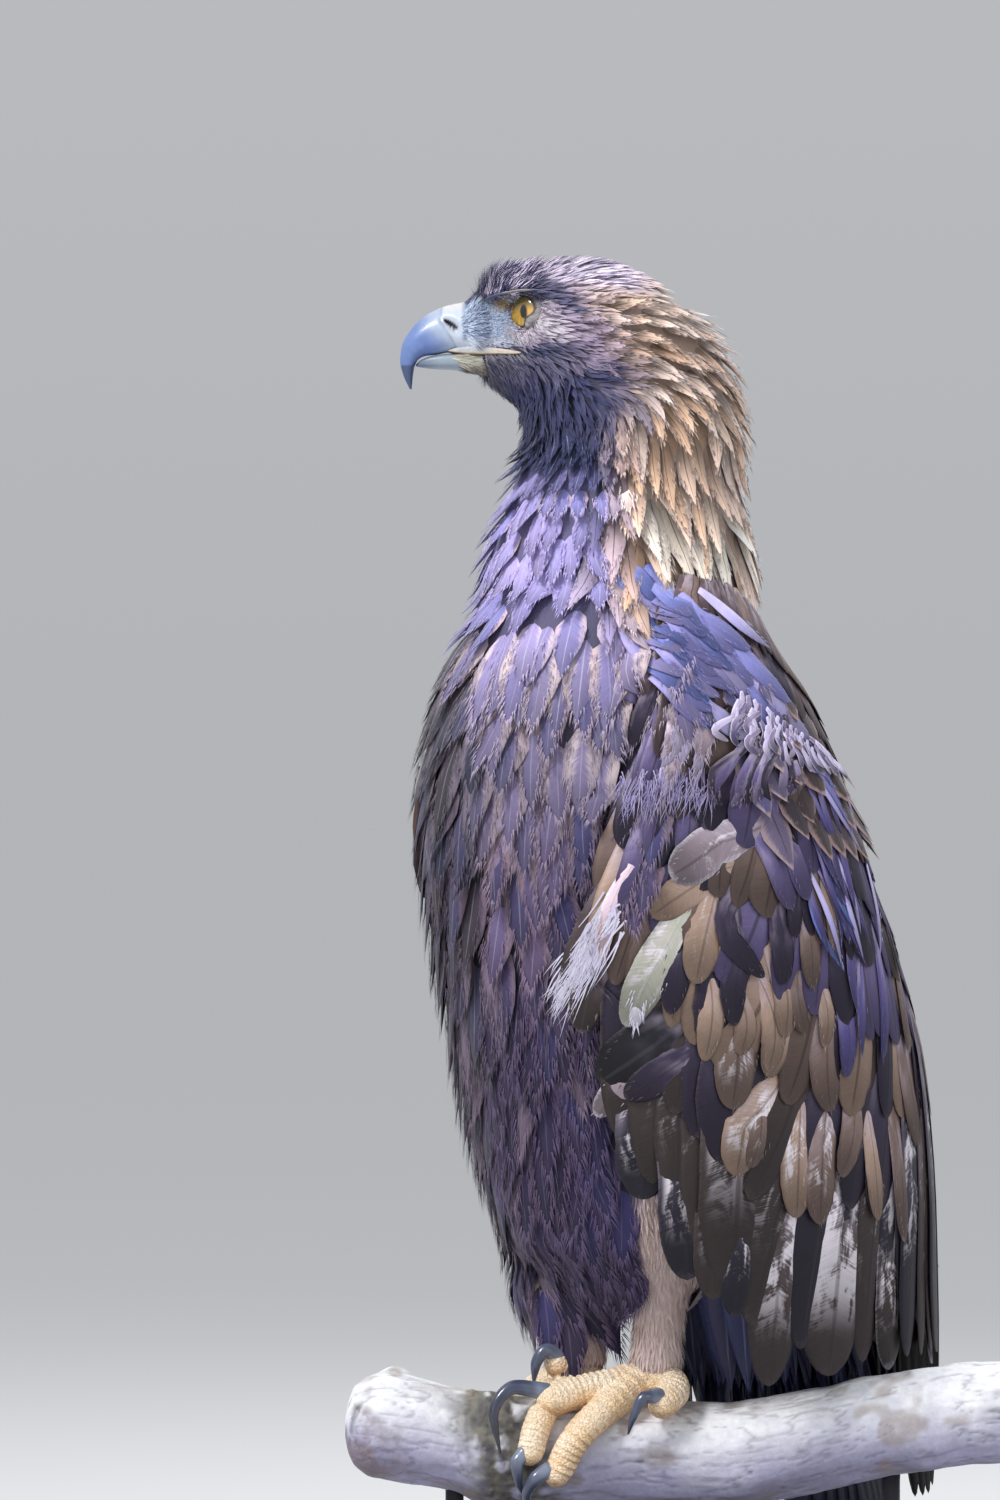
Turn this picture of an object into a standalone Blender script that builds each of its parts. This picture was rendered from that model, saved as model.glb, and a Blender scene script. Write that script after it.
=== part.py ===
"""Golden eagle standing on a cut length of branch, as a still, life-size display model on a plain stand.

Metres, +Z up. The bird's body faces -Y and its left side is +X. The head is turned to the bird's right.
Design coordinates have their origin on top of the branch between the feet. The last step lifts
everything so that the underside of the stand's base is Z = 0 and the base's centre is the origin.
"""

import math

import bmesh
import bpy
import numpy as np
from mathutils import Vector

for old in list(bpy.data.objects):
    bpy.data.objects.remove(old, do_unlink=True)

# ---------------------------------------------------------------- driving sizes
GAP = 0.0003  # between neighbouring pieces
TURN = math.radians(55)  # the branch, and the head's profile, lie along this heading
BRANCH_TOP = 0.170  # height of the branch's top above the floor
BASE_CENTRE = (0.020, 0.050)  # of the stand, in design coordinates
BASE_RADIUS, BASE_THICK, BASE_CHAMFER = 0.170, 0.020, 0.003
ROD_RADIUS = 0.005
ROD_AT = (-0.080, 0.160)  # along the branch

ALONG = Vector((math.cos(TURN), math.sin(TURN), 0))  # along the branch, towards its thick end
ACROSS = Vector((math.sin(TURN), -math.cos(TURN), 0))  # across it, on the side of the bird's left
OFFSET = Vector((-BASE_CENTRE[0], -BASE_CENTRE[1], BRANCH_TOP))

# Body: height, half width, half depth to the front, half depth to the back, centre in Y
TRUNK = [
    (0.474, 0.040, 0.038, 0.038, 0.008),
    (0.462, 0.058, 0.055, 0.056, 0.006),
    (0.437, 0.079, 0.076, 0.078, 0.004),
    (0.410, 0.090, 0.086, 0.088, 0.000),
    (0.382, 0.097, 0.091, 0.108, -0.004),
    (0.327, 0.103, 0.097, 0.134, -0.007),
    (0.272, 0.104, 0.095, 0.145, -0.004),
    (0.217, 0.101, 0.091, 0.146, 0.003),
    (0.162, 0.093, 0.088, 0.132, 0.011),
    (0.107, 0.080, 0.078, 0.108, 0.0155),
    (0.075, 0.066, 0.066, 0.082, 0.018),
    (0.056, 0.045, 0.046, 0.054, 0.020),
    (0.048, 0.020, 0.022, 0.026, 0.021),
]
# Feathers under the tail: height, half width, half depth, centre in Y
UNDERTAIL = [
    (0.180, 0.058, 0.052, 0.078),
    (0.140, 0.057, 0.055, 0.086),
    (0.100, 0.053, 0.053, 0.096),
    (0.060, 0.044, 0.049, 0.106),
    (0.030, 0.034, 0.042, 0.116),
    (0.014, 0.025, 0.034, 0.124),
    (0.006, 0.012, 0.022, 0.130),
]
# Neck, with its plumage: height, front edge and back edge along ALONG, half thickness across, its centre across
NECK = [
    (0.405, -0.066, 0.088, 0.068, -0.003),
    (0.440, -0.0725, 0.0885, 0.071, -0.003),
    (0.480, -0.0635, 0.0840, 0.061, -0.003),
    (0.514, -0.0520, 0.0790, 0.053, -0.003),
    (0.535, -0.0440, 0.0775, 0.048, -0.003),
    (0.560, -0.0430, 0.0745, 0.043, -0.003),
    (0.585, -0.0360, 0.0600, 0.034, -0.003),
    (0.598, -0.0200, 0.0400, 0.020, -0.003),
]
# Head: station along ALONG, top height, bottom height, half width
HEAD = [
    (-0.0715, 0.6030, 0.5640, 0.0110),
    (-0.0690, 0.6080, 0.5605, 0.0150),
    (-0.0600, 0.6190, 0.5530, 0.0205),
    (-0.0450, 0.6245, 0.5430, 0.0285),
    (-0.0250, 0.6275, 0.5300, 0.0345),
    (0.0000, 0.6275, 0.5240, 0.0380),
    (0.0200, 0.6200, 0.5240, 0.0385),
    (0.0400, 0.6080, 0.5260, 0.0355),
    (0.0580, 0.5880, 0.5300, 0.0285),
    (0.0690, 0.5720, 0.5400, 0.0190),
    (0.0745, 0.5600, 0.5480, 0.0080),
]
HEAD_MID = -0.003  # the head's mid-plane, across
EYE = (-0.0418, 0.5950, 0.0212, 0.0102)  # station, height, distance from the mid-plane, radius
# Upper bill: culmen point (station, height), tomium point (station, height), half width
BILL = [
    ((-0.0680, 0.6035), (-0.0640, 0.5722), 0.0132),
    ((-0.0737, 0.6015), (-0.0720, 0.5730), 0.0130),
    ((-0.0850, 0.5990), (-0.0825, 0.5735), 0.0119),
    ((-0.0960, 0.5938), (-0.0900, 0.5722), 0.0103),
    ((-0.1045, 0.5855), (-0.0958, 0.5716), 0.0086),
    ((-0.1090, 0.5770), (-0.0998, 0.5697), 0.0066),
    ((-0.1100, 0.5690), (-0.1020, 0.5655), 0.0048),
    ((-0.1082, 0.5610), (-0.1030, 0.5595), 0.0031),
    ((-0.1048, 0.5535), (-0.1036, 0.5532), 0.0009),
]
# Lower bill: station, top height, bottom height, half width
CHIN_BILL = [
    (-0.0630, 0.5730, 0.5615, 0.0108),
    (-0.0720, 0.5735, 0.5628, 0.0104),
    (-0.0820, 0.5730, 0.5638, 0.0092),
    (-0.0920, 0.5718, 0.5644, 0.0070),
    (-0.0985, 0.5695, 0.5652, 0.0044),
    (-0.1012, 0.5672, 0.5658, 0.0018),
]
# Folded-wing cloak: height, half width, half depth front, half depth back, centre in Y
CLOAK = [
    (0.470, 0.070, 0.062, 0.062, 0.006),
    (0.437, 0.085, 0.082, 0.080, 0.004),
    (0.415, 0.096, 0.092, 0.092, 0.000),
    (0.382, 0.108, 0.099, 0.118, -0.004),
    (0.327, 0.120, 0.107, 0.146, -0.007),
    (0.289, 0.125, 0.108, 0.158, -0.005),
    (0.239, 0.127, 0.106, 0.175, 0.000),
    (0.184, 0.126, 0.102, 0.185, 0.008),
    (0.113, 0.122, 0.092, 0.1875, 0.015),
    (0.069, 0.117, 0.082, 0.1877, 0.018),
    (0.0165, 0.110, 0.070, 0.187, 0.022),
    (-0.080, 0.095, 0.060, 0.190, 0.024),
]
CLOAK_POWER_BACK = 2.6  # above 2 squares the folded wings' back corners
# Left wing, which droops: angle round the body (front is negative, 90 is the midline of the back),
# for the front edge at each height, then the top and bottom edge along the wing's run from 0 to 1.
LEFT_FRONT = [(0.440, -14.0), (0.382, -25.0), (0.327, -32.0), (0.289, -39.0), (0.239, -52.0), (0.205, -55.0), (0.184, -53.0), (0.150, -46.0), (0.112, -36.0)]
LEFT_TOP = [(0.0, 0.440), (0.15, 0.446), (0.40, 0.436), (0.65, 0.400), (1.0, 0.345)]
LEFT_BOTTOM = [(0.0, 0.150), (0.10, 0.112), (0.20, 0.082), (0.30, 0.058), (0.38, 0.030), (0.48, 0.018), (0.60, 0.020), (0.70, 0.020), (0.76, 0.020), (0.84, -0.030), (0.93, -0.062), (1.0, -0.066)]
# Right wing, folded: the same tables
RIGHT_FRONT = [(0.440, -14.0), (0.382, -27.0), (0.340, -29.0), (0.300, -24.0), (0.250, -14.0), (0.200, -4.0), (0.150, 4.0)]
RIGHT_TOP = LEFT_TOP
RIGHT_BOTTOM = [(0.0, 0.232), (0.12, 0.170), (0.25, 0.120), (0.40, 0.080), (0.55, 0.045), (0.70, 0.012), (0.80, -0.010), (0.86, -0.045), (0.93, -0.068), (1.0, -0.072)]
WING_END = 89.2  # degrees: how near the midline each wing comes behind the back
WING_THICK = [(0.0, 0.010), (0.12, 0.022), (0.35, 0.027), (0.65, 0.014), (0.85, 0.006), (1.0, 0.0022)]  # down the wing
LEADING_ROUND = 0.075  # share of the wing's run over which its front edge rounds in to the breast
WING_TIPS, TIP_DEPTH = 9, 0.011  # feather tips along the lower edge, and how far they stand out
# Tail
TAIL_ROOT, TAIL_TIP = Vector((0, 0.130, 0.150)), Vector((0, 0.188, -0.108))
TAIL_WIDTH = [(0.0, 0.022), (0.3, 0.036), (0.7, 0.050), (1.0, 0.056)]
TAIL_THICK = [(0.0, 0.012), (0.5, 0.0065), (1.0, 0.0022)]
TAIL_TIPS, TAIL_TIP_DEPTH, TAIL_ARCH = 7, 0.007, 0.010
# Legs with their feathers: height, centre (x, y), radius
LEG_LEFT = [
    (0.150, 0.046, 0.020, 0.034),
    (0.125, 0.043, 0.019, 0.037),
    (0.100, 0.039, 0.018, 0.030),
    (0.075, 0.034, 0.019, 0.0215),
    (0.050, 0.028, 0.0205, 0.0168),
    (0.030, 0.0240, 0.0215, 0.0162),
    (0.0115, 0.0206, 0.0224, 0.0178),
]
LEG_RIGHT = [
    (0.150, -0.043, 0.004, 0.036),
    (0.125, -0.040, 0.002, 0.043),
    (0.100, -0.037, 0.000, 0.040),
    (0.060, -0.030, -0.002, 0.030),
    (0.030, -0.0225, -0.001, 0.0200),
    (0.0125, -0.0178, -0.0002, 0.0165),
]
# Toes: (along, height, across, radius) down each toe, then the claw's base, bend and tip
TOES = {
    "left": {
        "2": ([(0.026, 0.010, 0.004, 0.0105), (0.006, 0.006, 0.014, 0.0098), (-0.012, 0.003, 0.021, 0.0092), (-0.0270, -0.0010, 0.0285, 0.0088)],
              [(-0.0300, 0.0035, 0.0270, 0.0052), (-0.0470, 0.0062, 0.0310, 0.0042), (-0.0585, -0.0080, 0.0355, 0.0028), (-0.0550, -0.0290, 0.0345, 0.0006)]),
        "3": ([(0.024, 0.009, 0.008, 0.0105), (0.002, -0.006, 0.0300, 0.0090), (-0.014, -0.022, 0.0385, 0.0085), (-0.0240, -0.0405, 0.0380, 0.0078)],
              [(-0.0290, -0.0380, 0.0400, 0.0046), (-0.0360, -0.0430, 0.0430, 0.0038), (-0.0405, -0.0520, 0.0400, 0.0026), (-0.0400, -0.0640, 0.0330, 0.0006)]),
        "4": ([(0.035, 0.009, 0.004, 0.0105), (0.0400, 0.004, 0.020, 0.0092), (0.0335, -0.0030, 0.0330, 0.0080)],
              [(0.0310, 0.0020, 0.0350, 0.0046), (0.0240, 0.0015, 0.0420, 0.0036), (0.0180, -0.0080, 0.0440, 0.0023), (0.0150, -0.0180, 0.0410, 0.0006)]),
        "1": ([(0.034, 0.008, -0.004, 0.0105), (0.036, 0.001, -0.026, 0.0092), (0.035, -0.018, -0.0385, 0.0085)],
              [(0.0345, -0.0230, -0.0400, 0.0052), (0.0335, -0.0390, -0.0430, 0.0042), (0.0310, -0.0560, -0.0360, 0.0028), (0.0290, -0.0680, -0.0220, 0.0006)]),
    },
    "right": {
        "2": ([(-0.012, 0.007, -0.006, 0.0095), (-0.026, -0.002, 0.010, 0.0082), (-0.0345, -0.0140, 0.0335, 0.0078), (-0.0385, -0.0290, 0.0385, 0.0074)],
              [(-0.0420, -0.0290, 0.0400, 0.0044), (-0.0460, -0.0350, 0.0425, 0.0036), (-0.0450, -0.0440, 0.0400, 0.0024), (-0.0420, -0.0530, 0.0340, 0.0006)]),
        "3": ([(-0.012, 0.010, -0.014, 0.0098), (-0.0185, 0.0145, -0.006, 0.0085), (-0.0235, 0.0175, 0.000, 0.0076)],
              [(-0.0235, 0.0210, 0.0010, 0.0048), (-0.0295, 0.0245, 0.0050, 0.0042), (-0.0352, 0.0170, 0.0070, 0.0030), (-0.0365, 0.0075, 0.0075, 0.0008)]),
        "4": ([(-0.012, 0.009, -0.016, 0.0098), (-0.030, 0.005, -0.020, 0.0088), (-0.0420, -0.0070, -0.0310, 0.0080)],
              [(-0.0445, -0.0105, -0.0330, 0.0046), (-0.0490, -0.0230, -0.0385, 0.0036), (-0.0500, -0.0350, -0.0370, 0.0024), (-0.0490, -0.0450, -0.0310, 0.0006)]),
        "1": ([(-0.006, 0.008, -0.018, 0.0100), (0.000, -0.001, -0.030, 0.0090), (0.003, -0.018, -0.0395, 0.0083)],
              [(0.0035, -0.0230, -0.0410, 0.0052), (0.0040, -0.0390, -0.0430, 0.0042), (0.0050, -0.0560, -0.0360, 0.0028), (0.0060, -0.0680, -0.0220, 0.0006)]),
    },
}
FOOT_PAD = {"left": (0.030, 0.007, 0.004, 0.0165), "right": (-0.0100, 0.006, -0.013, 0.0155)}
# Branch: station, height of its centre, radius
BRANCH = [
    (-0.1400, -0.0180, 0.0060),
    (-0.1385, -0.0180, 0.0150),
    (-0.1340, -0.0175, 0.0240),
    (-0.1240, -0.0175, 0.0295),
    (-0.1050, -0.0195, 0.0305),
    (-0.0800, -0.0240, 0.0295),
    (-0.0650, -0.0280, 0.0320),
    (-0.0400, -0.0305, 0.0315),
    (-0.0100, -0.0310, 0.0308),
    (0.0300, -0.0320, 0.0308),
    (0.0650, -0.0330, 0.0300),
    (0.1000, -0.0290, 0.0300),
    (0.1500, -0.0180, 0.0295),
    (0.2000, -0.0110, 0.0290),
    (0.2350, -0.0090, 0.0285),
]
KNOTS = [(-0.112, 112.0, 0.0060, 0.0090), (-0.058, 60.0, 0.0028, 0.0100), (0.020, 18.0, 0.0040, 0.0100), (0.112, 20.0, 0.0045, 0.0130), (0.180, -40.0, 0.0050, 0.0120)]  # station, angle, rise, spread

COLOURS = {
    "plumage": (0.20, 0.14, 0.13, 1), "nape": (0.55, 0.36, 0.24, 1), "wing": (0.14, 0.10, 0.09, 1), "tail": (0.05, 0.045, 0.06, 1),
    "leg": (0.42, 0.34, 0.32, 1), "toe": (0.85, 0.60, 0.32, 1), "claw": (0.06, 0.07, 0.10, 1), "bill": (0.30, 0.38, 0.50, 1),
    "eye": (0.55, 0.30, 0.04, 1), "wood": (0.32, 0.31, 0.34, 1), "stand": (0.03, 0.03, 0.035, 1),
}


# ---------------------------------------------------------------- helpers
def spline(table, x):
    """The row of numbers at x, from a table whose first column is x: a smooth curve through every row."""
    rows = sorted(table, key=lambda row: row[0])
    xs = np.array([row[0] for row in rows], float)
    ys = np.array([row[1:] for row in rows], float)
    x = min(max(x, xs[0]), xs[-1])
    i = min(max(int(np.searchsorted(xs, x) - 1), 0), len(xs) - 2)
    slope = np.diff(ys, axis=0) / np.diff(xs)[:, None]
    tangent = np.zeros_like(ys)
    tangent[0], tangent[-1] = slope[0], slope[-1]
    for k in range(1, len(xs) - 1):
        a, b = slope[k - 1], slope[k]
        tangent[k] = np.where(a * b > 0, 2 * a * b / np.where(np.abs(a + b) < 1e-12, 1e-12, a + b), 0)
    h = xs[i + 1] - xs[i]
    t = (x - xs[i]) / h
    return (
        (1 + 2 * t) * (1 - t) ** 2 * ys[i]
        + t * (1 - t) ** 2 * h * tangent[i]
        + t * t * (3 - 2 * t) * ys[i + 1]
        + t * t * (t - 1) * h * tangent[i + 1]
    )


def place(along, height, across):
    return ALONG * along + ACROSS * across + Vector((0, 0, height))


def material(kind):
    made = bpy.data.materials.get(kind)
    if made is None:
        made = bpy.data.materials.new(kind)
        made.use_nodes = True
        shader = made.node_tree.nodes["Principled BSDF"]
        shader.inputs["Base Color"].default_value = COLOURS[kind]
        shader.inputs["Roughness"].default_value = 0.6
    return made


def make(name, points, faces, kind="plumage", cutter=False):
    mesh = bpy.data.meshes.new(name)
    mesh.from_pydata([tuple(p) for p in points], [], faces)
    bm = bmesh.new()
    bm.from_mesh(mesh)
    bmesh.ops.remove_doubles(bm, verts=bm.verts, dist=1e-6)
    bmesh.ops.triangulate(bm, faces=bm.faces)
    bmesh.ops.recalc_face_normals(bm, faces=bm.faces)
    if bm.calc_volume(signed=True) < 0:
        bmesh.ops.reverse_faces(bm, faces=bm.faces)
    bm.to_mesh(mesh)
    bm.free()
    mesh.materials.append(material(kind))
    made = bpy.data.objects.new(name, mesh)
    bpy.context.scene.collection.objects.link(made)
    if cutter:
        made.hide_render = True
        made.display_type = "WIRE"
    return made


def loft(name, rings, kind="plumage", cutter=False):
    """A closed solid through rings of equal length, its two ends closed by a fan."""
    count = len(rings[0])
    points = [p for ring in rings for p in ring]
    faces = []
    for k in range(len(rings) - 1):
        for j in range(count):
            a, b = k * count + j, k * count + (j + 1) % count
            faces.append((a, b, b + count, a + count))
    for first, ring in ((0, rings[0]), ((len(rings) - 1) * count, rings[-1])):
        points.append(sum((Vector(p) for p in ring), Vector()) / count)
        for j in range(count):
            faces.append((first + j, first + (j + 1) % count, len(points) - 1))
    return make(name, points, faces, kind, cutter)


def slab(name, outer, inner, kind, cutter=False):
    """A closed sheet of two grids of the same size."""
    rows, cols = len(outer), len(outer[0])
    points = [p for row in outer for p in row] + [p for row in inner for p in row]
    half = rows * cols
    faces = []
    for i in range(rows - 1):
        for j in range(cols - 1):
            a = i * cols + j
            faces.append((a, a + 1, a + cols + 1, a + cols))
            faces.append((half + a, half + a + cols, half + a + cols + 1, half + a + 1))
    rim = [j for j in range(cols)] + [i * cols + cols - 1 for i in range(1, rows)]
    rim += [(rows - 1) * cols + j for j in range(cols - 2, -1, -1)] + [i * cols for i in range(rows - 2, 0, -1)]
    for a, b in zip(rim, rim[1:] + rim[:1]):
        faces.append((a, half + a, half + b, b))
    return make(name, points, faces, kind, cutter)


def grown(source, by, name=None):
    """A cutter: a copy of a solid with every face moved out by this much."""
    mesh = source.data.copy()
    bm = bmesh.new()
    bm.from_mesh(mesh)
    bm.normal_update()
    moves = []
    for v in bm.verts:
        around = [f.normal for f in v.link_faces]
        least = min((v.normal.dot(n) for n in around), default=1)
        moves.append(v.normal * by / max(least, 0.45))
    for v, move in zip(bm.verts, moves):
        v.co += move
    bm.to_mesh(mesh)
    bm.free()
    made = bpy.data.objects.new(name or source.name + "_grown", mesh)
    bpy.context.scene.collection.objects.link(made)
    made.hide_render = True
    made.display_type = "WIRE"
    return made


def volume(mesh):
    bm = bmesh.new()
    bm.from_mesh(mesh)
    found = bm.calc_volume(signed=True)
    bm.free()
    return found


def combine(target, other, operation):
    """Applies one exact Boolean to target's mesh, again with self-crossing faces allowed if the first try fails."""
    before, tool = volume(target.data), volume(other.data)
    for crossing in (False, True):
        modifier = target.modifiers.new(operation.lower(), "BOOLEAN")
        modifier.operation = operation
        modifier.solver = "EXACT"
        modifier.use_self = crossing
        modifier.object = other
        bpy.context.view_layer.update()
        result = bpy.data.meshes.new_from_object(target.evaluated_get(bpy.context.evaluated_depsgraph_get()))
        target.modifiers.clear()
        after = volume(result)
        slack = 1e-9 + 0.002 * before
        good = {
            "DIFFERENCE": before - tool - slack < after < before + slack and after > 0,
            "UNION": max(before, tool) - slack < after < before + tool + slack,
            "INTERSECT": 0 < after < before + slack,
        }[operation]
        if good:
            break
    else:
        print("Boolean looks wrong:", target.name, other.name, operation, before, tool, after)
    kept = target.data.materials[0]
    target.data = result
    target.data.materials.clear()
    target.data.materials.append(kept)
    bm = bmesh.new()
    bm.from_mesh(target.data)
    bmesh.ops.triangulate(bm, faces=bm.faces)
    bmesh.ops.remove_doubles(bm, verts=bm.verts, dist=2e-6)
    bmesh.ops.dissolve_degenerate(bm, edges=bm.edges, dist=2e-6)
    bmesh.ops.triangulate(bm, faces=bm.faces)
    bm.to_mesh(target.data)
    bm.free()
    return target


def minus(target, *others):
    for other in others:
        combine(target, other, "DIFFERENCE")
    return target


def drop(*objects):
    for made in objects:
        bpy.data.objects.remove(made, do_unlink=True)


def biggest(target):
    """Keeps the largest loose body of a mesh, dropping crumbs that a cut left."""
    bm = bmesh.new()
    bm.from_mesh(target.data)
    left = set(bm.verts)
    groups = []
    while left:
        stack, group = [left.pop()], set()
        while stack:
            v = stack.pop()
            group.add(v)
            for e in v.link_edges:
                o = e.other_vert(v)
                if o in left:
                    left.discard(o)
                    stack.append(o)
        groups.append(group)
    groups.sort(key=len, reverse=True)
    extra = [v for group in groups[1:] for v in group]
    if extra:
        bmesh.ops.delete(bm, geom=extra, context="VERTS")
    bm.to_mesh(target.data)
    bm.free()
    return target


def oval(centre, front, back, half, power_front, power_back, count):
    """Plan-view ring at one height: angle 0 is +X, -90 the front."""
    ring = []
    for k in range(count):
        a = 2 * math.pi * k / count
        depth, power = (back, power_back) if math.sin(a) > 0 else (front, power_front)
        e = 2 / power
        x = half * math.copysign(abs(math.cos(a)) ** e, math.cos(a))
        y = depth * math.copysign(abs(math.sin(a)) ** e, math.sin(a))
        ring.append(Vector((centre[0] + x, centre[1] + y, centre[2])))
    return ring


def tube(name, path, kind, count=12, steps=4, cutter=False, flat=1.0):
    """A round bar along smooth stations (along, height, across, radius), its ends domed."""
    table = [(i, *row) for i, row in enumerate(path)]
    last = len(path) - 1
    ts = [last * k / (steps * last) for k in range(steps * last + 1)]
    rows = [spline(table, t) for t in ts]
    centres = [place(*row[:3]) for row in rows]
    radii = [float(row[3]) for row in rows]
    rings = []
    for i, centre in enumerate(centres):
        ahead = centres[min(i + 1, len(centres) - 1)] - centres[max(i - 1, 0)]
        ahead.normalize()
        side = ahead.cross(Vector((0, 0, 1)))
        side = (ahead.cross(ACROSS) if side.length < 0.3 else side).normalized()
        up = side.cross(ahead)
        if i in (0, len(centres) - 1):
            sign = -1 if i == 0 else 1
            dome = [(0.45, 0.90), (0.80, 0.60)] if radii[i] > 0.002 else []
            extra = [[centre + ahead * sign * radii[i] * a + (side * math.cos(q) + up * math.sin(q) * flat) * radii[i] * b for q in np.linspace(0, 2 * math.pi, count, endpoint=False)] for a, b in dome]
            body = [[centre + (side * math.cos(q) + up * math.sin(q) * flat) * radii[i] for q in np.linspace(0, 2 * math.pi, count, endpoint=False)]]
            rings += extra[::-1] + body if i == 0 else body + extra
        else:
            rings.append([centre + (side * math.cos(q) + up * math.sin(q) * flat) * radii[i] for q in np.linspace(0, 2 * math.pi, count, endpoint=False)])
    return loft(name, rings, kind, cutter)


def ball(name, centre, radii, kind, rings=8, count=14, cutter=False):
    """An ellipsoid with its axes along ALONG, ACROSS and Z."""
    made = []
    for i in range(1, rings):
        a = math.pi * i / rings
        made.append([
            Vector(centre) + ALONG * radii[0] * math.sin(a) * math.cos(q) + ACROSS * radii[1] * math.sin(a) * math.sin(q) + Vector((0, 0, radii[2] * math.cos(a)))
            for q in np.linspace(0, 2 * math.pi, count, endpoint=False)
        ])
    body = loft(name, made, kind, cutter)
    return body


# ---------------------------------------------------------------- branch and stand
def perch_solid():
    count = 16
    rings = []
    stations = sorted(set([row[0] for row in BRANCH] + list(np.arange(-0.055, 0.235, 0.045))))
    for s in stations:
        height, radius = spline(BRANCH, s)
        ring = []
        for k in range(count):
            a = 2 * math.pi * k / count
            r = radius * (1 + 0.018 * math.sin(3 * a + 21 * s) + 0.012 * math.sin(5 * a - 34 * s + 1))
            for at, angle, rise, spread in KNOTS:
                turn = (math.degrees(a) - angle + 180) % 360 - 180
                r += rise * math.exp(-((s - at) / spread) ** 2 - (math.radians(turn) * radius / spread) ** 2)
            ring.append(place(s, height + r * math.sin(a), r * math.cos(a)))
        rings.append(ring)
    return loft("perch", rings, "wood")


perch = perch_solid()
perch_cut = grown(perch, GAP)

floor_z = -BRANCH_TOP
centre = Vector((BASE_CENTRE[0], BASE_CENTRE[1], 0))
profile = [(BASE_RADIUS - BASE_CHAMFER, 0.0), (BASE_RADIUS, BASE_CHAMFER), (BASE_RADIUS, BASE_THICK - BASE_CHAMFER), (BASE_RADIUS - BASE_CHAMFER, BASE_THICK)]
loft("stand_base", [[centre + Vector((r * math.cos(q), r * math.sin(q), floor_z + z)) for q in np.linspace(0, 2 * math.pi, 44, endpoint=False)] for r, z in profile], "stand")
for number, at in enumerate(ROD_AT, 1):
    foot = place(at, 0, 0)
    top = float(spline(BRANCH, at)[0])
    rod = loft(f"stand_rod_{number}", [[Vector((foot.x + ROD_RADIUS * math.cos(q), foot.y + ROD_RADIUS * math.sin(q), z)) for q in np.linspace(0, 2 * math.pi, 14, endpoint=False)] for z in (floor_z + BASE_THICK + GAP, top)], "stand")
    minus(rod, perch_cut)

# ---------------------------------------------------------------- wings

def cloak(height, degrees):
    """A point on the outside of the folded wings, at this height and this angle round the body."""
    half, front, back, y = spline(CLOAK, height)
    a = math.radians(degrees)
    if a >= 0:
        e = 2 / CLOAK_POWER_BACK
        return Vector((half * max(math.cos(a), 0) ** e, y + back * max(math.sin(a), 0) ** e, height))
    return Vector((half * math.cos(a), y + front * math.sin(a), height))


def wing_solid(name, side, front, top, bottom):
    cols, rows = 28, 7
    phase = [0.0, 0.018, 0.045] + [0.08 + 0.92 * j / (cols - 4) for j in range(cols - 3)]
    outer, inner = [], []
    for i in range(rows):
        v = i / (rows - 1)
        v = v ** 0.92
        edge_height = float(spline(top, 0)[0]) * (1 - v) + float(spline(bottom, 0)[0]) * v
        begin = float(spline(front, edge_height)[0])
        row_out, row_in = [], []
        for u in phase:
            high, low = float(spline(top, u)[0]), float(spline(bottom, u)[0])
            tip = abs(math.sin(math.pi * WING_TIPS * u)) ** 0.6
            low += TIP_DEPTH * (1 - tip)
            height = high * (1 - v) + low * v
            angle = begin + (WING_END - begin) * u
            point = cloak(height, angle)
            d = 0.5
            normal = (cloak(height, min(angle + d, 89)) - cloak(height, angle - d)).cross(cloak(height + 0.004, angle) - cloak(height - 0.004, angle))
            if normal.dot(Vector((point.x, point.y - 0.02, 0))) < 0:
                normal = -normal
            normal.normalize()
            thick = float(spline(WING_THICK, v)[0])
            edge = min(u / LEADING_ROUND, 1.0)
            sink = 0.72 * thick * (1 - math.sin(edge * math.pi / 2))
            thick *= 1 + 0.35 * min(max((u - 0.45) / 0.25, 0), 1)
            thick *= 0.6 + 0.4 * min((1 - u) / 0.10, 1.0)
            thick = max(thick, 0.0016)
            deep = point - normal * thick
            point = point - normal * sink
            deep.x = max(deep.x, 0.0022)
            point.x = max(point.x, 0.0022)
            row_out.append(Vector((point.x * side, point.y, point.z)))
            row_in.append(Vector((deep.x * side, deep.y, deep.z)))
        outer.append(row_out)
        inner.append(row_in)
    return slab(name, outer, inner, "wing")


wing_left = wing_solid("wing_left", 1, LEFT_FRONT, LEFT_TOP, LEFT_BOTTOM)
wing_right = wing_solid("wing_right", -1, RIGHT_FRONT, RIGHT_TOP, RIGHT_BOTTOM)


# ---------------------------------------------------------------- tail
def tail_solid():
    cols, rows = 22, 5
    run = TAIL_TIP - TAIL_ROOT
    outward = Vector((0, 1, 0)) - run.normalized() * run.normalized().y
    outward.normalize()
    outer, inner = [], []
    for i in range(rows):
        v = i / (rows - 1)
        half, thick = float(spline(TAIL_WIDTH, v)[0]), float(spline(TAIL_THICK, v)[0])
        a, b = [], []
        for j in range(cols):
            w = 2 * j / (cols - 1) - 1
            notch = TAIL_TIP_DEPTH * (1 - abs(math.sin(math.pi * TAIL_TIPS * (w + 1) / 2)) ** 0.6) + 0.016 * w * w
            length = v * (1 - notch / run.length)
            mid = TAIL_ROOT + run * length - outward * TAIL_ARCH * w * w * v + Vector((half * w, 0, 0))
            t = thick * (1 - 0.35 * abs(w))
            a.append(mid + outward * t / 2)
            b.append(mid - outward * t / 2)
        outer.append(a)
        inner.append(b)
    return slab("tail", outer, inner, "tail")


tail = tail_solid()


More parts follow.
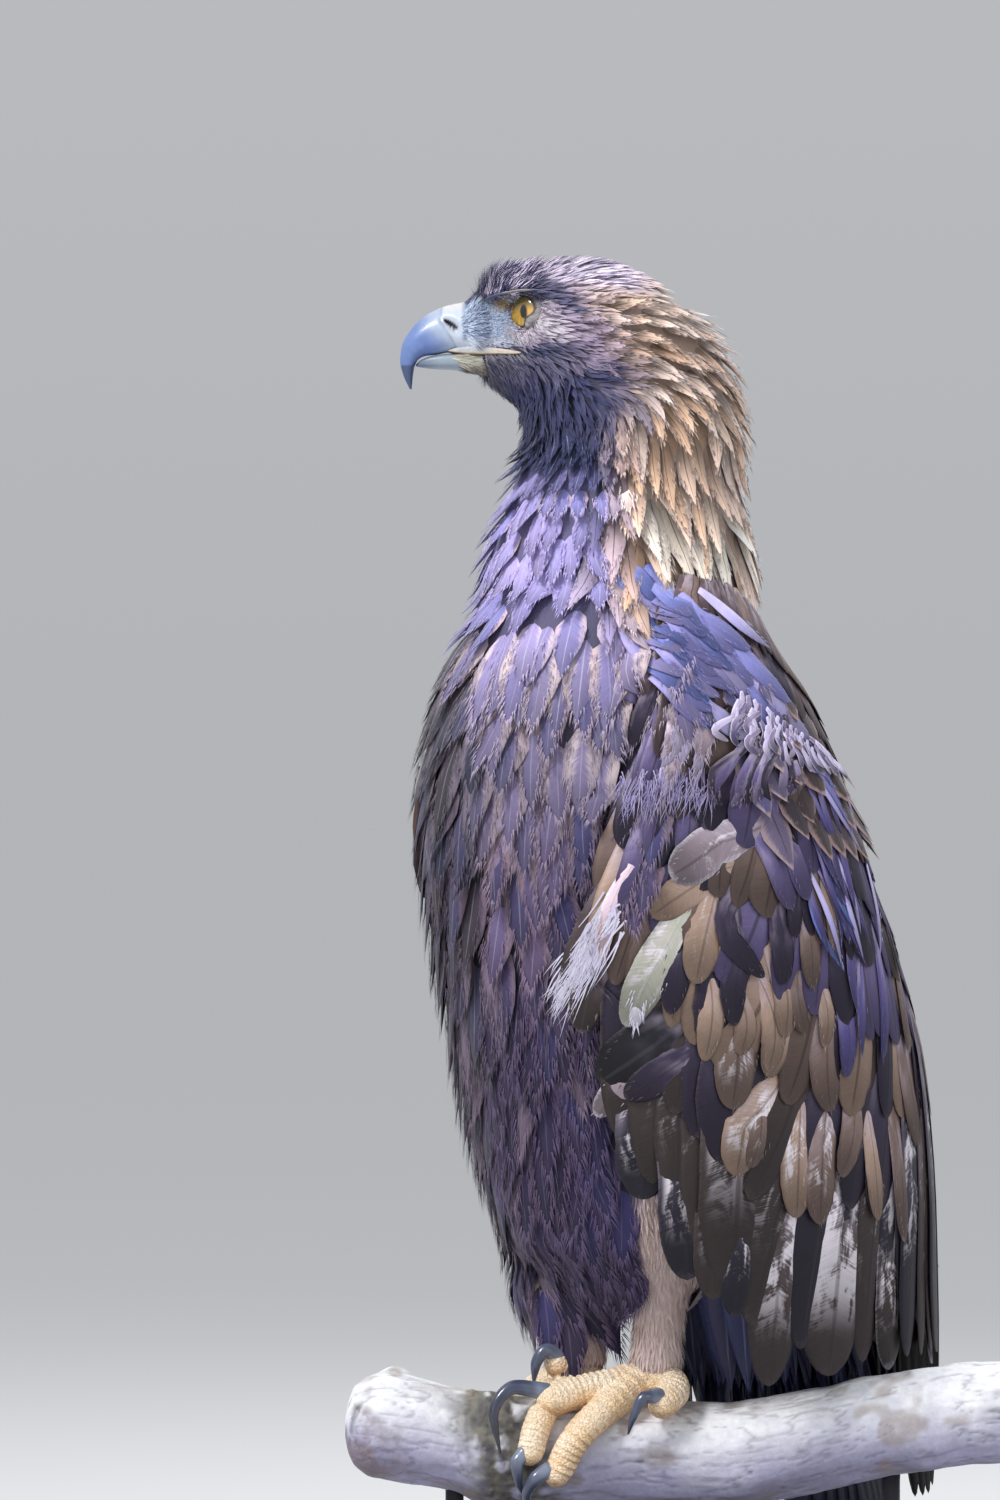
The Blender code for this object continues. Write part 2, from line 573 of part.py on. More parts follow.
# ---------------------------------------------------------------- legs and feet
def leg_solid(name, table):
    rings = []
    for z in np.linspace(table[0][0], table[-1][0], 8):
        x, y, radius = spline(table, z)
        rings.append([Vector((x + radius * math.cos(q), y + radius * math.sin(q), z)) for q in np.linspace(0, 2 * math.pi, 12, endpoint=False)])
    return loft(name, rings, "leg")


legs, feet, claws = {}, {}, {}
for side, table in (("left", LEG_LEFT), ("right", LEG_RIGHT)):
    legs[side] = leg_solid(f"leg_{side}", table)
    along, height, across, radius = FOOT_PAD[side]
    foot = ball(f"foot_{side}", place(along, height, across), (radius, radius, radius * 0.72), "toe", rings=6, count=10)
    for digit, (toe, claw) in TOES[side].items():
        bar = tube(f"toe_{side}_{digit}", toe, "toe", count=8, steps=2)
        combine(foot, bar, "UNION")
        drop(bar)
        claws[side + digit] = tube(f"claw_{side}_{digit}", claw, "claw", count=7, steps=2)
    feet[side] = foot

for side in ("left", "right"):
    minus(feet[side], perch_cut)
    for digit in "1234":
        claw = claws[side + digit]
        minus(claw, perch_cut)
        biggest(claw)
claw_cuts = {key: grown(claw, GAP) for key, claw in claws.items()}
for side in ("left", "right"):
    minus(legs[side], perch_cut, *claw_cuts.values())
    biggest(legs[side])
leg_cuts = [grown(legs[side], GAP) for side in ("left", "right")]
for side in ("left", "right"):
    minus(feet[side], *leg_cuts, *claw_cuts.values())
    biggest(feet[side])
left_cut = grown(feet["left"], GAP)
minus(feet["right"], left_cut)
biggest(feet["right"])
drop(left_cut)


# ---------------------------------------------------------------- trunk, neck and head
def flesh():
    rings = [oval((0, y, z), front, back, half, 2.0, 2.2, 20) for z in np.linspace(TRUNK[0][0], TRUNK[-1][0], 14) for half, front, back, y in [spline(TRUNK, z)]]
    trunk = loft("trunk", rings, "plumage")
    rings = [oval((0, y, z), depth, depth, half, 2.0, 2.0, 12) for z in np.linspace(UNDERTAIL[0][0], UNDERTAIL[-1][0], 6) for half, depth, y in [spline(UNDERTAIL, z)]]
    vent = loft("vent", rings)
    combine(trunk, vent, "UNION")
    drop(vent)
    rings = []
    for z in np.linspace(NECK[0][0], NECK[-1][0], 9):
        front, back, half, across = spline(NECK, z)
        mid, reach = (front + back) / 2, (back - front) / 2
        rings.append([place(mid + reach * math.cos(q), z, across + half * math.sin(q)) for q in np.linspace(0, 2 * math.pi, 22, endpoint=False)])
    neck = loft("neck", rings, "nape")
    rings = []
    for s in [row[0] for row in HEAD[:3]] + list(np.linspace(-0.0520, 0.0580, 8)) + [HEAD[-2][0], HEAD[-1][0]]:
        high, low, half = spline(HEAD, s)
        mid, reach = (high + low) / 2, (high - low) / 2
        rings.append([place(s, mid + reach * math.sin(q), HEAD_MID + half * math.cos(q)) for q in np.linspace(0, 2 * math.pi, 20, endpoint=False)])
    head = loft("head", rings, "nape")
    for sign in (1, -1):
        brow = tube("brow", [(-0.0640, 0.6035, HEAD_MID + sign * 0.0170, 0.0030), (-0.0480, 0.6085, HEAD_MID + sign * 0.0268, 0.0036), (-0.0280, 0.6080, HEAD_MID + sign * 0.0310, 0.0030)], "nape", count=6, steps=1)
        combine(head, brow, "UNION")
        hollow = ball("hollow", place(-0.0570, 0.5880, HEAD_MID + sign * 0.0335), (0.0125, 0.0095, 0.0105), "nape", rings=5, count=8, cutter=True)
        minus(head, hollow)
        drop(brow, hollow)
    return trunk, neck, head


trunk, neck, head = flesh()

# One continuous body, parted by two thin plane cuts: neck from trunk, head from neck.
NECK_CUT = (Vector((0, 0, 0.4620)), Vector((0, 0, 1)))
tilt = math.atan2(0.556 - 0.5380, 0.076 + 0.046)
HEAD_NORMAL = Vector((0, 0, 1)) * math.cos(tilt) - ALONG * math.sin(tilt)


def half_space(name, point, normal, up):
    """A big block on one side of a plane, as a cutter."""
    normal = normal.normalized() * (1 if up else -1)
    side = normal.cross(Vector((1, 0.3, 0))).normalized()
    other = normal.cross(side)
    origin = point + normal * GAP / 2
    rings = []
    for depth in (0, 0.6):
        rings.append([origin + normal * depth + side * 0.5 * a + other * 0.5 * b for a, b in ((1, 1), (-1, 1), (-1, -1), (1, -1))])
    return loft(name, rings, cutter=True)


combine(neck, trunk, "UNION")
combine(neck, head, "UNION")
whole = neck
below_neck = half_space("below_neck", NECK_CUT[0], NECK_CUT[1], False)
above_neck = half_space("above_neck", NECK_CUT[0], NECK_CUT[1], True)
below_head = half_space("below_head", place(-0.046, 0.5380, 0), HEAD_NORMAL, False)
above_head = half_space("above_head", place(-0.046, 0.5380, 0), HEAD_NORMAL, True)


def copy_of(source, name, kind):
    made = bpy.data.objects.new(name, source.data.copy())
    bpy.context.scene.collection.objects.link(made)
    made.data.materials.clear()
    made.data.materials.append(material(kind))
    return made


drop(trunk, head)
trunk = copy_of(whole, "trunk", "plumage")
head = copy_of(whole, "head", "nape")
combine(trunk, below_neck, "INTERSECT")
combine(head, above_head, "INTERSECT")
combine(whole, above_neck, "INTERSECT")
combine(whole, below_head, "INTERSECT")
drop(below_neck, above_neck, below_head, above_head)
for body in (trunk, head, whole):
    biggest(body)

for wing in (wing_left, wing_right):
    cut = grown(wing, GAP)
    minus(trunk, cut)
    minus(whole, cut)
    drop(cut)
cut = grown(tail, GAP)
minus(trunk, cut)
drop(cut)
for side in ("left", "right"):
    cut = grown(feet[side], GAP)
    minus(trunk, cut)
    drop(cut)
minus(trunk, perch_cut, *leg_cuts, *claw_cuts.values())
drop(*leg_cuts, *claw_cuts.values())
biggest(trunk)
biggest(whole)

# ---------------------------------------------------------------- bill and eyes
rings = []
for (cs, cz), (ts, tz), half in BILL:
    mid_s, mid_z = (cs + ts) / 2, (cz + tz) / 2
    ring = []
    for q in np.linspace(0, 2 * math.pi, 14, endpoint=False):
        lift, wide = math.cos(q), math.sin(q)
        wide = math.copysign(abs(wide) ** 0.85, wide)
        ring.append(place(mid_s + (cs - mid_s) * lift, mid_z + (cz - mid_z) * lift, HEAD_MID + half * wide))
    rings.append(ring)
bill_upper = loft("bill_upper", rings, "bill")
rings = []
for s, high, low, half in CHIN_BILL:
    rings.append([place(s, (high + low) / 2 + (high - low) / 2 * math.sin(q), HEAD_MID + half * math.cos(q)) for q in np.linspace(0, 2 * math.pi, 10, endpoint=False)])
bill_lower = loft("bill_lower", rings, "bill")
cut = grown(bill_upper, GAP)
minus(bill_lower, cut)
biggest(bill_lower)
minus(head, cut)
drop(cut)
cut = grown(bill_lower, GAP)
minus(head, cut)
drop(cut)
for side, sign in (("left", 1), ("right", -1)):
    along, height, across, radius = EYE
    centre = place(along, height, HEAD_MID + sign * across)
    eye = ball(f"eye_{side}", centre, (radius, radius, radius), "eye", rings=7, count=12)
    cut = grown(eye, GAP)
    minus(head, cut)
    drop(cut)
biggest(head)

drop(perch_cut)


def simplify(target):
    """Joins nearly flat neighbouring faces and closes very short edges, to keep the facet count low. It stays closed."""
    for degrees, short in ((1.6, 0.00008), (1.2, 0.00003), (0.8, 0.0), (0.3, 0.0)):
        bm = bmesh.new()
        bm.from_mesh(target.data)
        if short:
            bmesh.ops.remove_doubles(bm, verts=bm.verts, dist=short)
            bmesh.ops.dissolve_degenerate(bm, edges=bm.edges, dist=1e-5)
        bmesh.ops.dissolve_limit(bm, angle_limit=math.radians(degrees), verts=bm.verts, edges=bm.edges)
        bmesh.ops.triangulate(bm, faces=bm.faces)
        closed = all(len(e.link_faces) == 2 for e in bm.edges) and all(len(f.verts) == 3 and f.calc_area() > 1e-13 for f in bm.faces)
        if closed:
            bm.to_mesh(target.data)
        bm.free()
        if closed:
            break


for body in (trunk, whole, head, feet["left"], feet["right"]):
    simplify(body)

# ---------------------------------------------------------------- set the underside of the base at Z = 0
for made in bpy.data.objects:
    for v in made.data.vertices:
        v.co += OFFSET
    made.data.update()
bpy.context.view_layer.update()
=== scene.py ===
"""Golden eagle, life size, standing on a cut branch on a plain display stand: skin, plumage, bill, eyes, feet, claws.

Design coordinates P have their origin on the branch top between the feet; world = P + OFFSET.
ALONG runs along the branch, ACROSS towards the viewer. Metres throughout.
"""
import math
import time

import bmesh
import bpy
import numpy as np
from mathutils import Matrix, Vector
from mathutils.bvhtree import BVHTree


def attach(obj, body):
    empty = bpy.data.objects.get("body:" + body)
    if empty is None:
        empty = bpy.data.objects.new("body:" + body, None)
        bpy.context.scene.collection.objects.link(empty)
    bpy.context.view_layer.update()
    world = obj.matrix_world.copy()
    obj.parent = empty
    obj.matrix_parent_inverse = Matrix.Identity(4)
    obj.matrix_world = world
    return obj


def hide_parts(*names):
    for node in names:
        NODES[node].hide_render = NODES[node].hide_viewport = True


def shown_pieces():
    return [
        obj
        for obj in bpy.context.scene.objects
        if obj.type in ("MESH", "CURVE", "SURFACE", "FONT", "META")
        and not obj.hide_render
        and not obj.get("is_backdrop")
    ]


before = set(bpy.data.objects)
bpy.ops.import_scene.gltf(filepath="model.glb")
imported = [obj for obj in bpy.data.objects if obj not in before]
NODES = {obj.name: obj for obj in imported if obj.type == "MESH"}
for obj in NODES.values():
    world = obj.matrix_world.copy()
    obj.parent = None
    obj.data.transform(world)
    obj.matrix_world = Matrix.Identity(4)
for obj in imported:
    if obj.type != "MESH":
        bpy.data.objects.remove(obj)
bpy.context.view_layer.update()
RNG = np.random.default_rng(11)
START = time.time()

TURN = math.radians(55)
ALONG = np.array((math.cos(TURN), math.sin(TURN), 0.0))
ACROSS = np.array((math.sin(TURN), -math.cos(TURN), 0.0))
UP = np.array((0.0, 0.0, 1.0))
OFFSET = np.array((-0.020, -0.050, 0.170))
PX = 0.00055  # metres to one pixel of the 1000 x 1500 frame
HEAD_MID = -0.003


def log(text):
    print(f"[{time.time() - START:6.1f} s] {text}", flush=True)


# ------------------------------------------------------------------ small maths
def spline(table, x):
    """Smooth monotone curve through a table's rows, at one x or an array of x."""
    rows = np.array(sorted(table, key=lambda row: row[0]), float)
    xs, ys = rows[:, 0], rows[:, 1:]
    slope = np.diff(ys, axis=0) / np.diff(xs)[:, None]
    tangent = np.zeros_like(ys)
    tangent[0], tangent[-1] = slope[0], slope[-1]
    for k in range(1, len(xs) - 1):
        a, b = slope[k - 1], slope[k]
        tangent[k] = np.where(a * b > 0, 2 * a * b / np.where(np.abs(a + b) < 1e-12, 1e-12, a + b), 0)
    q = np.clip(np.asarray(x, float), xs[0], xs[-1])
    i = np.clip(np.searchsorted(xs, q) - 1, 0, len(xs) - 2)
    h = (xs[i + 1] - xs[i])[..., None]
    t = (q - xs[i])[..., None] / h
    return (1 + 2 * t) * (1 - t) ** 2 * ys[i] + t * (1 - t) ** 2 * h * tangent[i] + t * t * (3 - 2 * t) * ys[i + 1] + t * t * (t - 1) * h * tangent[i + 1]


def place(along, height, across):
    return np.multiply.outer(np.asarray(along, float), ALONG) + np.multiply.outer(np.asarray(across, float), ACROSS) + np.multiply.outer(np.asarray(height, float), UP)


def unit(v):
    return v / np.maximum(np.linalg.norm(v, axis=-1, keepdims=True), 1e-12)


def smooth(a, b, x):
    t = np.clip((x - a) / (b - a), 0, 1)
    return t * t * (3 - 2 * t)


def hash3(i, j, k, seed):
    h = (i * 73856093) ^ (j * 19349663) ^ (k * 83492791) ^ (seed * 2654435761)
    h = (h ^ (h >> 13)) * 1274126177
    h = h & 0xFFFFFFFF
    return ((h ^ (h >> 16)) & 0xFFFFFF) / float(0xFFFFFF)


def vnoise(p, scale, seed=0):
    """Value noise, -1 to 1, at an array of points; scale is features to a metre."""
    q = np.asarray(p, float) * scale
    base = np.floor(q).astype(np.int64)
    f = q - base
    f = f * f * (3 - 2 * f)
    out = 0
    for dx in (0, 1):
        for dy in (0, 1):
            for dz in (0, 1):
                w = (f[..., 0] if dx else 1 - f[..., 0]) * (f[..., 1] if dy else 1 - f[..., 1]) * (f[..., 2] if dz else 1 - f[..., 2])
                out = out + w * hash3(base[..., 0] + dx, base[..., 1] + dy, base[..., 2] + dz, seed)
    return out * 2 - 1


def fnoise(p, scale, seed=0, octaves=3):
    total, amp, norm = 0, 1.0, 0
    for o in range(octaves):
        total = total + amp * vnoise(p, scale * 2.03 ** o, seed + o)
        norm += amp
        amp *= 0.5
    return total / norm


# ------------------------------------------------------------------ tables shared with the CAD solids
EYE = (-0.0418, 0.5950, 0.0212, 0.0102)
BILL = [
    ((-0.0680, 0.6035), (-0.0640, 0.5722), 0.0132), ((-0.0737, 0.6015), (-0.0720, 0.5730), 0.0130), ((-0.0850, 0.5990), (-0.0825, 0.5735), 0.0119),
    ((-0.0960, 0.5938), (-0.0900, 0.5722), 0.0103), ((-0.1045, 0.5855), (-0.0958, 0.5716), 0.0086), ((-0.1090, 0.5770), (-0.0998, 0.5697), 0.0066),
    ((-0.1100, 0.5690), (-0.1020, 0.5655), 0.0048), ((-0.1082, 0.5610), (-0.1030, 0.5595), 0.0031), ((-0.1048, 0.5535), (-0.1036, 0.5532), 0.0009),
]
CHIN_BILL = [(-0.0630, 0.5730, 0.5615, 0.0108), (-0.0720, 0.5735, 0.5628, 0.0104), (-0.0820, 0.5730, 0.5638, 0.0092), (-0.0920, 0.5718, 0.5644, 0.0070), (-0.0985, 0.5695, 0.5652, 0.0044), (-0.1012, 0.5672, 0.5658, 0.0018)]
CLOAK = [
    (0.470, 0.070, 0.062, 0.062, 0.006), (0.437, 0.085, 0.082, 0.080, 0.004), (0.415, 0.096, 0.092, 0.092, 0.0), (0.382, 0.108, 0.099, 0.118, -0.004),
    (0.327, 0.120, 0.107, 0.146, -0.007), (0.289, 0.125, 0.108, 0.158, -0.005), (0.239, 0.127, 0.106, 0.175, 0.0), (0.184, 0.126, 0.102, 0.185, 0.008),
    (0.113, 0.122, 0.092, 0.1875, 0.015), (0.069, 0.117, 0.082, 0.1877, 0.018), (0.0165, 0.110, 0.070, 0.187, 0.022), (-0.080, 0.095, 0.060, 0.190, 0.024),
]
LEFT_FRONT = [(0.440, -14.0), (0.382, -25.0), (0.327, -32.0), (0.289, -39.0), (0.239, -52.0), (0.205, -55.0), (0.184, -53.0), (0.150, -46.0), (0.112, -36.0)]
WING_TOP = [(0.0, 0.440), (0.15, 0.446), (0.40, 0.436), (0.65, 0.400), (1.0, 0.345)]
LEFT_BOTTOM = [(0.0, 0.150), (0.10, 0.112), (0.20, 0.082), (0.30, 0.058), (0.38, 0.030), (0.48, 0.018), (0.60, 0.020), (0.70, 0.020), (0.76, 0.020), (0.84, -0.030), (0.93, -0.062), (1.0, -0.066)]
RIGHT_FRONT = [(0.440, -14.0), (0.382, -27.0), (0.340, -29.0), (0.300, -24.0), (0.250, -14.0), (0.200, -4.0), (0.150, 4.0)]
RIGHT_BOTTOM = [(0.0, 0.232), (0.12, 0.170), (0.25, 0.120), (0.40, 0.080), (0.55, 0.045), (0.70, 0.012), (0.80, -0.010), (0.86, -0.045), (0.93, -0.068), (1.0, -0.072)]
WING_END = 89.2
WING_THICK = [(0.0, 0.010), (0.12, 0.022), (0.35, 0.027), (0.65, 0.014), (0.85, 0.006), (1.0, 0.0022)]
LEADING_ROUND = 0.075
TAIL_ROOT, TAIL_TIP = np.array((0, 0.130, 0.150)), np.array((0, 0.188, -0.108))
TAIL_WIDTH = [(0.0, 0.022), (0.3, 0.036), (0.7, 0.050), (1.0, 0.056)]
TAIL_ARCH = 0.010
TOES = {
    "left": {
        "2": [[(.026, .010, .004, .0105), (.006, .006, .014, .0098), (-.012, .003, .021, .0092), (-.0270, -.0010, .0285, .0088)], [(-.0300, .0035, .0270, .0052), (-.0470, .0062, .0310, .0042), (-.0585, -.0080, .0355, .0028), (-.0550, -.0290, .0345, .0006)]],
        "3": [[(.024, .009, .008, .0105), (.002, -.006, .0300, .0090), (-.014, -.022, .0385, .0085), (-.0240, -.0405, .0380, .0078)], [(-.0290, -.0380, .0400, .0046), (-.0360, -.0430, .0430, .0038), (-.0405, -.0520, .0400, .0026), (-.0400, -.0640, .0330, .0006)]],
        "4": [[(.035, .009, .004, .0105), (.0400, .004, .020, .0092), (.0335, -.0030, .0330, .0080)], [(.0310, .0020, .0350, .0046), (.0240, .0015, .0420, .0036), (.0180, -.0080, .0440, .0023), (.0150, -.0180, .0410, .0006)]],
        "1": [[(.034, .008, -.004, .0105), (.036, .001, -.026, .0092), (.035, -.018, -.0385, .0085)], [(.0345, -.0230, -.0400, .0052), (.0335, -.0390, -.0430, .0042), (.0310, -.0560, -.0360, .0028), (.0290, -.0680, -.0220, .0006)]],
    },
    "right": {
        "2": [[(-.012, .007, -.006, .0095), (-.026, -.002, .010, .0082), (-.0345, -.0140, .0335, .0078), (-.0385, -.0290, .0385, .0074)], [(-.0420, -.0290, .0400, .0044), (-.0460, -.0350, .0425, .0036), (-.0450, -.0440, .0400, .0024), (-.0420, -.0530, .0340, .0006)]],
        "3": [[(-.012, .010, -.014, .0098), (-.0185, .0145, -.006, .0085), (-.0235, .0175, 0, .0076)], [(-.0235, .0210, .0010, .0048), (-.0295, .0245, .0050, .0042), (-.0352, .0170, .0070, .0030), (-.0365, .0075, .0075, .0008)]],
        "4": [[(-.012, .009, -.016, .0098), (-.030, .005, -.020, .0088), (-.0420, -.0070, -.0310, .0080)], [(-.0445, -.0105, -.0330, .0046), (-.0490, -.0230, -.0385, .0036), (-.0500, -.0350, -.0370, .0024), (-.0490, -.0450, -.0310, .0006)]],
        "1": [[(-.006, .008, -.018, .0100), (0, -.001, -.030, .0090), (.003, -.018, -.0395, .0083)], [(.0035, -.0230, -.0410, .0052), (.0040, -.0390, -.0430, .0042), (.0050, -.0560, -.0360, .0028), (.0060, -.0680, -.0220, .0006)]],
    },
}
FOOT_PAD = {"left": (0.030, 0.007, 0.004, 0.0165), "right": (-0.0100, 0.006, -0.013, 0.0155)}
LEGS = {
    "left": [(.150, .046, .020, .034), (.125, .043, .019, .037), (.100, .039, .018, .030), (.075, .034, .019, .0215), (.050, .028, .0205, .0168), (.030, .0240, .0215, .0162), (.0115, .0206, .0224, .0178)],
    "right": [(.150, -.043, .004, .036), (.125, -.040, .002, .043), (.100, -.037, 0, .040), (.060, -.030, -.002, .030), (.030, -.0225, -.001, .0200), (.0125, -.0178, -.0002, .0165)],
}
BRANCH = [(-.1400, -.0180, .0060), (-.1385, -.0180, .0150), (-.1340, -.0175, .0240), (-.1240, -.0175, .0295), (-.1050, -.0195, .0305), (-.0800, -.0240, .0295), (-.0650, -.0280, .0320), (-.0400, -.0305, .0315), (-.0100, -.0310, .0308), (.0300, -.0320, .0308), (.0650, -.0330, .0300), (.1000, -.0290, .0300), (.1500, -.0180, .0295), (.2000, -.0110, .0290), (.2350, -.0090, .0285)]
KNOTS = [(-0.112, 112.0, 0.0060, 0.0090), (-0.058, 60.0, 0.0028, 0.0100), (0.020, 18.0, 0.0040, 0.0100), (0.112, 20.0, 0.0045, 0.0130), (0.180, -40.0, 0.0050, 0.0120)]


def cloak(height, degrees):
    """Points on the outside of the folded wings."""
    height, a = np.asarray(height, float), np.radians(np.asarray(degrees, float))
    half, front, back, y = np.moveaxis(spline(CLOAK, height), -1, 0)
    c, s = np.clip(np.cos(a), 0, 1), np.sin(a)
    e = 2 / 2.6
    behind = a >= 0
    x = np.where(behind, half * c ** e, half * c)
    yy = np.where(behind, y + back * np.abs(s) ** e, y + front * s)
    return np.stack([x, yy, height + 0 * x], axis=-1)


def cloak_normal(height, degrees):
    t = cloak(height, np.minimum(np.asarray(degrees) + 0.6, 89.6)) - cloak(height, np.asarray(degrees) - 0.6)
    u = cloak(np.asarray(height) + 0.004, degrees) - cloak(np.asarray(height) - 0.004, degrees)
    n = unit(np.cross(t, u))
    out = cloak(height, degrees) * np.array((1, 1, 0)) - np.array((0, 0.02, 0))
    flip = np.sum(n * out, axis=-1) < 0
    return np.where(flip[..., None], -n, n)


# ------------------------------------------------------------------ objects
PIECES = []


def build(name, points, faces, body="root", shade=True):
    """A mesh object from design coordinates; faces as an array of quads or triangles, or a list."""
    mesh = bpy.data.meshes.new(name)
    points = np.asarray(points, float) + OFFSET
    if isinstance(faces, np.ndarray):
        n, k = faces.shape
        mesh.vertices.add(len(points))
        mesh.vertices.foreach_set("co", points.astype(np.float32).ravel())
        mesh.loops.add(n * k)
        mesh.loops.foreach_set("vertex_index", faces.astype(np.int32).ravel())
        mesh.polygons.add(n)
        mesh.polygons.foreach_set("loop_start", np.arange(0, n * k, k, dtype=np.int32))
        mesh.update(calc_edges=True)
        mesh.validate()
    else:
        mesh.from_pydata([tuple(p) for p in points], [], faces)
        mesh.update()
    if shade:
        mesh.shade_smooth()
    made = bpy.data.objects.new(name, mesh)
    bpy.context.scene.collection.objects.link(made)
    if body:
        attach(made, body)
    PIECES.append(made)
    return made


def orient(obj):
    """Closed mesh: faces turned to point outwards."""
    bm = bmesh.new()
    bm.from_mesh(obj.data)
    bmesh.ops.recalc_face_normals(bm, faces=bm.faces)
    if bm.calc_volume(signed=True) < 0:
        bmesh.ops.reverse_faces(bm, faces=bm.faces)
    bm.to_mesh(obj.data)
    bm.free()
    return obj


def paint(obj, name, values, kind="FLOAT_COLOR"):
    """A per-vertex attribute: a colour (n, 3 or 4), a vector (n, 3) or a number (n,)."""
    values = np.asarray(values, np.float32)
    if kind == "FLOAT_COLOR" and values.shape[1] == 3:
        values = np.concatenate([values, np.ones((len(values), 1), np.float32)], axis=1)
    layer = obj.data.attributes.new(name, kind, "POINT")
    layer.data.foreach_set({"FLOAT_COLOR": "color", "FLOAT_VECTOR": "vector", "FLOAT": "value"}[kind], np.ascontiguousarray(values).ravel())


def grid_faces(rows, cols, wrap=False, start=0):
    """Quads of a rows x cols grid of points."""
    i, j = np.meshgrid(np.arange(rows - 1), np.arange(cols if wrap else cols - 1), indexing="ij")
    i, j = i.ravel(), j.ravel()
    k = (j + 1) % cols
    return start + np.stack([i * cols + j, i * cols + k, (i + 1) * cols + k, (i + 1) * cols + j], axis=1)


def loft(name, rings):
    """A closed solid through rings of equal length."""
    rings = np.asarray(rings, float)
    rows, cols = rings.shape[:2]
    points = np.concatenate([rings.reshape(-1, 3), rings[0].mean(0)[None], rings[-1].mean(0)[None]])
    faces = [tuple(f) for f in grid_faces(rows, cols, wrap=True)]
    for j in range(cols):
        faces.append((j, (j + 1) % cols, rows * cols))
        faces.append(((rows - 1) * cols + j, (rows - 1) * cols + (j + 1) % cols, rows * cols + 1))
    return orient(build(name, points, faces))


def mesh_arrays(obj):
    """World vertex positions as design coordinates, and triangles, of a mesh object."""
    mesh = obj.data
    co = np.zeros(len(mesh.vertices) * 3, np.float32)
    mesh.vertices.foreach_get("co", co)
    mesh.calc_loop_triangles()
    tri = np.zeros(len(mesh.loop_triangles) * 3, np.int32)
    mesh.loop_triangles.foreach_get("vertices", tri)
    return co.reshape(-1, 3).astype(float) - OFFSET, tri.reshape(-1, 3)


def normals_of(points, tri):
    face = np.cross(points[tri[:, 1]] - points[tri[:, 0]], points[tri[:, 2]] - points[tri[:, 0]])
    out = np.zeros_like(points)
    for k in range(3):
        np.add.at(out, tri[:, k], face)
    return unit(out)


def remeshed(name, parts, voxel, rounds, factor=0.5):
    """One closed mesh round all the (points, triangles) given, smoothed; returned as points and triangles."""
    points, tris, n = [], [], 0
    for p, t in parts:
        points.append(p)
        tris.append(t + n)
        n += len(p)
    obj = build(name, np.concatenate(points), np.concatenate(tris), body=None)
    PIECES.remove(obj)
    made = obj.modifiers.new("voxel", "REMESH")
    made.mode, made.voxel_size, made.adaptivity = "VOXEL", voxel, 0.0
    if rounds:
        soft = obj.modifiers.new("soft", "SMOOTH")
        soft.factor, soft.iterations = factor, rounds
    graph = bpy.context.evaluated_depsgraph_get()
    graph.update()
    mesh = bpy.data.meshes.new_from_object(obj.evaluated_get(graph))
    bpy.data.objects.remove(obj, do_unlink=True)
    co = np.zeros(len(mesh.vertices) * 3, np.float32)
    mesh.vertices.foreach_get("co", co)
    quads = np.zeros(len(mesh.loops), np.int32)
    mesh.loops.foreach_get("vertex_index", quads)
    sizes = np.zeros(len(mesh.polygons), np.int32)
    mesh.polygons.foreach_get("loop_total", sizes)
    assert (sizes == 4).all()
    bpy.data.meshes.remove(mesh)
    return co.reshape(-1, 3).astype(float) - OFFSET, quads.reshape(-1, 4)


# ------------------------------------------------------------------ camera, light, floor
def look(camera_at, target):
    return Vector(target - camera_at).to_track_quat("-Z", "Y")


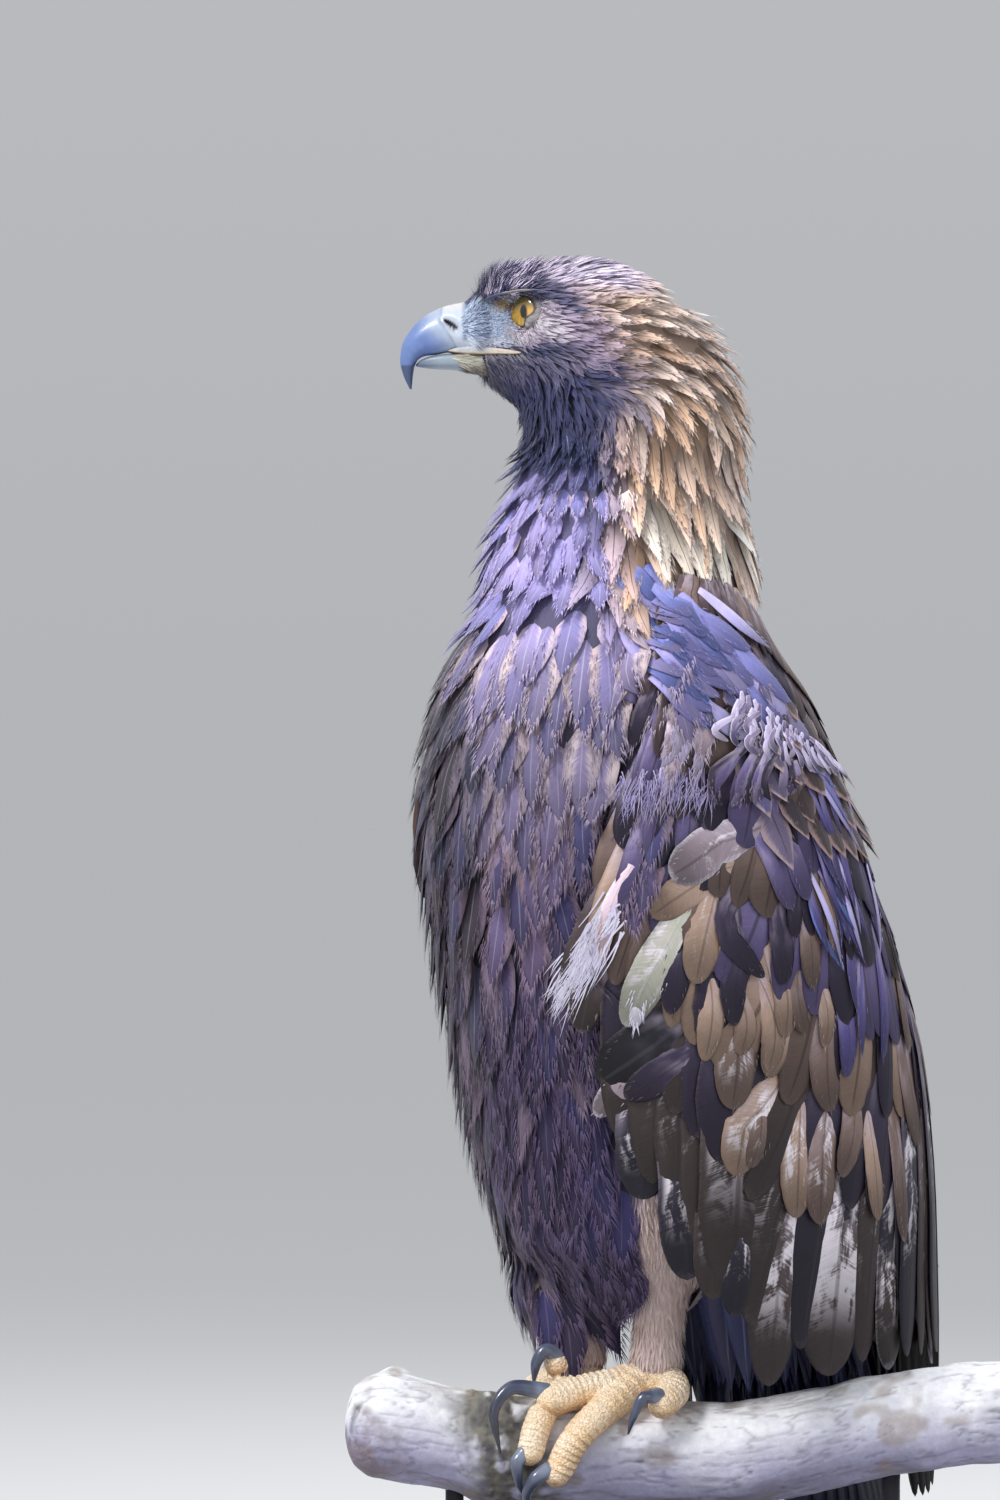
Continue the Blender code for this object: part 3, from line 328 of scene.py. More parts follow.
def studio():
    scene = bpy.context.scene
    target = place(-0.055, 0.35475, 0.0) + OFFSET
    distance = 5.0
    camera = bpy.data.objects.new("camera", bpy.data.cameras.new("camera"))
    scene.collection.objects.link(camera)
    camera.data.sensor_width, camera.data.lens = 36.0, 36.0 * distance / 0.825
    camera.location = target + ACROSS * distance
    camera.rotation_mode = "QUATERNION"
    camera.rotation_quaternion = look(target + ACROSS * distance, target)
    camera.data.clip_start, camera.data.clip_end = 0.1, 60
    scene.camera = camera

    def area(name, at, aim, size, power, colour):
        lamp = bpy.data.objects.new(name, bpy.data.lights.new(name, "AREA"))
        scene.collection.objects.link(lamp)
        lamp.data.size, lamp.data.energy, lamp.data.color = size, power, colour
        lamp.location = at
        lamp.rotation_mode = "QUATERNION"
        lamp.rotation_quaternion = look(np.asarray(at, float), np.asarray(aim, float))
        return lamp

    middle = place(0.0, 0.30, 0.0) + OFFSET
    area("key", middle + ACROSS * 1.3 - ALONG * 1.5 + UP * 1.9, middle, 0.6, 58, (1.0, 0.985, 0.97))
    area("fill", middle + ACROSS * 1.6 + ALONG * 1.7 + UP * 0.6, middle, 1.4, 7, (0.90, 0.94, 1.0))
    area("rim", middle - ACROSS * 1.5 + ALONG * 0.7 + UP * 1.5, middle, 1.2, 22, (0.95, 0.97, 1.0))
    area("low", middle + ACROSS * 1.5 - ALONG * 0.8 - UP * 0.25, middle, 1.0, 3, (0.92, 0.95, 1.0))

    world = bpy.data.worlds.new("world")
    scene.world = world
    world.use_nodes = True
    # an overcast sky: paler overhead, and at the horizon the same grey as the far floor
    sky, wires = world.node_tree.nodes, world.node_tree.links
    way, height, blend = sky.new("ShaderNodeTexCoord"), sky.new("ShaderNodeSeparateXYZ"), sky.new("ShaderNodeMapRange")
    shade = sky.new("ShaderNodeMix")
    shade.data_type = "RGBA"
    for entry in shade.inputs:
        if entry.type == "RGBA":
            entry.default_value = (0.448, 0.459, 0.480, 1) if entry.name == "A" else (0.86, 0.88, 0.92, 1)
    wires.new(way.outputs["Generated"], height.inputs["Vector"])
    wires.new(height.outputs["Z"], blend.inputs["Value"])
    wires.new(blend.outputs["Result"], shade.inputs["Factor"])
    wires.new([o for o in shade.outputs if o.type == "RGBA"][0], sky["Background"].inputs["Color"])
    sky["Background"].inputs["Strength"].default_value = 1.0

    ground = bpy.data.meshes.new("floor")
    ground.from_pydata([(-80, -80, 0), (80, -80, 0), (80, 80, 0), (-80, 80, 0)], [], [(0, 1, 2, 3)])
    floor = bpy.data.objects.new("floor", ground)
    scene.collection.objects.link(floor)
    paper = bpy.data.materials.new("floor_paper")
    paper.use_nodes = True
    shader = paper.node_tree.nodes["Principled BSDF"]
    shader.inputs["Base Color"].default_value = (0.62, 0.62, 0.62, 1)
    shader.inputs["Roughness"].default_value = 1.0
    shader.inputs["Specular IOR Level"].default_value = 0.0
    ground.materials.append(paper)
    floor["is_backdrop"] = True
    scene.view_settings.view_transform = "Standard"
    scene.view_settings.look = "None"
    scene.view_settings.exposure = 0.0


studio()


# ------------------------------------------------------------------ materials
class Tree:
    """Short calls for building a node material."""

    def __init__(self, name, roughness=0.6, **sockets):
        self.material = bpy.data.materials.new(name)
        self.material.use_nodes = True
        self.nodes, self.links = self.material.node_tree.nodes, self.material.node_tree.links
        self.shader = self.nodes["Principled BSDF"]
        self.shader.inputs["Roughness"].default_value = roughness
        for key, value in sockets.items():
            self.shader.inputs[key.replace("_", " ")].default_value = value

    def put(self, kind, **settings):
        node = self.nodes.new(kind)
        for key, value in settings.items():
            setattr(node, key, value)
        return node

    def feed(self, socket, value):
        if isinstance(value, bpy.types.NodeSocket):
            self.links.new(value, socket)
        elif value is not None:
            socket.default_value = value

    def math(self, operation, a, b=None, c=None, clamp=False):
        node = self.put("ShaderNodeMath", operation=operation, use_clamp=clamp)
        for socket, value in zip(node.inputs, (a, b, c)):
            self.feed(socket, value)
        return node.outputs[0]

    def ramp(self, value, low, high, to_low=0.0, to_high=1.0):
        node = self.put("ShaderNodeMapRange", interpolation_type="SMOOTHSTEP")
        for key, v in (("Value", value), ("From Min", low), ("From Max", high), ("To Min", to_low), ("To Max", to_high)):
            self.feed(node.inputs[key], v)
        return node.outputs["Result"]

    def mix(self, factor, a, b, blend="MIX"):
        node = self.put("ShaderNodeMix", data_type="RGBA", blend_type=blend)
        self.feed(node.inputs[0], factor)
        self.feed(node.inputs[6], (*a, 1) if isinstance(a, tuple) and len(a) == 3 else a)
        self.feed(node.inputs[7], (*b, 1) if isinstance(b, tuple) and len(b) == 3 else b)
        return node.outputs[2]

    def attribute(self, name):
        return self.put("ShaderNodeAttribute", attribute_name=name)

    def object_point(self):
        return self.put("ShaderNodeTexCoord").outputs["Object"]

    def scaled(self, vector, scale):
        node = self.put("ShaderNodeVectorMath", operation="MULTIPLY")
        self.feed(node.inputs[0], vector)
        node.inputs[1].default_value = scale
        return node.outputs[0]

    def combine(self, x, y, z):
        node = self.put("ShaderNodeCombineXYZ")
        for socket, value in zip(node.inputs, (x, y, z)):
            self.feed(socket, value)
        return node.outputs[0]

    def split(self, vector):
        node = self.put("ShaderNodeSeparateXYZ")
        self.feed(node.inputs[0], vector)
        return node.outputs

    def noise(self, vector, scale, detail=3.0, roughness=0.55, distortion=0.0):
        node = self.put("ShaderNodeTexNoise")
        self.feed(node.inputs["Vector"], vector)
        for key, value in (("Scale", scale), ("Detail", detail), ("Roughness", roughness), ("Distortion", distortion)):
            node.inputs[key].default_value = value
        return node.outputs["Fac"]

    def cells(self, vector, scale, feature="F1"):
        node = self.put("ShaderNodeTexVoronoi", feature=feature)
        self.feed(node.inputs["Vector"], vector)
        node.inputs["Scale"].default_value = scale
        return node.outputs["Distance"]

    def bump(self, height, strength=0.3, distance=0.001):
        node = self.put("ShaderNodeBump")
        node.inputs["Strength"].default_value = strength
        node.inputs["Distance"].default_value = distance
        self.feed(node.inputs["Height"], height)
        self.links.new(node.outputs["Normal"], self.shader.inputs["Normal"])

    def colour(self, value):
        self.feed(self.shader.inputs["Base Color"], value)
        return self.material


def feather_material(name, roughness=0.52, barb=0.30, sheen=0.25, pale_tip=True, line_width=1.0, tone=None, patch=0.0):
    """tint: vane colour; rim: edge colour, alpha = how far it spreads in; vane: across -1..1, along 0..1, length; mark: marbling, random, shaft shade."""
    t = Tree(name, roughness=roughness, Sheen_Weight=sheen, Sheen_Roughness=0.45)
    t.shader.inputs["Specular IOR Level"].default_value = 0.20
    tint, rim = t.attribute("tint"), t.attribute("rim")
    across, along, length = t.split(t.attribute("vane").outputs["Vector"])
    marbling, chance, shaft = t.split(t.attribute("mark").outputs["Vector"])
    side = t.math("ABSOLUTE", across)
    # barbs run out and forward from the shaft
    barb_way = t.math("SUBTRACT", t.math("MULTIPLY", along, t.math("MULTIPLY", length, 1000.0)), t.math("MULTIPLY", side, 6.0))
    streak = t.noise(t.combine(t.math("MULTIPLY", barb_way, 0.95), t.math("MULTIPLY", across, 1.2), t.math("MULTIPLY", chance, 40.0)), 1.0, 3.0, 0.62)
    soft = t.noise(t.combine(t.math("MULTIPLY", across, 1.3), t.math("MULTIPLY", along, 3.0), t.math("MULTIPLY", chance, 90.0)), 1.0, 2.0)
    # rim colour towards the edges and the tip
    if pale_tip:
        reach = t.math("MAXIMUM", side, t.ramp(along, 0.80, 1.0))
    else:
        # dark spear tips: the pale edge belongs to the lower and middle part of the vane
        reach = t.math("SUBTRACT", t.math("ADD", side, t.ramp(along, 0.75, 0.30, 0.0, 0.30)), t.ramp(along, 0.62, 0.95, 0.0, 0.75))
    ragged = t.math("ADD", reach, t.math("MULTIPLY", t.math("SUBTRACT", streak, 0.5), 0.34 if pale_tip else 0.62))
    spread = rim.outputs["Alpha"]
    edge = t.ramp(ragged, t.math("SUBTRACT", 1.02, spread), t.math("ADD", t.math("SUBTRACT", 1.02, spread), 0.38))
    body = t.mix(edge, tint.outputs["Color"], rim.outputs["Color"])
    if patch:
        # painted sheen: a soft paler highlight over the lower half of the vane
        painted_sheen = t.math("MULTIPLY", t.ramp(along, 0.05, 0.72, patch, 0.0), t.ramp(soft, 0.36, 0.66))
        body = t.mix(painted_sheen, body, (0.34, 0.29, 0.36))
    # pale marbling with dark flames along the vane
    flame = t.noise(t.combine(t.math("MULTIPLY", across, 1.7), t.math("MULTIPLY", along, t.math("MULTIPLY", length, 46.0)), t.math("MULTIPLY", chance, 30.0)), 1.0, 4.0, 0.62, 0.9)
    flame = t.math("ADD", flame, t.math("MULTIPLY", t.math("SUBTRACT", streak, 0.5), 0.35))
    where = t.math("MULTIPLY", t.ramp(along, 0.12, 0.34), t.ramp(along, 0.62, 0.86, 1.0, 0.0))
    where = t.math("MULTIPLY", where, t.ramp(side, 0.62, 0.92, 1.0, 0.0))
    pale = t.math("MULTIPLY", t.ramp(flame, t.math("SUBTRACT", 0.64, t.math("MULTIPLY", marbling, 0.30)), t.math("SUBTRACT", 0.80, t.math("MULTIPLY", marbling, 0.30))), t.math("MULTIPLY", where, t.math("MINIMUM", t.math("MULTIPLY", marbling, 3.0), 1.0)))
    body = t.mix(t.math("MULTIPLY", pale, 0.92), body, (0.54, 0.50, 0.54))
    # streaks and soft blotches in value
    value = t.math("ADD", 0.60, t.math("ADD", t.math("MULTIPLY", streak, 0.50), t.math("MULTIPLY", soft, 0.34)))
    # vanes run from a paler base to a darker tip, and darken at the very edge
    if tone:
        value = t.math("MULTIPLY", value, t.ramp(along, 0.25, 0.92, tone[0], tone[1]))
        value = t.math("MULTIPLY", value, t.ramp(side, 0.80, 1.0, 1.0, 0.80))
    body = t.mix(1.0, body, t.combine(value, value, value), "MULTIPLY")
    # shaft: dark under 0.5, pale over it
    line = t.math("MULTIPLY", t.ramp(side, 0.035 * line_width, 0.10 * line_width, 1.0, 0.0), t.ramp(along, 0.90, 0.99, 1.0, 0.0))
    shade = t.mix(t.ramp(shaft, 0.3, 0.7), (0.025, 0.018, 0.020), (0.60, 0.58, 0.74))
    power = t.math("MULTIPLY", line, t.math("ABSOLUTE", t.math("MULTIPLY", t.math("SUBTRACT", shaft, 0.5), 1.5)), clamp=True)
    body = t.mix(power, body, shade)
    ridge = t.math("ADD", t.math("MULTIPLY", streak, 1.0), t.math("MULTIPLY", line, 0.8))
    t.bump(ridge, barb, 0.0007)
    return t.colour(body)


MAT = {
    "plume": feather_material("plumage", 0.56, 0.34, 0.18, pale_tip=False, line_width=0.7, tone=(1.30, 0.66)),
    "hackle": feather_material("hackles", 0.50, 0.34, 0.18, line_width=0.8),
    "gold": feather_material("golden_hackles", 0.50, 0.34, 0.18, line_width=0.8, tone=(0.34, 1.22)),
    # flight vanes: patch sets the strength of the painted sheen over their lower half
    "flight": feather_material("flight_vanes", 0.42, 0.26, 0.0, tone=(1.60, 0.55), patch=0.55),
    "down": feather_material("hair_plumage", 0.72, 0.15, 0.35),
}


def skin_material():
    t = Tree("skin", roughness=0.68)
    point = t.object_point()
    fine = t.noise(point, 900.0, 4.0, 0.65)
    grain = t.cells(point, 1100.0)
    value = t.math("ADD", 0.70, t.math("MULTIPLY", fine, 0.6))
    body = t.mix(1.0, t.attribute("tint").outputs["Color"], t.combine(value, value, value), "MULTIPLY")
    t.bump(t.math("ADD", fine, t.math("MULTIPLY", grain, 0.5)), 0.45, 0.0008)
    return t.colour(body)


MAT["skin"] = skin_material()


# ------------------------------------------------------------------ markings, shared by skin and coat
# name: (centre colour, edge colour)
# painted sheen: the blue and violet colours here carry the plumage's bluish sheen on top of its own colour
C = {
    "crown": (.92, .80, .95), "crown_dark": (.20, .185, .33), "brow": (.06, .07, .155), "lore": (.25, .33, .48), "cheek": (.40, .32, .43), "cheek_dark": (.045, .055, .12),
    "ear": (.38, .27, .38), "chin": (.13, .10, .085), "throat": (.050, .065, .19), "gold": (.72, .47, .32), "gold_pale": (.86, .72, .66), "nape_brown": (.15, .10, .10), "nape_pale": (.64, .58, .66),
    "neck_blue": (.19, .19, .46), "neck_violet": (.30, .25, .46), "cream": (.72, .60, .56), "tan": (.50, .36, .30),
    "breast": (.17, .15, .32), "breast_dark": (.085, .085, .19), "breast_violet": (.30, .24, .42), "belly": (.080, .066, .160), "belly_dark": (.045, .038, .098), "belly_rim": (.17, .14, .27),
    "blue": (.25, .25, .60), "blue_deep": (.10, .145, .42), "violet": (.42, .38, .66), "mantle": (.085, .056, .062), "mantle_rim": (.33, .22, .21),
    "covert_dark": (.030, .023, .045), "covert": (.155, .106, .090), "covert_tan": (.29, .200, .152), "covert_violet": (.105, .083, .185), "covert_rim": (.24, .17, .155), "purple": (.085, .07, .21),
    "second": (.052, .038, .038), "second_dark": (.022, .019, .032), "second_rim": (.16, .125, .13), "primary": (.022, .018, .028), "grey": (.24, .19, .22), "white": (.66, .64, .72), "green": (.36, .36, .30),
    "tail": (.040, .038, .075), "tail_blue": (.050, .062, .16), "tarsus": (.60, .48, .46), "down": (.40, .35, .48), "shoulder": (.225, .215, .50), "shoulder_b": (.30, .27, .53), "shoulder_c": (.13, .155, .40), "fan": (.20, .16, .27), "crest": (.50, .44, .62), "black": (.012, .011, .016), "grey_down": (.12, .10, .12), "pink": (.52, .40, .46),
}
C = {k: np.array(v) for k, v in C.items()}


def head_frame(p):
    """Along, height and signed distance from the head's mid-plane."""
    return p @ ALONG, p[..., 2], p @ ACROSS - HEAD_MID


def areas(p):
    """Weights of the plumage regions at points p, in design coordinates."""
    s, z, a = head_frame(p)
    x, y = p[..., 0], p[..., 1]
    w = {}
    head = smooth(.520, .548, z + 0.25 * (s + .02) * (s > 0))
    w["head"] = head
    w["crown"] = head * smooth(.603, .612, z + 0.10 * s)
    # throat: under the bill and forward of the ear
    w["throat"] = smooth(.575, .563, z) * smooth(.500, .520, z) * smooth(.020, -.010, s)
    # golden nape and hackles: behind and to the sides, down to the mantle
    back = smooth(-.004, .020, s + 0.50 * (z - .560) * (z > .560))
    w["nape"] = back * smooth(.425, .455, z) * (1 - w["crown"] * smooth(.03, 0, s))
    w["mantle"] = smooth(.452, .425, z) * smooth(.01, .05, y)
    low_leg = smooth(.070, .058, z) * (1 - smooth(.055, .075, y))
    shin = smooth(.014, .024, s) * smooth(.128, .112, z) * (p @ ACROSS > -.012) * (1 - smooth(.060, .080, y))
    w["leg"] = np.maximum(low_leg, shin)
    w["belly"] = smooth(.300, .220, z) * (1 - w["leg"])
    w["vent"] = smooth(.15, .11, z) * smooth(.050, .075, y)
    return w


def mix(a, b, t):
    t = np.asarray(t)[..., None]
    return a * (1 - t) + b * t


def markings(p, chance):
    """Centre and edge colours, and edge reach, of the plumage rooted at points p."""
    w = areas(p)
    s, z, a = head_frame(p)
    n1, n2 = vnoise(p, 38, 3), vnoise(p, 75, 5)
    q = chance * 2 - 1
    # body: slate violet centres, cream to tan edges high on the breast, darker lower down
    body = mix(C["breast"], C["breast_violet"], np.clip(.35 + .5 * n1 + .4 * q, 0, 1))
    body = mix(body, C["breast_dark"], np.clip(.18 - .7 * n2 - .5 * q * n1, 0, 1))
    rim = mix(C["cream"], C["tan"], np.clip(.5 - .5 * n2 - .35 * q, 0, 1))
    reach = .40 + .22 * n2 + .13 * smooth(.30, .36, z)
    low = w["belly"]
    body = mix(body, mix(C["belly"], C["belly_dark"], np.clip(.5 + .8 * n1, 0, 1)), low)
    rim = mix(rim, mix(C["belly_rim"], C["tan"], np.clip(.12 * smooth(.27, .2, z) + .3 * n1, 0, 1)), low)
    reach = reach * (1 - low) + .20 * low
    # neck front: blue and violet lances, pale shafts
    neck = smooth(.405, .450, z) * (1 - w["head"])
    blue = mix(C["neck_blue"], C["neck_violet"], np.clip(.5 + .7 * n1 + .35 * q, 0, 1))
    body = mix(body, blue, neck * .9)
    rim = mix(rim, C["neck_violet"] * 1.25, neck * np.clip(.75 + .5 * q, 0, 1))
    reach = reach * (1 - neck) + (.16 + .10 * (q > .3)) * neck
    # throat and head
    body = mix(body, mix(C["throat"], C["neck_blue"], np.clip(.25 + .5 * n2, 0, 1)), w["throat"])
    rim = mix(rim, mix(C["throat"] * 1.6, C["neck_blue"], .4), w["throat"])
    low_cheek = smooth(.5835, .5730, z - .10 * (s + .04)) * smooth(.000, -.020, s)
    cheek = mix(C["cheek"], C["cheek_dark"], np.clip(low_cheek + .30 * n2 + .12 * q, 0, 1))
    cheek = mix(cheek, C["ear"], smooth(-.035, .005, s) * smooth(.545, .565, z) * np.clip(.85 + .4 * n1, 0, 1))
    side = w["head"] * (1 - w["throat"]) * (1 - w["crown"])
    body = mix(body, cheek, side)
    rim = mix(rim, cheek * 1.35 + .02, side)
    crown = mix(C["crown"], C["crown_dark"], np.clip(.10 + 1.0 * n2 + .8 * (q > .55) + .62 * smooth(-.044, -.058, s), 0, 1))
    body = mix(body, crown, w["crown"])
    rim = mix(rim, mix(C["crown"], C["crown_dark"], np.clip(.5 + .9 * q, 0, 1)), w["crown"] * .8)
    # dark band over and behind the eye
    e = np.abs(a)
    line = smooth(.0075, .003, np.abs(z - .6090 + .12 * (s + .042) + .50 * np.clip(s + .036, 0, None))) * smooth(-.068, -.058, s) * smooth(-.012, -.020, s) * (e > .012)
    body, rim = mix(body, C["brow"], line * .9), mix(rim, C["brow"], line * .8)
    chin = smooth(-.058, -.066, s) * smooth(.5765, .5745, z)
    body, rim = mix(body, mix(C["chin"] * .6, C["cheek_dark"], np.clip(.6 + .6 * q, 0, 1)), chin), mix(rim, C["chin"] * 1.2, chin)
    lore = smooth(-.047, -.052, s) * smooth(.5760, .5785, z) * smooth(.608, .602, z)
    body, rim = mix(body, C["lore"], lore), mix(rim, C["lore"] * 1.2, lore)
    # pale streaks under and behind the eye
    along_, over_ = (s + .0345) * .80 - (z - .5895) * .60, (s + .0345) * .60 + (z - .5895) * .80
    behind = smooth(1.15, .55, np.hypot(along_ / .0155, over_ / .0070)) * (e > .012)
    body, rim = mix(body, np.array((.56, .51, .57)), behind * .85), mix(rim, np.array((.70, .64, .68)), behind * .8)
    # golden hackles with dark bases and pale tips
    gold = mix(C["gold"], C["gold_pale"], np.clip(.30 + .6 * n1 + .5 * q, 0, 1))
    gold = mix(gold, C["nape_brown"], np.clip(smooth(.505, .435, z) * (.55 + .7 * n2) - .25 * q, 0, .92))
    body = mix(body, gold, w["nape"])
    rim = mix(rim, mix(C["gold_pale"], C["nape_pale"], np.clip(.35 + .6 * q, 0, 1)), w["nape"])
    reach = reach * (1 - w["nape"]) + (.20 + .10 * q) * w["nape"]
    # mantle and vent
    body = mix(body, mix(C["mantle"], C["mantle"] * .5, np.clip(.4 + n1, 0, 1)), w["mantle"])
    rim = mix(rim, C["mantle_rim"], w["mantle"])
    body = mix(body, mix(C["tail_blue"], C["tail"], np.clip(.5 + n1, 0, 1)), w["vent"])
    rim = mix(rim, C["tail_blue"] * 1.9, w["vent"])
    reach = reach * (1 - w["vent"]) + .10 * w["vent"]
    buff = mix(C["tarsus"], C["tan"], np.clip(.2 + .5 * n2, 0, .6))
    body, rim = mix(body, buff, w["leg"]), mix(rim, C["tarsus"] * 1.15, w["leg"])
    # darker and warmer down the breast, brighter at the neck and nape
    gain = np.interp(z, [.05, .15, .25, .32, .37, .41, .45, .60], [.56, .49, .46, .46, .64, .84, 1.26, 1.26])
    free = 1 - np.clip(w["leg"] + w["mantle"] + w["vent"] + w["head"], 0, 1)
    low_ = free * smooth(.43, .38, z)
    rim = mix(rim, np.array((.35, .29, .46)), low_ * .45)
    body = mix(body, np.array((.46, .38, .46)), low_ * smooth(.84, .90, chance) * .55)
    body = mix(body, np.array((.085, .095, .30)), low_ * smooth(.22, .14, chance) * .55)
    gain = gain * free + (1 - free)
    gain = gain * (1 - .66 * w["throat"])
    shade = mix(np.array((1.0, 1.0, 1.0)), np.array((1.06, .92, 1.02)), smooth(.37, .30, z) * free) * gain[:, None]
    body, rim = body * shade, rim * shade
    return np.clip(body, .004, .9), np.clip(rim, .004, .9), np.clip(reach, .04, .7)


# ------------------------------------------------------------------ skin
def wing_lump(side, front, bottom):
    """The flesh of a folded wing, well under its feathers."""
    top = WING_TOP
    outer, inner = [], []
    us = np.linspace(0.03, 0.90, 22)
    for v in np.linspace(0.04, 0.66, 12):
        edge = float(spline(top, 0)[0]) * (1 - v) + float(spline(bottom, 0)[0]) * v
        begin = float(spline(front, edge)[0])
        z = spline(top, us)[..., 0] * (1 - v) + spline(bottom, us)[..., 0] * v
        ang = begin + (WING_END - begin) * us
        p, n = cloak(z, ang), cloak_normal(z, ang)
        thick = float(spline(WING_THICK, v)[0])
        flank = np.sin(np.minimum(us / .14, 1) * math.pi / 2)
        depth = (.0078 + .66 * thick * (1 - flank))[:, None]
        far = (np.maximum(thick + .006, .016) + 0 * us)[:, None]
        o, i = p - n * depth, p - n * np.maximum(far, depth + .006)
        for q in (o, i):
            q[:, 0] = np.maximum(q[:, 0], .001) * side
        outer.append(o)
        inner.append(i)
    outer, inner = np.array(outer), np.array(inner)
    rows, cols = outer.shape[:2]
    points = np.concatenate([outer.reshape(-1, 3), inner.reshape(-1, 3)])
    half = rows * cols
    quads = [grid_faces(rows, cols), grid_faces(rows, cols, start=half)[:, ::-1]]
    rim = [j for j in range(cols)] + [i * cols + cols - 1 for i in range(1, rows)] + [(rows - 1) * cols + j for j in range(cols - 2, -1, -1)] + [i * cols for i in range(rows - 2, 0, -1)]
    quads.append(np.array([(a, half + a, half + b, b) for a, b in zip(rim, rim[1:] + rim[:1])]))
    quads = np.concatenate(quads)
    tris = np.concatenate([quads[:, [0, 1, 2]], quads[:, [0, 2, 3]]])
    if side < 0:
        tris = tris[:, ::-1]
    return points, tris


def coat_depth(p):
    """How far the skin lies under the plumage's surface."""
    w = areas(p)
    s, z, a = head_frame(p)
    depth = np.full(len(p), .0085)
    depth = depth * (1 - w["nape"]) + .0085 * w["nape"]
    face = w["head"]
    depth = depth * (1 - face) + .0030 * face
    depth = depth * (1 - w["crown"]) + .0032 * w["crown"]
    near_bill = smooth(-.045, -.058, s) * (z > .54)
    depth = depth * (1 - near_bill) + .0017 * near_bill
    eye = smooth(.020, .011, np.hypot(s - EYE[0], z - EYE[1])) * (np.abs(a) > .012)
    depth = depth * (1 - eye) + .0006 * eye
    depth = depth * (1 - w["leg"]) + .0022 * w["leg"]
    return depth


def make_skin():
    parts = []
    for name in ("head", "neck", "trunk", "leg_left", "leg_right"):
        p, t = mesh_arrays(NODES[name])
        n = normals_of(p, t)
        parts.append((p + n * .0006, t))
    body = remeshed("skin_body", parts, .0028, 6)
    points, quads = body
    tris = np.concatenate([quads[:, [0, 1, 2]], quads[:, [0, 2, 3]]])
    n = normals_of(points, tris)
    tree = BVHTree.FromPolygons([Vector(p) for p in points], [tuple(t) for t in tris])
    depth = coat_depth(points)
    for i in range(len(points)):
        hit = tree.ray_cast(Vector(points[i] - n[i] * .0004), Vector(-n[i]), .06)
        if hit[0] is not None:
            depth[i] = min(depth[i], .32 * hit[3])
    inner = points - n * (depth + .0006)[:, None]
    second = [(inner, tris), wing_lump(1, LEFT_FRONT, LEFT_BOTTOM), wing_lump(-1, RIGHT_FRONT, RIGHT_BOTTOM)]
    points, quads = remeshed("skin_all", second, .00268, 5)
    skin = build("skin", points, quads)
    skin.data.materials.append(MAT["skin"])
    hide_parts("head", "neck", "trunk", "leg_left", "leg_right")
    tris = np.concatenate([quads[:, [0, 1, 2]], quads[:, [0, 2, 3]]])
    tint, rim, _ = markings(points, np.full(len(points), .5))
    w = areas(points)
    bare = np.clip(smooth(-.045, -.052, points @ ALONG) * (points[:, 2] > .578) * (points[:, 2] < .602) * .5 + w["leg"], 0, 1)
    tint = mix(tint * .42, tint, bare)
    paint(skin, "tint", tint)
    return skin, points, tris


skin, SKIN_P, SKIN_T = make_skin()
SKIN_N = normals_of(SKIN_P, SKIN_T)
SKIN_TREE = BVHTree.FromPolygons([Vector(p) for p in SKIN_P], [tuple(t) for t in SKIN_T])
log(f"skin {len(SKIN_T)} triangles")


# ------------------------------------------------------------------ feathers
def outline(kind, t):
    """Half width, as a share of the widest, along a vane: t from root 0 to tip 1."""
    if kind == "lance":
        return np.where(t < .42, .42 + .58 * np.sin(np.clip(t / .42, 0, 1) * math.pi / 2), np.clip(1 - ((t - .42) / .58) ** 1.55, 0, 1)) * (t < 1) + 0
    if kind == "point":
        return np.where(t < .50, .50 + .50 * np.sin(np.clip(t / .50, 0, 1) * math.pi / 2), np.clip(1 - ((t - .50) / .50) ** 1.9, 0, 1))
    if kind == "round":
        return np.where(t < .55, .55 + .45 * np.sin(np.clip(t / .55, 0, 1) * math.pi / 2), np.sqrt(np.clip(1 - ((t - .55) / .45) ** 2.4, 0, 1)))
    if kind == "flight":
        return np.where(t < .20, .30 + .70 * np.sin(np.clip(t / .20, 0, 1) * math.pi / 2), np.where(t < .70, 1.0, np.sqrt(np.clip(1 - ((t - .70) / .30) ** 2.1, 0, 1))))
    if kind == "hair":
        return np.clip(1 - t, 0, 1) ** .8
    raise ValueError(kind)


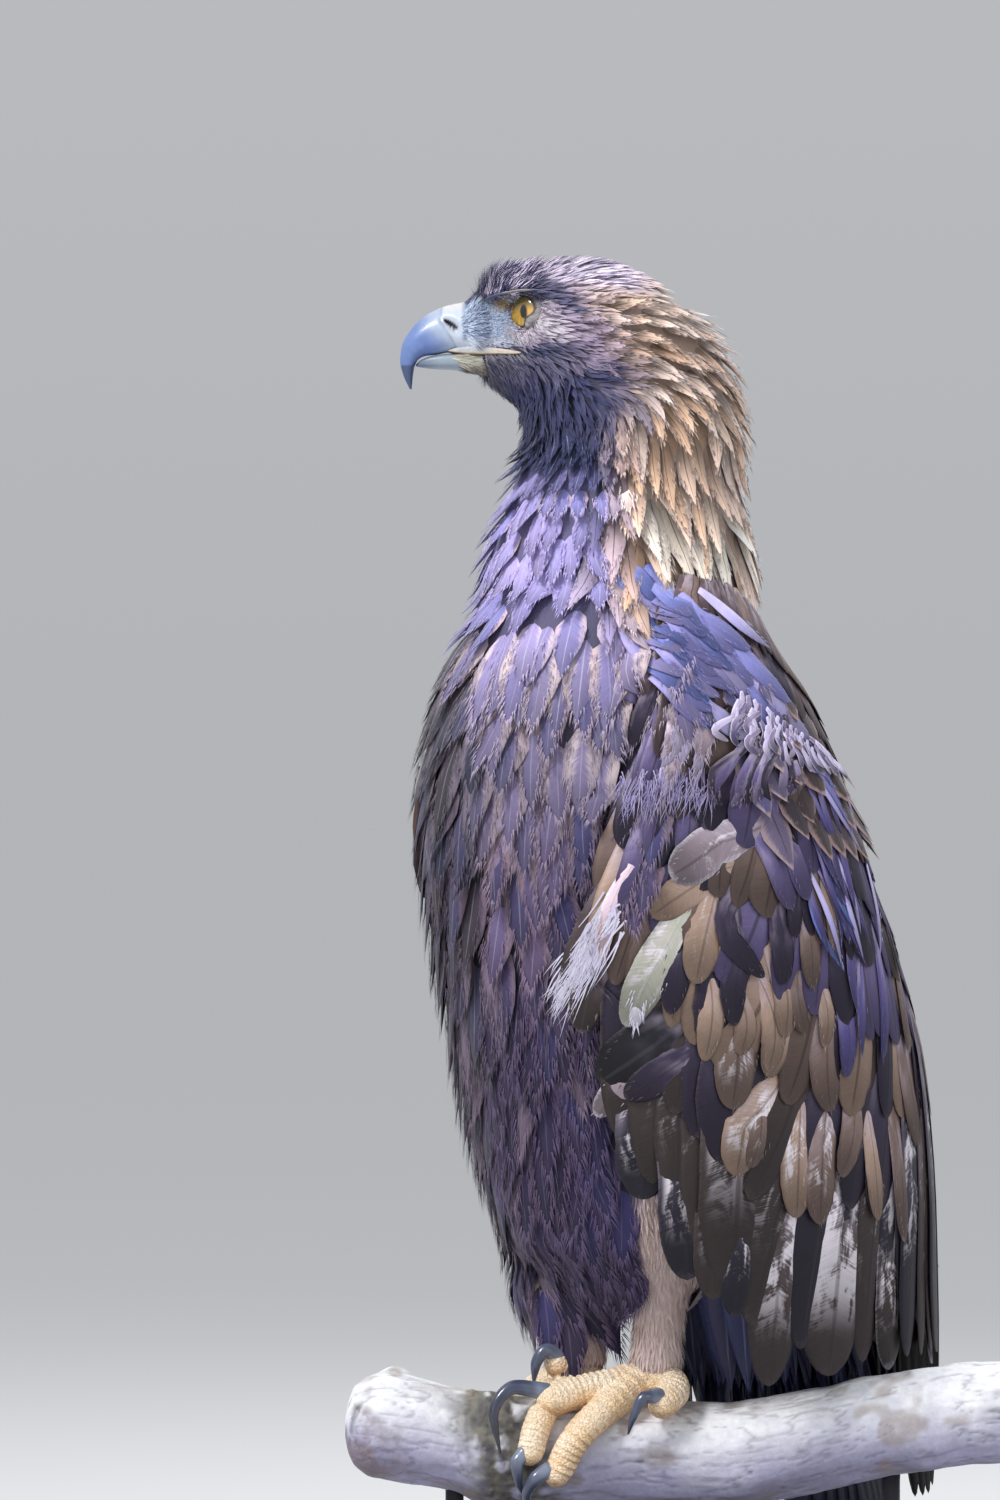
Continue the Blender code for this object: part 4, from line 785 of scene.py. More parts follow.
class Coat:
    """Feathers gathered into one joined mesh."""

    def __init__(self, name, material, slot):
        self.name, self.material, self.slot = name, material, slot
        self.points, self.faces, self.count, self.triangles = [], [], 0, 0
        self.tint, self.rim, self.vane, self.mark, self.uv = [], [], [], [], []
        self.feathers = 0

    def add(self, mid, side, normal, half, length, tint, rim, reach, chance, kind="point", cols=2, dome=.16, marbling=0.0, shaft=.5, ragged=.10, curl=0.0, thick=0.0, rng=None):
        """mid, side, normal: (n, m, 3) along each vane; half: (n,) widest half width; the rest (n,) or one value."""
        n, m = mid.shape[:2]
        rng = rng or RNG
        t = np.linspace(0, 1, m)
        if kind in ("round", "flight"):
            # closer rows towards the tip, so that it comes out round
            t = 1 - (1 - t) ** 1.75
            at = t * (m - 1)
            low = np.clip(at.astype(int), 0, m - 2)
            part = (at - low)[None, :, None]
            mid, side, normal = (v[:, low] * (1 - part) + v[:, low + 1] * part for v in (mid, side, normal))
        shape = outline(kind, t)[None, :]
        k = 2 * cols + 1
        a = np.linspace(-1, 1, k)
        wide = np.asarray(half, float).reshape(-1, 1) * shape
        jag = 1 + ragged * (rng.random((n, m, 2)) - .5) * 2 * smooth(.15, .5, t)[None, :, None]
        sx = np.repeat(wide[:, :, None], k, 2) * a[None, None, :]
        sx[:, :, :cols] *= jag[:, :, :1]
        sx[:, :, cols + 1:] *= jag[:, :, 1:]
        drop = -dome * wide[:, :, None] * (a ** 2)[None, None, :]
        p = mid[:, :, None, :] + side[:, :, None, :] * sx[..., None] + normal[:, :, None, :] * drop[..., None]
        # barbs sweep forward: edges sit a little nearer the tip than the shaft
        ahead = np.gradient(mid, axis=1)
        sweep = (np.abs(a)[None, None, :] * wide[:, :, None] * .35 * smooth(1.0, .55, t)[None, :, None]) / np.maximum(np.linalg.norm(ahead, axis=-1), 1e-9)[:, :, None]
        p = p + ahead[:, :, None, :] * (sweep * .5)[..., None]
        start = self.count
        per = m * k
        quads = grid_faces(m, k)
        layers = [(p, quads)]
        if thick:
            body = np.clip(shape, .12, 1)[:, :, None] * thick * (1 - .75 * (a ** 2))[None, None, :]
            layers = [(p + normal[:, :, None, :] * (body / 2)[..., None], quads), (p - normal[:, :, None, :] * (body / 2)[..., None], quads[:, ::-1])]
        full = np.arange(n)[:, None, None]
        for index, (points, f) in enumerate(layers):
            self.points.append(points.reshape(-1, 3))
            self.faces.append((start + index * n * per + full * per + f[None]).reshape(-1, 4))
        if thick:
            ring = [j for j in range(k)] + [i * k + k - 1 for i in range(1, m)] + [(m - 1) * k + j for j in range(k - 2, -1, -1)] + [i * k for i in range(m - 2, 0, -1)]
            walls = np.array([(u, v) for u, v in zip(ring, ring[1:] + ring[:1])])
            u, v = walls[:, 0][None] + full[:, :, 0] * per, walls[:, 1][None] + full[:, :, 0] * per
            self.faces.append(np.stack([v + start, u + start, u + start + n * per, v + start + n * per], -1).reshape(-1, 4))
        many = len(layers)
        self.count += n * per * many
        self.feathers += n

        def spread(value, width):
            value = np.asarray(value, float)
            if value.ndim == 0 or (value.ndim == 1 and width > 1 and value.shape[0] == width and n != width):
                value = np.broadcast_to(value, (n,) + value.shape)
            value = value.reshape(n, 1, 1, -1)
            return np.broadcast_to(value, (n, m, k, width)).reshape(-1, width)

        rims = np.concatenate([spread(rim, 3), spread(reach, 1)], 1)
        vane = np.concatenate([np.broadcast_to(a[None, None, :], (n, m, k)).reshape(-1, 1), np.broadcast_to(t[None, :, None], (n, m, k)).reshape(-1, 1), spread(length, 1)], 1)
        mark = np.concatenate([spread(marbling, 1), spread(chance, 1), spread(shaft, 1)], 1)
        for _ in range(many):
            self.tint.append(spread(tint, 3))
            self.rim.append(rims)
            self.vane.append(vane)
            self.mark.append(mark)
            self.uv.append((n, m, k, a, t, mid[:, 0]))

    def finish(self):
        if not self.count:
            return None
        points, faces = np.concatenate(self.points), np.concatenate(self.faces)
        obj = build(self.name, points, faces)
        obj.data.materials.append(self.material)
        paint(obj, "tint", np.concatenate(self.tint))
        paint(obj, "rim", np.concatenate(self.rim))
        paint(obj, "vane", np.concatenate(self.vane), "FLOAT_VECTOR")
        paint(obj, "mark", np.concatenate(self.mark), "FLOAT_VECTOR")
        self.unwrap(obj)
        log(f"{self.name}: {self.feathers} feathers, {len(faces) * 2} triangles")
        return obj

    def unwrap(self, obj):
        """OFBake: each feather a small patch at its root's place on a cylinder unwrap of the skin."""
        uvs = []
        size = .003
        for n, m, k, a, t, root in self.uv:
            u0, v0 = np.meshgrid(a * .5 + .5, t)
            turn = np.arctan2(root[:, 1] - .02, root[:, 0]) / (2 * math.pi) + .5
            cx, cy = .01 + .97 * turn, .01 + .97 * np.clip((root[:, 2] + .11) / .76, 0, 1)
            uv = np.stack([cx[:, None, None] + u0[None] * size, cy[:, None, None] + v0[None] * size], -1)
            uvs.append(uv.reshape(-1, 2))
        uv = np.concatenate(uvs)
        layer = obj.data.uv_layers.new(name="OFBake")
        index = np.zeros(len(obj.data.loops), np.int32)
        obj.data.loops.foreach_get("vertex_index", index)
        layer.data.foreach_set("uv", uv[index].astype(np.float32).ravel())


def scatter(keep, spacing, stretch, seed, tries=9.0):
    """Roots on the skin. keep(p) is 0..1, spacing(p) metres across the lie, stretch(p) how much longer along it."""
    rng = np.random.default_rng(seed)
    tri = SKIN_T
    a, b, c = SKIN_P[tri[:, 0]], SKIN_P[tri[:, 1]], SKIN_P[tri[:, 2]]
    mid = (a + b + c) / 3
    k = keep(mid)
    gap = spacing(mid)
    area = np.linalg.norm(np.cross(b - a, c - a), axis=1) / 2
    weight = area * (k > .02) / (gap ** 2 * stretch(mid))
    total = int(weight.sum() * tries) + 1
    pick = rng.choice(len(tri), total, p=weight / weight.sum())
    r1, r2 = np.sqrt(rng.random(total)), rng.random(total)
    p = (1 - r1)[:, None] * a[pick] + (r1 * (1 - r2))[:, None] * b[pick] + (r1 * r2)[:, None] * c[pick]
    fn = unit(np.cross(b - a, c - a))[pick]
    ok = rng.random(total) < keep(p)
    p, fn = p[ok], fn[ok]
    gap, long = spacing(p), stretch(p)
    way = flow(p, fn)
    cell = float(gap.max() * long.max())
    keys = np.floor(p / cell).astype(int)
    grid, chosen = {}, []
    reach = [(x, y, z) for x in (-1, 0, 1) for y in (-1, 0, 1) for z in (-1, 0, 1)]
    pl, wl = p.tolist(), way.tolist()
    for i, key in enumerate(keys.tolist()):
        px, py, pz = pl[i]
        wx, wy, wz = wl[i]
        g2, inv = gap[i] ** 2, 1 / long[i] ** 2
        near = False
        for dx, dy, dz in reach:
            for j in grid.get((key[0] + dx, key[1] + dy, key[2] + dz), ()):
                qx, qy, qz = px - pl[j][0], py - pl[j][1], pz - pl[j][2]
                al = qx * wx + qy * wy + qz * wz
                if qx * qx + qy * qy + qz * qz - al * al + al * al * inv < g2:
                    near = True
                    break
            if near:
                break
        if not near:
            grid.setdefault(tuple(key), []).append(i)
            chosen.append(i)
    return p[chosen], fn[chosen]


def flow(p, n):
    """The way the plumage lies at points p with normals n."""
    s, z, a = head_frame(p)
    x, y = p[..., 0], p[..., 1]
    one = np.ones_like(s)[..., None]
    head = ALONG * one * 1.0 - UP * (.25 + 1.2 * smooth(.01, .06, s))[..., None] * one
    head = head + UP * (.22 * smooth(.600, .625, z) * (1 - smooth(0, .05, s)))[..., None]
    throat = ALONG * .55 * one - UP * 1.0
    down = -UP * one + ALONG * (.16 * smooth(-.04, .05, s) * smooth(.40, .50, z))[..., None]
    body = -UP * one + np.array((0, 1.0, 0)) * (.05 + .45 * smooth(.16, .04, z) * smooth(.03, .07, y))[..., None]
    hk = smooth(.530, .560, z)[..., None]
    v = body * (1 - smooth(.39, .44, z))[..., None] + down * smooth(.39, .44, z)[..., None]
    v = v * (1 - hk) + head * hk
    th = (smooth(.575, .560, z) * smooth(.51, .54, z) * smooth(.0, -.02, s))[..., None]
    v = v * (1 - th) + throat * th
    v = v - n * np.sum(v * n, axis=-1, keepdims=True)
    return unit(v)


def swirl(v, n, angle):
    c, s = np.cos(angle)[..., None], np.sin(angle)[..., None]
    return v * c + np.cross(n, v) * s


def march(p, n, length, m, turn, lift0, lift1, bow=0.0):
    """Centre lines over the skin: (n, m, 3) points, sides and normals."""
    count = len(p)
    mid, side, norm = np.zeros((count, m, 3)), np.zeros((count, m, 3)), np.zeros((count, m, 3))
    at, nn = p.copy(), n.copy()
    step = np.asarray(length) / (m - 1)
    way = swirl(flow(at, nn), nn, turn)
    for k in range(m):
        t = k / (m - 1)
        high = lift0 + (lift1 - lift0) * t + bow * math.sin(math.pi * t)
        mid[:, k] = at + nn * np.asarray(high).reshape(-1, 1)
        norm[:, k] = nn
        side[:, k] = np.cross(way, nn)
        if k == m - 1:
            break
        ahead = at + way * np.asarray(step).reshape(-1, 1)
        new, nns = np.empty_like(at), np.empty_like(nn)
        for i in range(count):
            hit = SKIN_TREE.find_nearest(Vector(ahead[i]))
            new[i], nns[i] = hit[0], hit[1]
        # on past the skin's end, as at a fringe, keep going straight
        off = np.linalg.norm(ahead - new, axis=1) > .45 * np.asarray(step)
        new[off] = ahead[off]
        nns[off] = nn[off]
        nns = unit(nn * .45 + nns * .55)
        fresh = swirl(flow(new, nns), nns, turn)
        way = unit(way * .55 + fresh * .45)
        way = unit(way - nns * np.sum(way * nns, axis=1, keepdims=True))
        at, nn = new, nns
    # smooth the normals, then lean each vane's normal square to its own line
    line = unit(np.gradient(mid, axis=1))
    norm = unit(norm - line * np.sum(norm * line, axis=-1, keepdims=True))
    side = unit(np.cross(line, norm))
    return mid, side, norm


def fringe(coat, mid, side, norm, half, length, tint, chance, many, reach, spread, seed, start=.45, wide=.00035, inner=.45):
    """Loose hair-like barbs along the edges of vanes."""
    rng = np.random.default_rng(seed)
    n, m = mid.shape[:2]
    pick = np.repeat(np.arange(n), many)
    t = start + (1 - start) * rng.random(len(pick)) ** .8
    sgn = rng.choice((-1.0, 1.0), len(pick))
    pos = t * (m - 1)
    i = np.clip(pos.astype(int), 0, m - 2)
    f = (pos - i)[:, None]
    at = mid[pick, i] * (1 - f) + mid[pick, i + 1] * f
    sd, nm = side[pick, i], norm[pick, i]
    line = unit(mid[pick, i + 1] - mid[pick, i])
    w = np.asarray(half)[pick] * outline("point", t) * rng.uniform(inner, .98, len(pick))
    base = at + sd * (sgn * w)[:, None] + nm * .0003
    out = unit(line + sd * (sgn * rng.uniform(.15, spread, len(pick)))[:, None] + nm * rng.uniform(-.02, .16, len(pick))[:, None])
    long = np.asarray(reach)[pick] * rng.uniform(.5, 1.1, len(pick)) if np.ndim(reach) else reach * rng.uniform(.5, 1.1, len(pick))
    steps = np.linspace(0, 1, 3)
    curve = base[:, None] + out[:, None] * (long[:, None] * steps[None])[..., None] + line[:, None] * (long[:, None] * .25 * steps[None] ** 2)[..., None]
    sides = unit(np.cross(out, nm))[:, None].repeat(3, 1)
    coat.add(curve, sides, nm[:, None].repeat(3, 1), np.full(len(pick), wide), long, tint[pick], tint[pick], .05, chance[pick], kind="hair", cols=1, dome=0, shaft=.5, ragged=0, rng=rng)


# ------------------------------------------------------------------ the body's coat, tract by tract
def wing_cover(p):
    """1 where a folded wing's feathers hide the body."""
    x, y, z = p[..., 0], p[..., 1], p[..., 2]
    ang = np.degrees(np.arctan2(y - .003, np.abs(x)))
    left = x > 0
    front = np.where(left, spline(LEFT_FRONT, z)[..., 0], spline(RIGHT_FRONT, z)[..., 0])
    bottom = np.where(left, .112, .20)
    under = np.where(ang < front + 11, 0.0, 1.0)
    return under * (z < .425) * (z > bottom - .03)


def tract(coat, keep, spacing, stretch, size, seed, kind="point", m=6, lift=(-.0012, .0075), dome=.16, turn=.10, cols=2, shaft=.5, hairs=None, ragged=.10, jitter=.18, recolour=None, splay=0.0):
    """One tract of feathers: size(p) gives (length, half width)."""
    p, n = scatter(keep, spacing, stretch, seed)
    rng = np.random.default_rng(seed + 1)
    chance = rng.random(len(p))
    length, half = size(p)
    grow = 1 + jitter * (rng.random(len(p)) - .5) * 2
    length, half = length * grow, half * (1 + .25 * (rng.random(len(p)) - .5))
    tint, rim, reach = markings(p, chance)
    if recolour:
        tint, rim, reach = recolour(p, chance, tint, rim, reach)
    tint = tint * (1 + .22 * (rng.random(len(p)) - .5))[:, None]
    depth = np.broadcast_to(lift(p) if callable(lift) else lift[1], (len(p),)) * (1 + .20 * (rng.random(len(p)) - .5))
    turns = turn * rng.standard_normal(len(p))
    mid, side, norm = march(p, n, length, m, turns, -.0012, depth)
    if splay:
        roll = splay * rng.standard_normal(len(p))
        side, norm = side * np.cos(roll)[:, None, None] + norm * np.sin(roll)[:, None, None], norm * np.cos(roll)[:, None, None] - side * np.sin(roll)[:, None, None]
    sh = shaft(p) if callable(shaft) else shaft
    coat.add(mid, side, norm, half, length, tint, rim, reach, chance, kind=kind, cols=cols, dome=dome, shaft=sh, ragged=ragged, rng=rng)
    if hairs:
        many, reach_h, spread_h = hairs[:3]
        fringe(coat, mid, side, norm, half, length, np.clip(rim * .40 + tint * .55, 0, 1), chance, many, reach_h, spread_h, seed + 2, start=hairs[3] if len(hairs) > 3 else .45)
    log(f"{coat.name} {kind} {len(p)}")
    return len(p)


def box01(v, lo, hi, soft=.008):
    return smooth(lo - soft, lo + soft, v) * (1 - smooth(hi - soft, hi + soft, v))


def body_coat():
    breast = Coat("coat_breast", MAT["plume"], "plumage_body")
    belly = Coat("coat_belly", MAT["plume"], "plumage_body")
    neck = Coat("coat_neck", MAT["plume"], "plumage_body")
    nape = Coat("coat_nape", MAT["gold"], "plumage_head")
    head = Coat("coat_head", MAT["hackle"], "plumage_head")
    throat = Coat("coat_throat", MAT["hackle"], "plumage_head")
    back = Coat("coat_back", MAT["hackle"], "plumage_body")
    legs = Coat("coat_legs", MAT["down"], "plumage_leg")
    at = areas

    def torso(p):
        w = at(p)
        return (p[:, 2] < .425) * (w["leg"] < .12) * (1 - wing_cover(p)) * (1 - w["mantle"]) * (p[:, 1] < .075)

    # belly and thighs: long, loose, hair tipped
    tract(belly, lambda p: torso(p) * (p[:, 2] < .235), lambda p: np.full(len(p), .0092), lambda p: np.full(len(p), 1.9), lambda p: (np.where((p @ ALONG > .006) & (p[:, 2] < .178) & (p @ ACROSS > -.02), .024 + .030 * smooth(.022, .002, p @ ALONG), .056), np.full(len(p), .0098)), 101, m=7, kind="point", lift=(0, .0088), turn=.12, hairs=(70, .0095, .30, .25), ragged=.16, dome=.22, splay=.10, shaft=.56)
    # breast and flanks: spear shaped, with pale shaft lines and cream bases
    tract(breast, lambda p: torso(p) * (p[:, 2] >= .225), lambda p: np.full(len(p), .0104), lambda p: np.full(len(p), 1.95), lambda p: (np.full(len(p), .054), np.full(len(p), .0112)), 111, m=8, kind="lance", lift=(0, .0088), turn=.12, hairs=(70, .0068, .26, .22), ragged=.08, dome=.20, splay=.08, shaft=.62)
    # neck front and sides
    tract(neck, lambda p: (p[:, 2] > .400) * (1 - at(p)["nape"]) * (1 - at(p)["mantle"]) * (p[:, 2] < .535), lambda p: .0056 + .0036 * smooth(.52, .43, p[:, 2]), lambda p: np.full(len(p), 1.95), lambda p: (.020 + .028 * smooth(.53, .42, p[:, 2]), .0042 + .0050 * smooth(.53, .42, p[:, 2])), 121, m=7, kind="lance", lift=(0, .0084), turn=.11, hairs=(34, .0046, .24, .25), dome=.22, splay=.08, shaft=.80)
    # golden hackles
    tract(nape, lambda p: at(p)["nape"] * (p[:, 2] < .600), lambda p: .0046 + .0022 * smooth(.59, .50, p[:, 2]), lambda p: np.full(len(p), 2.2), lambda p: (.020 + .032 * smooth(.590, .50, p[:, 2]), .0030 + .0032 * smooth(.590, .49, p[:, 2])), 131, m=7, kind="lance", lift=(0, .0098), turn=.11, hairs=(22, .0046, .20, .30), dome=.30, splay=.16, shaft=.06)
    # crown, cheeks and throat: small
    spare = lambda p: at(p)["head"] * (1 - at(p)["nape"]) * (1 - face_bare(p))
    tract(head, lambda p: spare(p) * (1 - at(p)["throat"]), lambda p: .00115 + .0006 * smooth(-.05, .02, p @ ALONG), lambda p: np.full(len(p), 2.3), lambda p: (.0064 + .0096 * smooth(-.062, .0, p @ ALONG), .00068 + .0008 * smooth(-.062, .01, p @ ALONG)), 141, m=4, kind="lance", lift=lambda p: .0012 + .0026 * smooth(-.064, -.03, p @ ALONG), turn=.12, dome=.25, splay=.22, shaft=.35, cols=1)
    tract(throat, lambda p: spare(p) * at(p)["throat"] * (p @ ALONG > -.0615), lambda p: .0015 + .0009 * smooth(-.045, -.02, p @ ALONG), lambda p: np.full(len(p), 2.2), lambda p: (.0105 + .009 * smooth(-.066, -.03, p @ ALONG), .0008 + .0014 * smooth(-.045, -.02, p @ ALONG)), 151, m=5, kind="lance", lift=lambda p: .0010 + .0036 * smooth(-.066, -.04, p @ ALONG), turn=.18, hairs=(5, .0060, .25, .3), dome=.25, splay=.25, shaft=.5, cols=1)
    # pale fine streaks round the eye, a few
    tract(head, lambda p: eye_ring(p), lambda p: np.full(len(p), .0010), lambda p: np.full(len(p), 2.6), lambda p: (np.full(len(p), .0058), np.full(len(p), .00050)), 153, m=4, kind="hair", lift=(0, .0016), turn=.16, dome=.1, splay=.3, shaft=.5, cols=1, recolour=ring_colour)
    # lores: short bristles pointing back
    tract(throat, lambda p: lore_area(p), lambda p: np.full(len(p), .0011), lambda p: np.full(len(p), 1.8), lambda p: (np.full(len(p), .0034), np.full(len(p), .00034)), 155, m=3, kind="hair", lift=(0, .0011), turn=.30, dome=.1, splay=.3, shaft=.5, cols=1, recolour=lore_colour)
    # mantle: between the shoulders, seen past the wing's edge
    tract(back, lambda p: at(p)["mantle"] * (p[:, 2] > .335) + (p[:, 1] > .03) * (p[:, 2] > .335) * (p[:, 2] <= .43) * (1 - at(p)["mantle"]), lambda p: np.full(len(p), .0095), lambda p: np.full(len(p), 1.6), lambda p: (np.full(len(p), .046), np.full(len(p), .0110)), 161, m=6, kind="point", lift=(0, .0092), turn=.09, hairs=(5, .003, .3, .5), dome=.18, splay=.05, shaft=.15)
    # under the tail
    tract(back, lambda p: at(p)["vent"], lambda p: np.full(len(p), .0095), lambda p: np.full(len(p), 1.8), lambda p: (np.full(len(p), .050), np.full(len(p), .0100)), 171, m=6, kind="point", lift=(0, .0082), turn=.08, hairs=(6, .005, .35, .5), dome=.18, shaft=.75)
    # tarsus: short buff hair feathers that hug the leg
    tract(legs, lambda p: at(p)["leg"], lambda p: np.full(len(p), .00150), lambda p: np.full(len(p), 2.2), lambda p: (np.full(len(p), .0105), np.full(len(p), .00075)), 181, m=4, kind="lance", lift=(0, .0022), turn=.10, dome=.2, splay=.25, shaft=.5, cols=1)
    return [c.finish() for c in (breast, belly, neck, nape, head, throat, back, legs)]


def face_bare(p):
    """1 on the bare ring round the eye, on the gape and where the bill stands."""
    s, z, a = head_frame(p)
    eye = smooth(.0105, .0092, np.hypot((s - EYE[0] + .0012) / .92, z - EYE[1] + .0010)) * (np.abs(a) > .012)
    bill = smooth(-.0655, -.0670, s) * (z > .560)
    bill = bill + lore_area(p)
    gape = smooth(.0028, .0018, np.abs(z - .5735)) * smooth(-.040, -.044, s) * (s > -.075)
    return np.clip(eye + bill + gape, 0, 1)


def eye_ring(p):
    """A band of fine streaks under and behind the eye."""
    s, z, a = head_frame(p)
    far = np.hypot((s - EYE[0] - .001) / .95, z - EYE[1] + .0005)
    return smooth(.0074, .0082, far) * smooth(.0170, .0130, far) * smooth(.602, .599, z) * (s > -.0530) * (a > -.06) * (np.abs(a) > .012)


def ring_colour(p, chance, tint, rim, reach):
    s, z, a = head_frame(p)
    pale = mix(np.array((.80, .75, .80)), np.array((.42, .36, .44)), chance ** 1.6)
    base = mix(np.array((.30, .27, .33)), pale, np.clip(smooth(-.052, -.040, s) + .3, 0, 1))
    return base, base, reach


def lore_area(p):
    """Between the bill and the eye, where only bristles grow."""
    s, z, a = head_frame(p)
    top = .6035 - .10 * (s + .066)
    return smooth(-.0690, -.0670, s) * smooth(-.0490, -.0510, s + .10 * (z - .59)) * smooth(.5770, .5785, z) * smooth(top + .0010, top - .0010, z) * (np.abs(a) > .006)


def lore_colour(p, chance, tint, rim, reach):
    s, z, a = head_frame(p)
    base = mix(np.array((.12, .18, .32)), np.array((.66, .75, .92)), chance)
    # painted shade: tan to dark brown on the upper lores under the brow, next to the eye
    base = mix(base, mix(np.array((.42, .29, .12)), np.array((.16, .10, .035)), chance), smooth(.5925, .5985, z) * smooth(-.063, -.056, s) * .95)
    base = mix(base, np.array((.66, .68, .78)), smooth(.584, .579, z) * .7)
    return base, base * 1.2, reach


def bristles(coat, points, tri, weight, count, way, length, lift, half, colour, rng, m=3):
    """Many short stiff feathers rooted at random on a surface."""
    n = normals_of(points, tri)
    mid, nm = points[tri].mean(1), unit(n[tri].mean(1))
    area = np.linalg.norm(np.cross(points[tri[:, 1]] - points[tri[:, 0]], points[tri[:, 2]] - points[tri[:, 0]]), axis=1)
    k = area * weight(mid, nm)
    pick = rng.choice(len(tri), count, p=k / k.sum())
    share_ = rng.dirichlet((1, 1, 1), count)
    at, out = np.einsum("ij,ijk->ik", share_, points[tri[pick]]), nm[pick]
    chance = rng.random(count)
    go = way(at, out, rng)
    go = unit(go - out * np.sum(go * out, -1, keepdims=True))
    long = np.broadcast_to(length(at), (count,)) * rng.uniform(.7, 1.25, count)
    up = np.broadcast_to(lift(at), (count,)) * rng.uniform(.6, 1.3, count)
    t = np.linspace(0, 1, m)
    line = at[:, None] + go[:, None] * (long[:, None] * t)[..., None] + out[:, None] * (up[:, None] * t ** .8)[..., None] - out[:, None] * .0002
    tint = colour(at, chance)
    coat.add(line, np.cross(go, out)[:, None].repeat(m, 1), out[:, None].repeat(m, 1), np.broadcast_to(half(at), (count,)), long, tint, tint, .05, chance, kind="hair", cols=1, dome=0, shaft=.5, ragged=0, rng=rng)


def lore_bristles(bill, lower, lids):
    """Bristles from the back of the bill over the lores to the eye, round it and on the forehead."""
    coat = Coat("coat_lores", MAT["hackle"], "plumage_head")
    rng = np.random.default_rng(67)
    p, tri = mesh_arrays(bill)

    def back_of_bill(mid, nm):
        s, z, a = head_frame(mid)
        start = np.interp(z, [.5785, .5815, .586, .592, .598, .6045], [-.0700, -.0745, -.0772, -.0768, -.0748, -.0725]) + .0014 * vnoise(mid, 600, 71)
        return smooth(-.0008, .0012, s - start) * smooth(.5780, .5795, z) * (np.abs(a) > .0006)

    def along(at, out, r):
        z = at[:, 2]
        return ALONG[None] + UP[None] * (r.normal(.12, .28, len(at)) + .5 * smooth(.597, .603, z) - .35 * smooth(.590, .580, z))[:, None]

    def shades(at, chance):
        tint = lore_colour(at, chance, None, None, None)[0]
        s, z, a = head_frame(at)
        return mix(tint, mix(np.array((.035, .035, .10)), np.array((.24, .22, .36)), chance ** 3), smooth(.5985, .6015, z - .06 * (s + .06)) * smooth(-.050, -.060, s))

    bristles(coat, p, tri, back_of_bill, 4200, along, lambda at: .0030 + .002 * smooth(.597, .602, at[:, 2]), lambda at: .0010 + .0010 * smooth(.597, .602, at[:, 2]), lambda at: .00028 + .0002 * smooth(.597, .602, at[:, 2]), shades, rng)
    # over the lores themselves
    bristles(coat, SKIN_P, SKIN_T, lambda mid, nm: lore_area(mid), 7000, along, lambda at: .0032 + 0 * at[:, 2], lambda at: .0010 + 0 * at[:, 2], lambda at: .00030 + 0 * at[:, 2], shades, rng)
    # long ones over the seam between bill and face
    seam = lambda mid, nm: smooth(-.0738, -.0722, mid @ ALONG) * smooth(.5775, .5795, mid[:, 2]) * smooth(.6035, .6020, mid[:, 2])
    bristles(coat, p, tri, seam, 3000, along, lambda at: .0072 + 0 * at[:, 2], lambda at: .0042 + 0 * at[:, 2], lambda at: .00036 + 0 * at[:, 2], shades, rng)
    edge = lambda mid, nm: smooth(-.0625, -.0655, mid @ ALONG) * smooth(.5775, .5795, mid[:, 2]) * smooth(.6035, .6020, mid[:, 2])
    bristles(coat, SKIN_P, SKIN_T, edge, 2400, along, lambda at: .0044 + 0 * at[:, 2], lambda at: .0017 + 0 * at[:, 2], lambda at: .00034 + 0 * at[:, 2], shades, rng)
    # the feathered back of the lower bill
    lp, lt = mesh_arrays(lower)
    beard = lambda mid, nm: smooth(-.0815, -.0745, mid @ ALONG + .35 * (mid[:, 2] - .566)) * smooth(.5725, .5712, mid[:, 2])
    bristles(coat, lp, lt, beard, 1500, lambda at, out, r: ALONG[None] * r.normal(.95, .1, len(at))[:, None] - UP[None] * r.normal(.30, .15, len(at))[:, None], lambda at: .0062 + 0 * at[:, 2], lambda at: .0016 + .0016 * smooth(-.071, -.067, at @ ALONG), lambda at: .00034 + 0 * at[:, 2], lambda at, c: mix(mix(np.array((.060, .058, .090)), np.array((.52, .46, .34)), c ** 1.2), np.array((.56, .55, .46)), smooth(.5650, .5685, at[:, 2]) * .85), rng)
    # chin
    under = lambda mid, nm: smooth(-.040, -.046, mid @ ALONG) * smooth(.5735, .5715, mid[:, 2]) * smooth(.540, .548, mid[:, 2])
    bristles(coat, SKIN_P, SKIN_T, under, 2600, lambda at, out, r: ALONG[None] * r.normal(.8, .2, len(at))[:, None] - UP[None] * r.normal(.55, .2, len(at))[:, None], lambda at: .0080 + 0 * at[:, 2], lambda at: .0022 + 0 * at[:, 2], lambda at: .00042 + 0 * at[:, 2], lambda at, c: mix(mix(np.array((.020, .026, .075)), np.array((.26, .22, .26)), c ** 3), np.array((.40, .38, .42)), smooth(.5700, .5725, at[:, 2]) * .45), rng)
    face = coat.finish()
    coat = Coat("coat_forehead", MAT["hackle"], "plumage_head")
    # forehead: steep, dark and spiky where it meets the bill
    def steep(at, out, r):
        return ALONG[None] * r.normal(.55, .15, len(at))[:, None] + UP[None] * .9 + ACROSS[None] * (np.sign(at @ ACROSS - HEAD_MID) * .25)[:, None]

    def brow_root(mid, nm):
        s, z, a = head_frame(mid)
        return smooth(-.0755, -.0735, s) * smooth(.5985, .6005, z) * smooth(-.060, -.064, s)

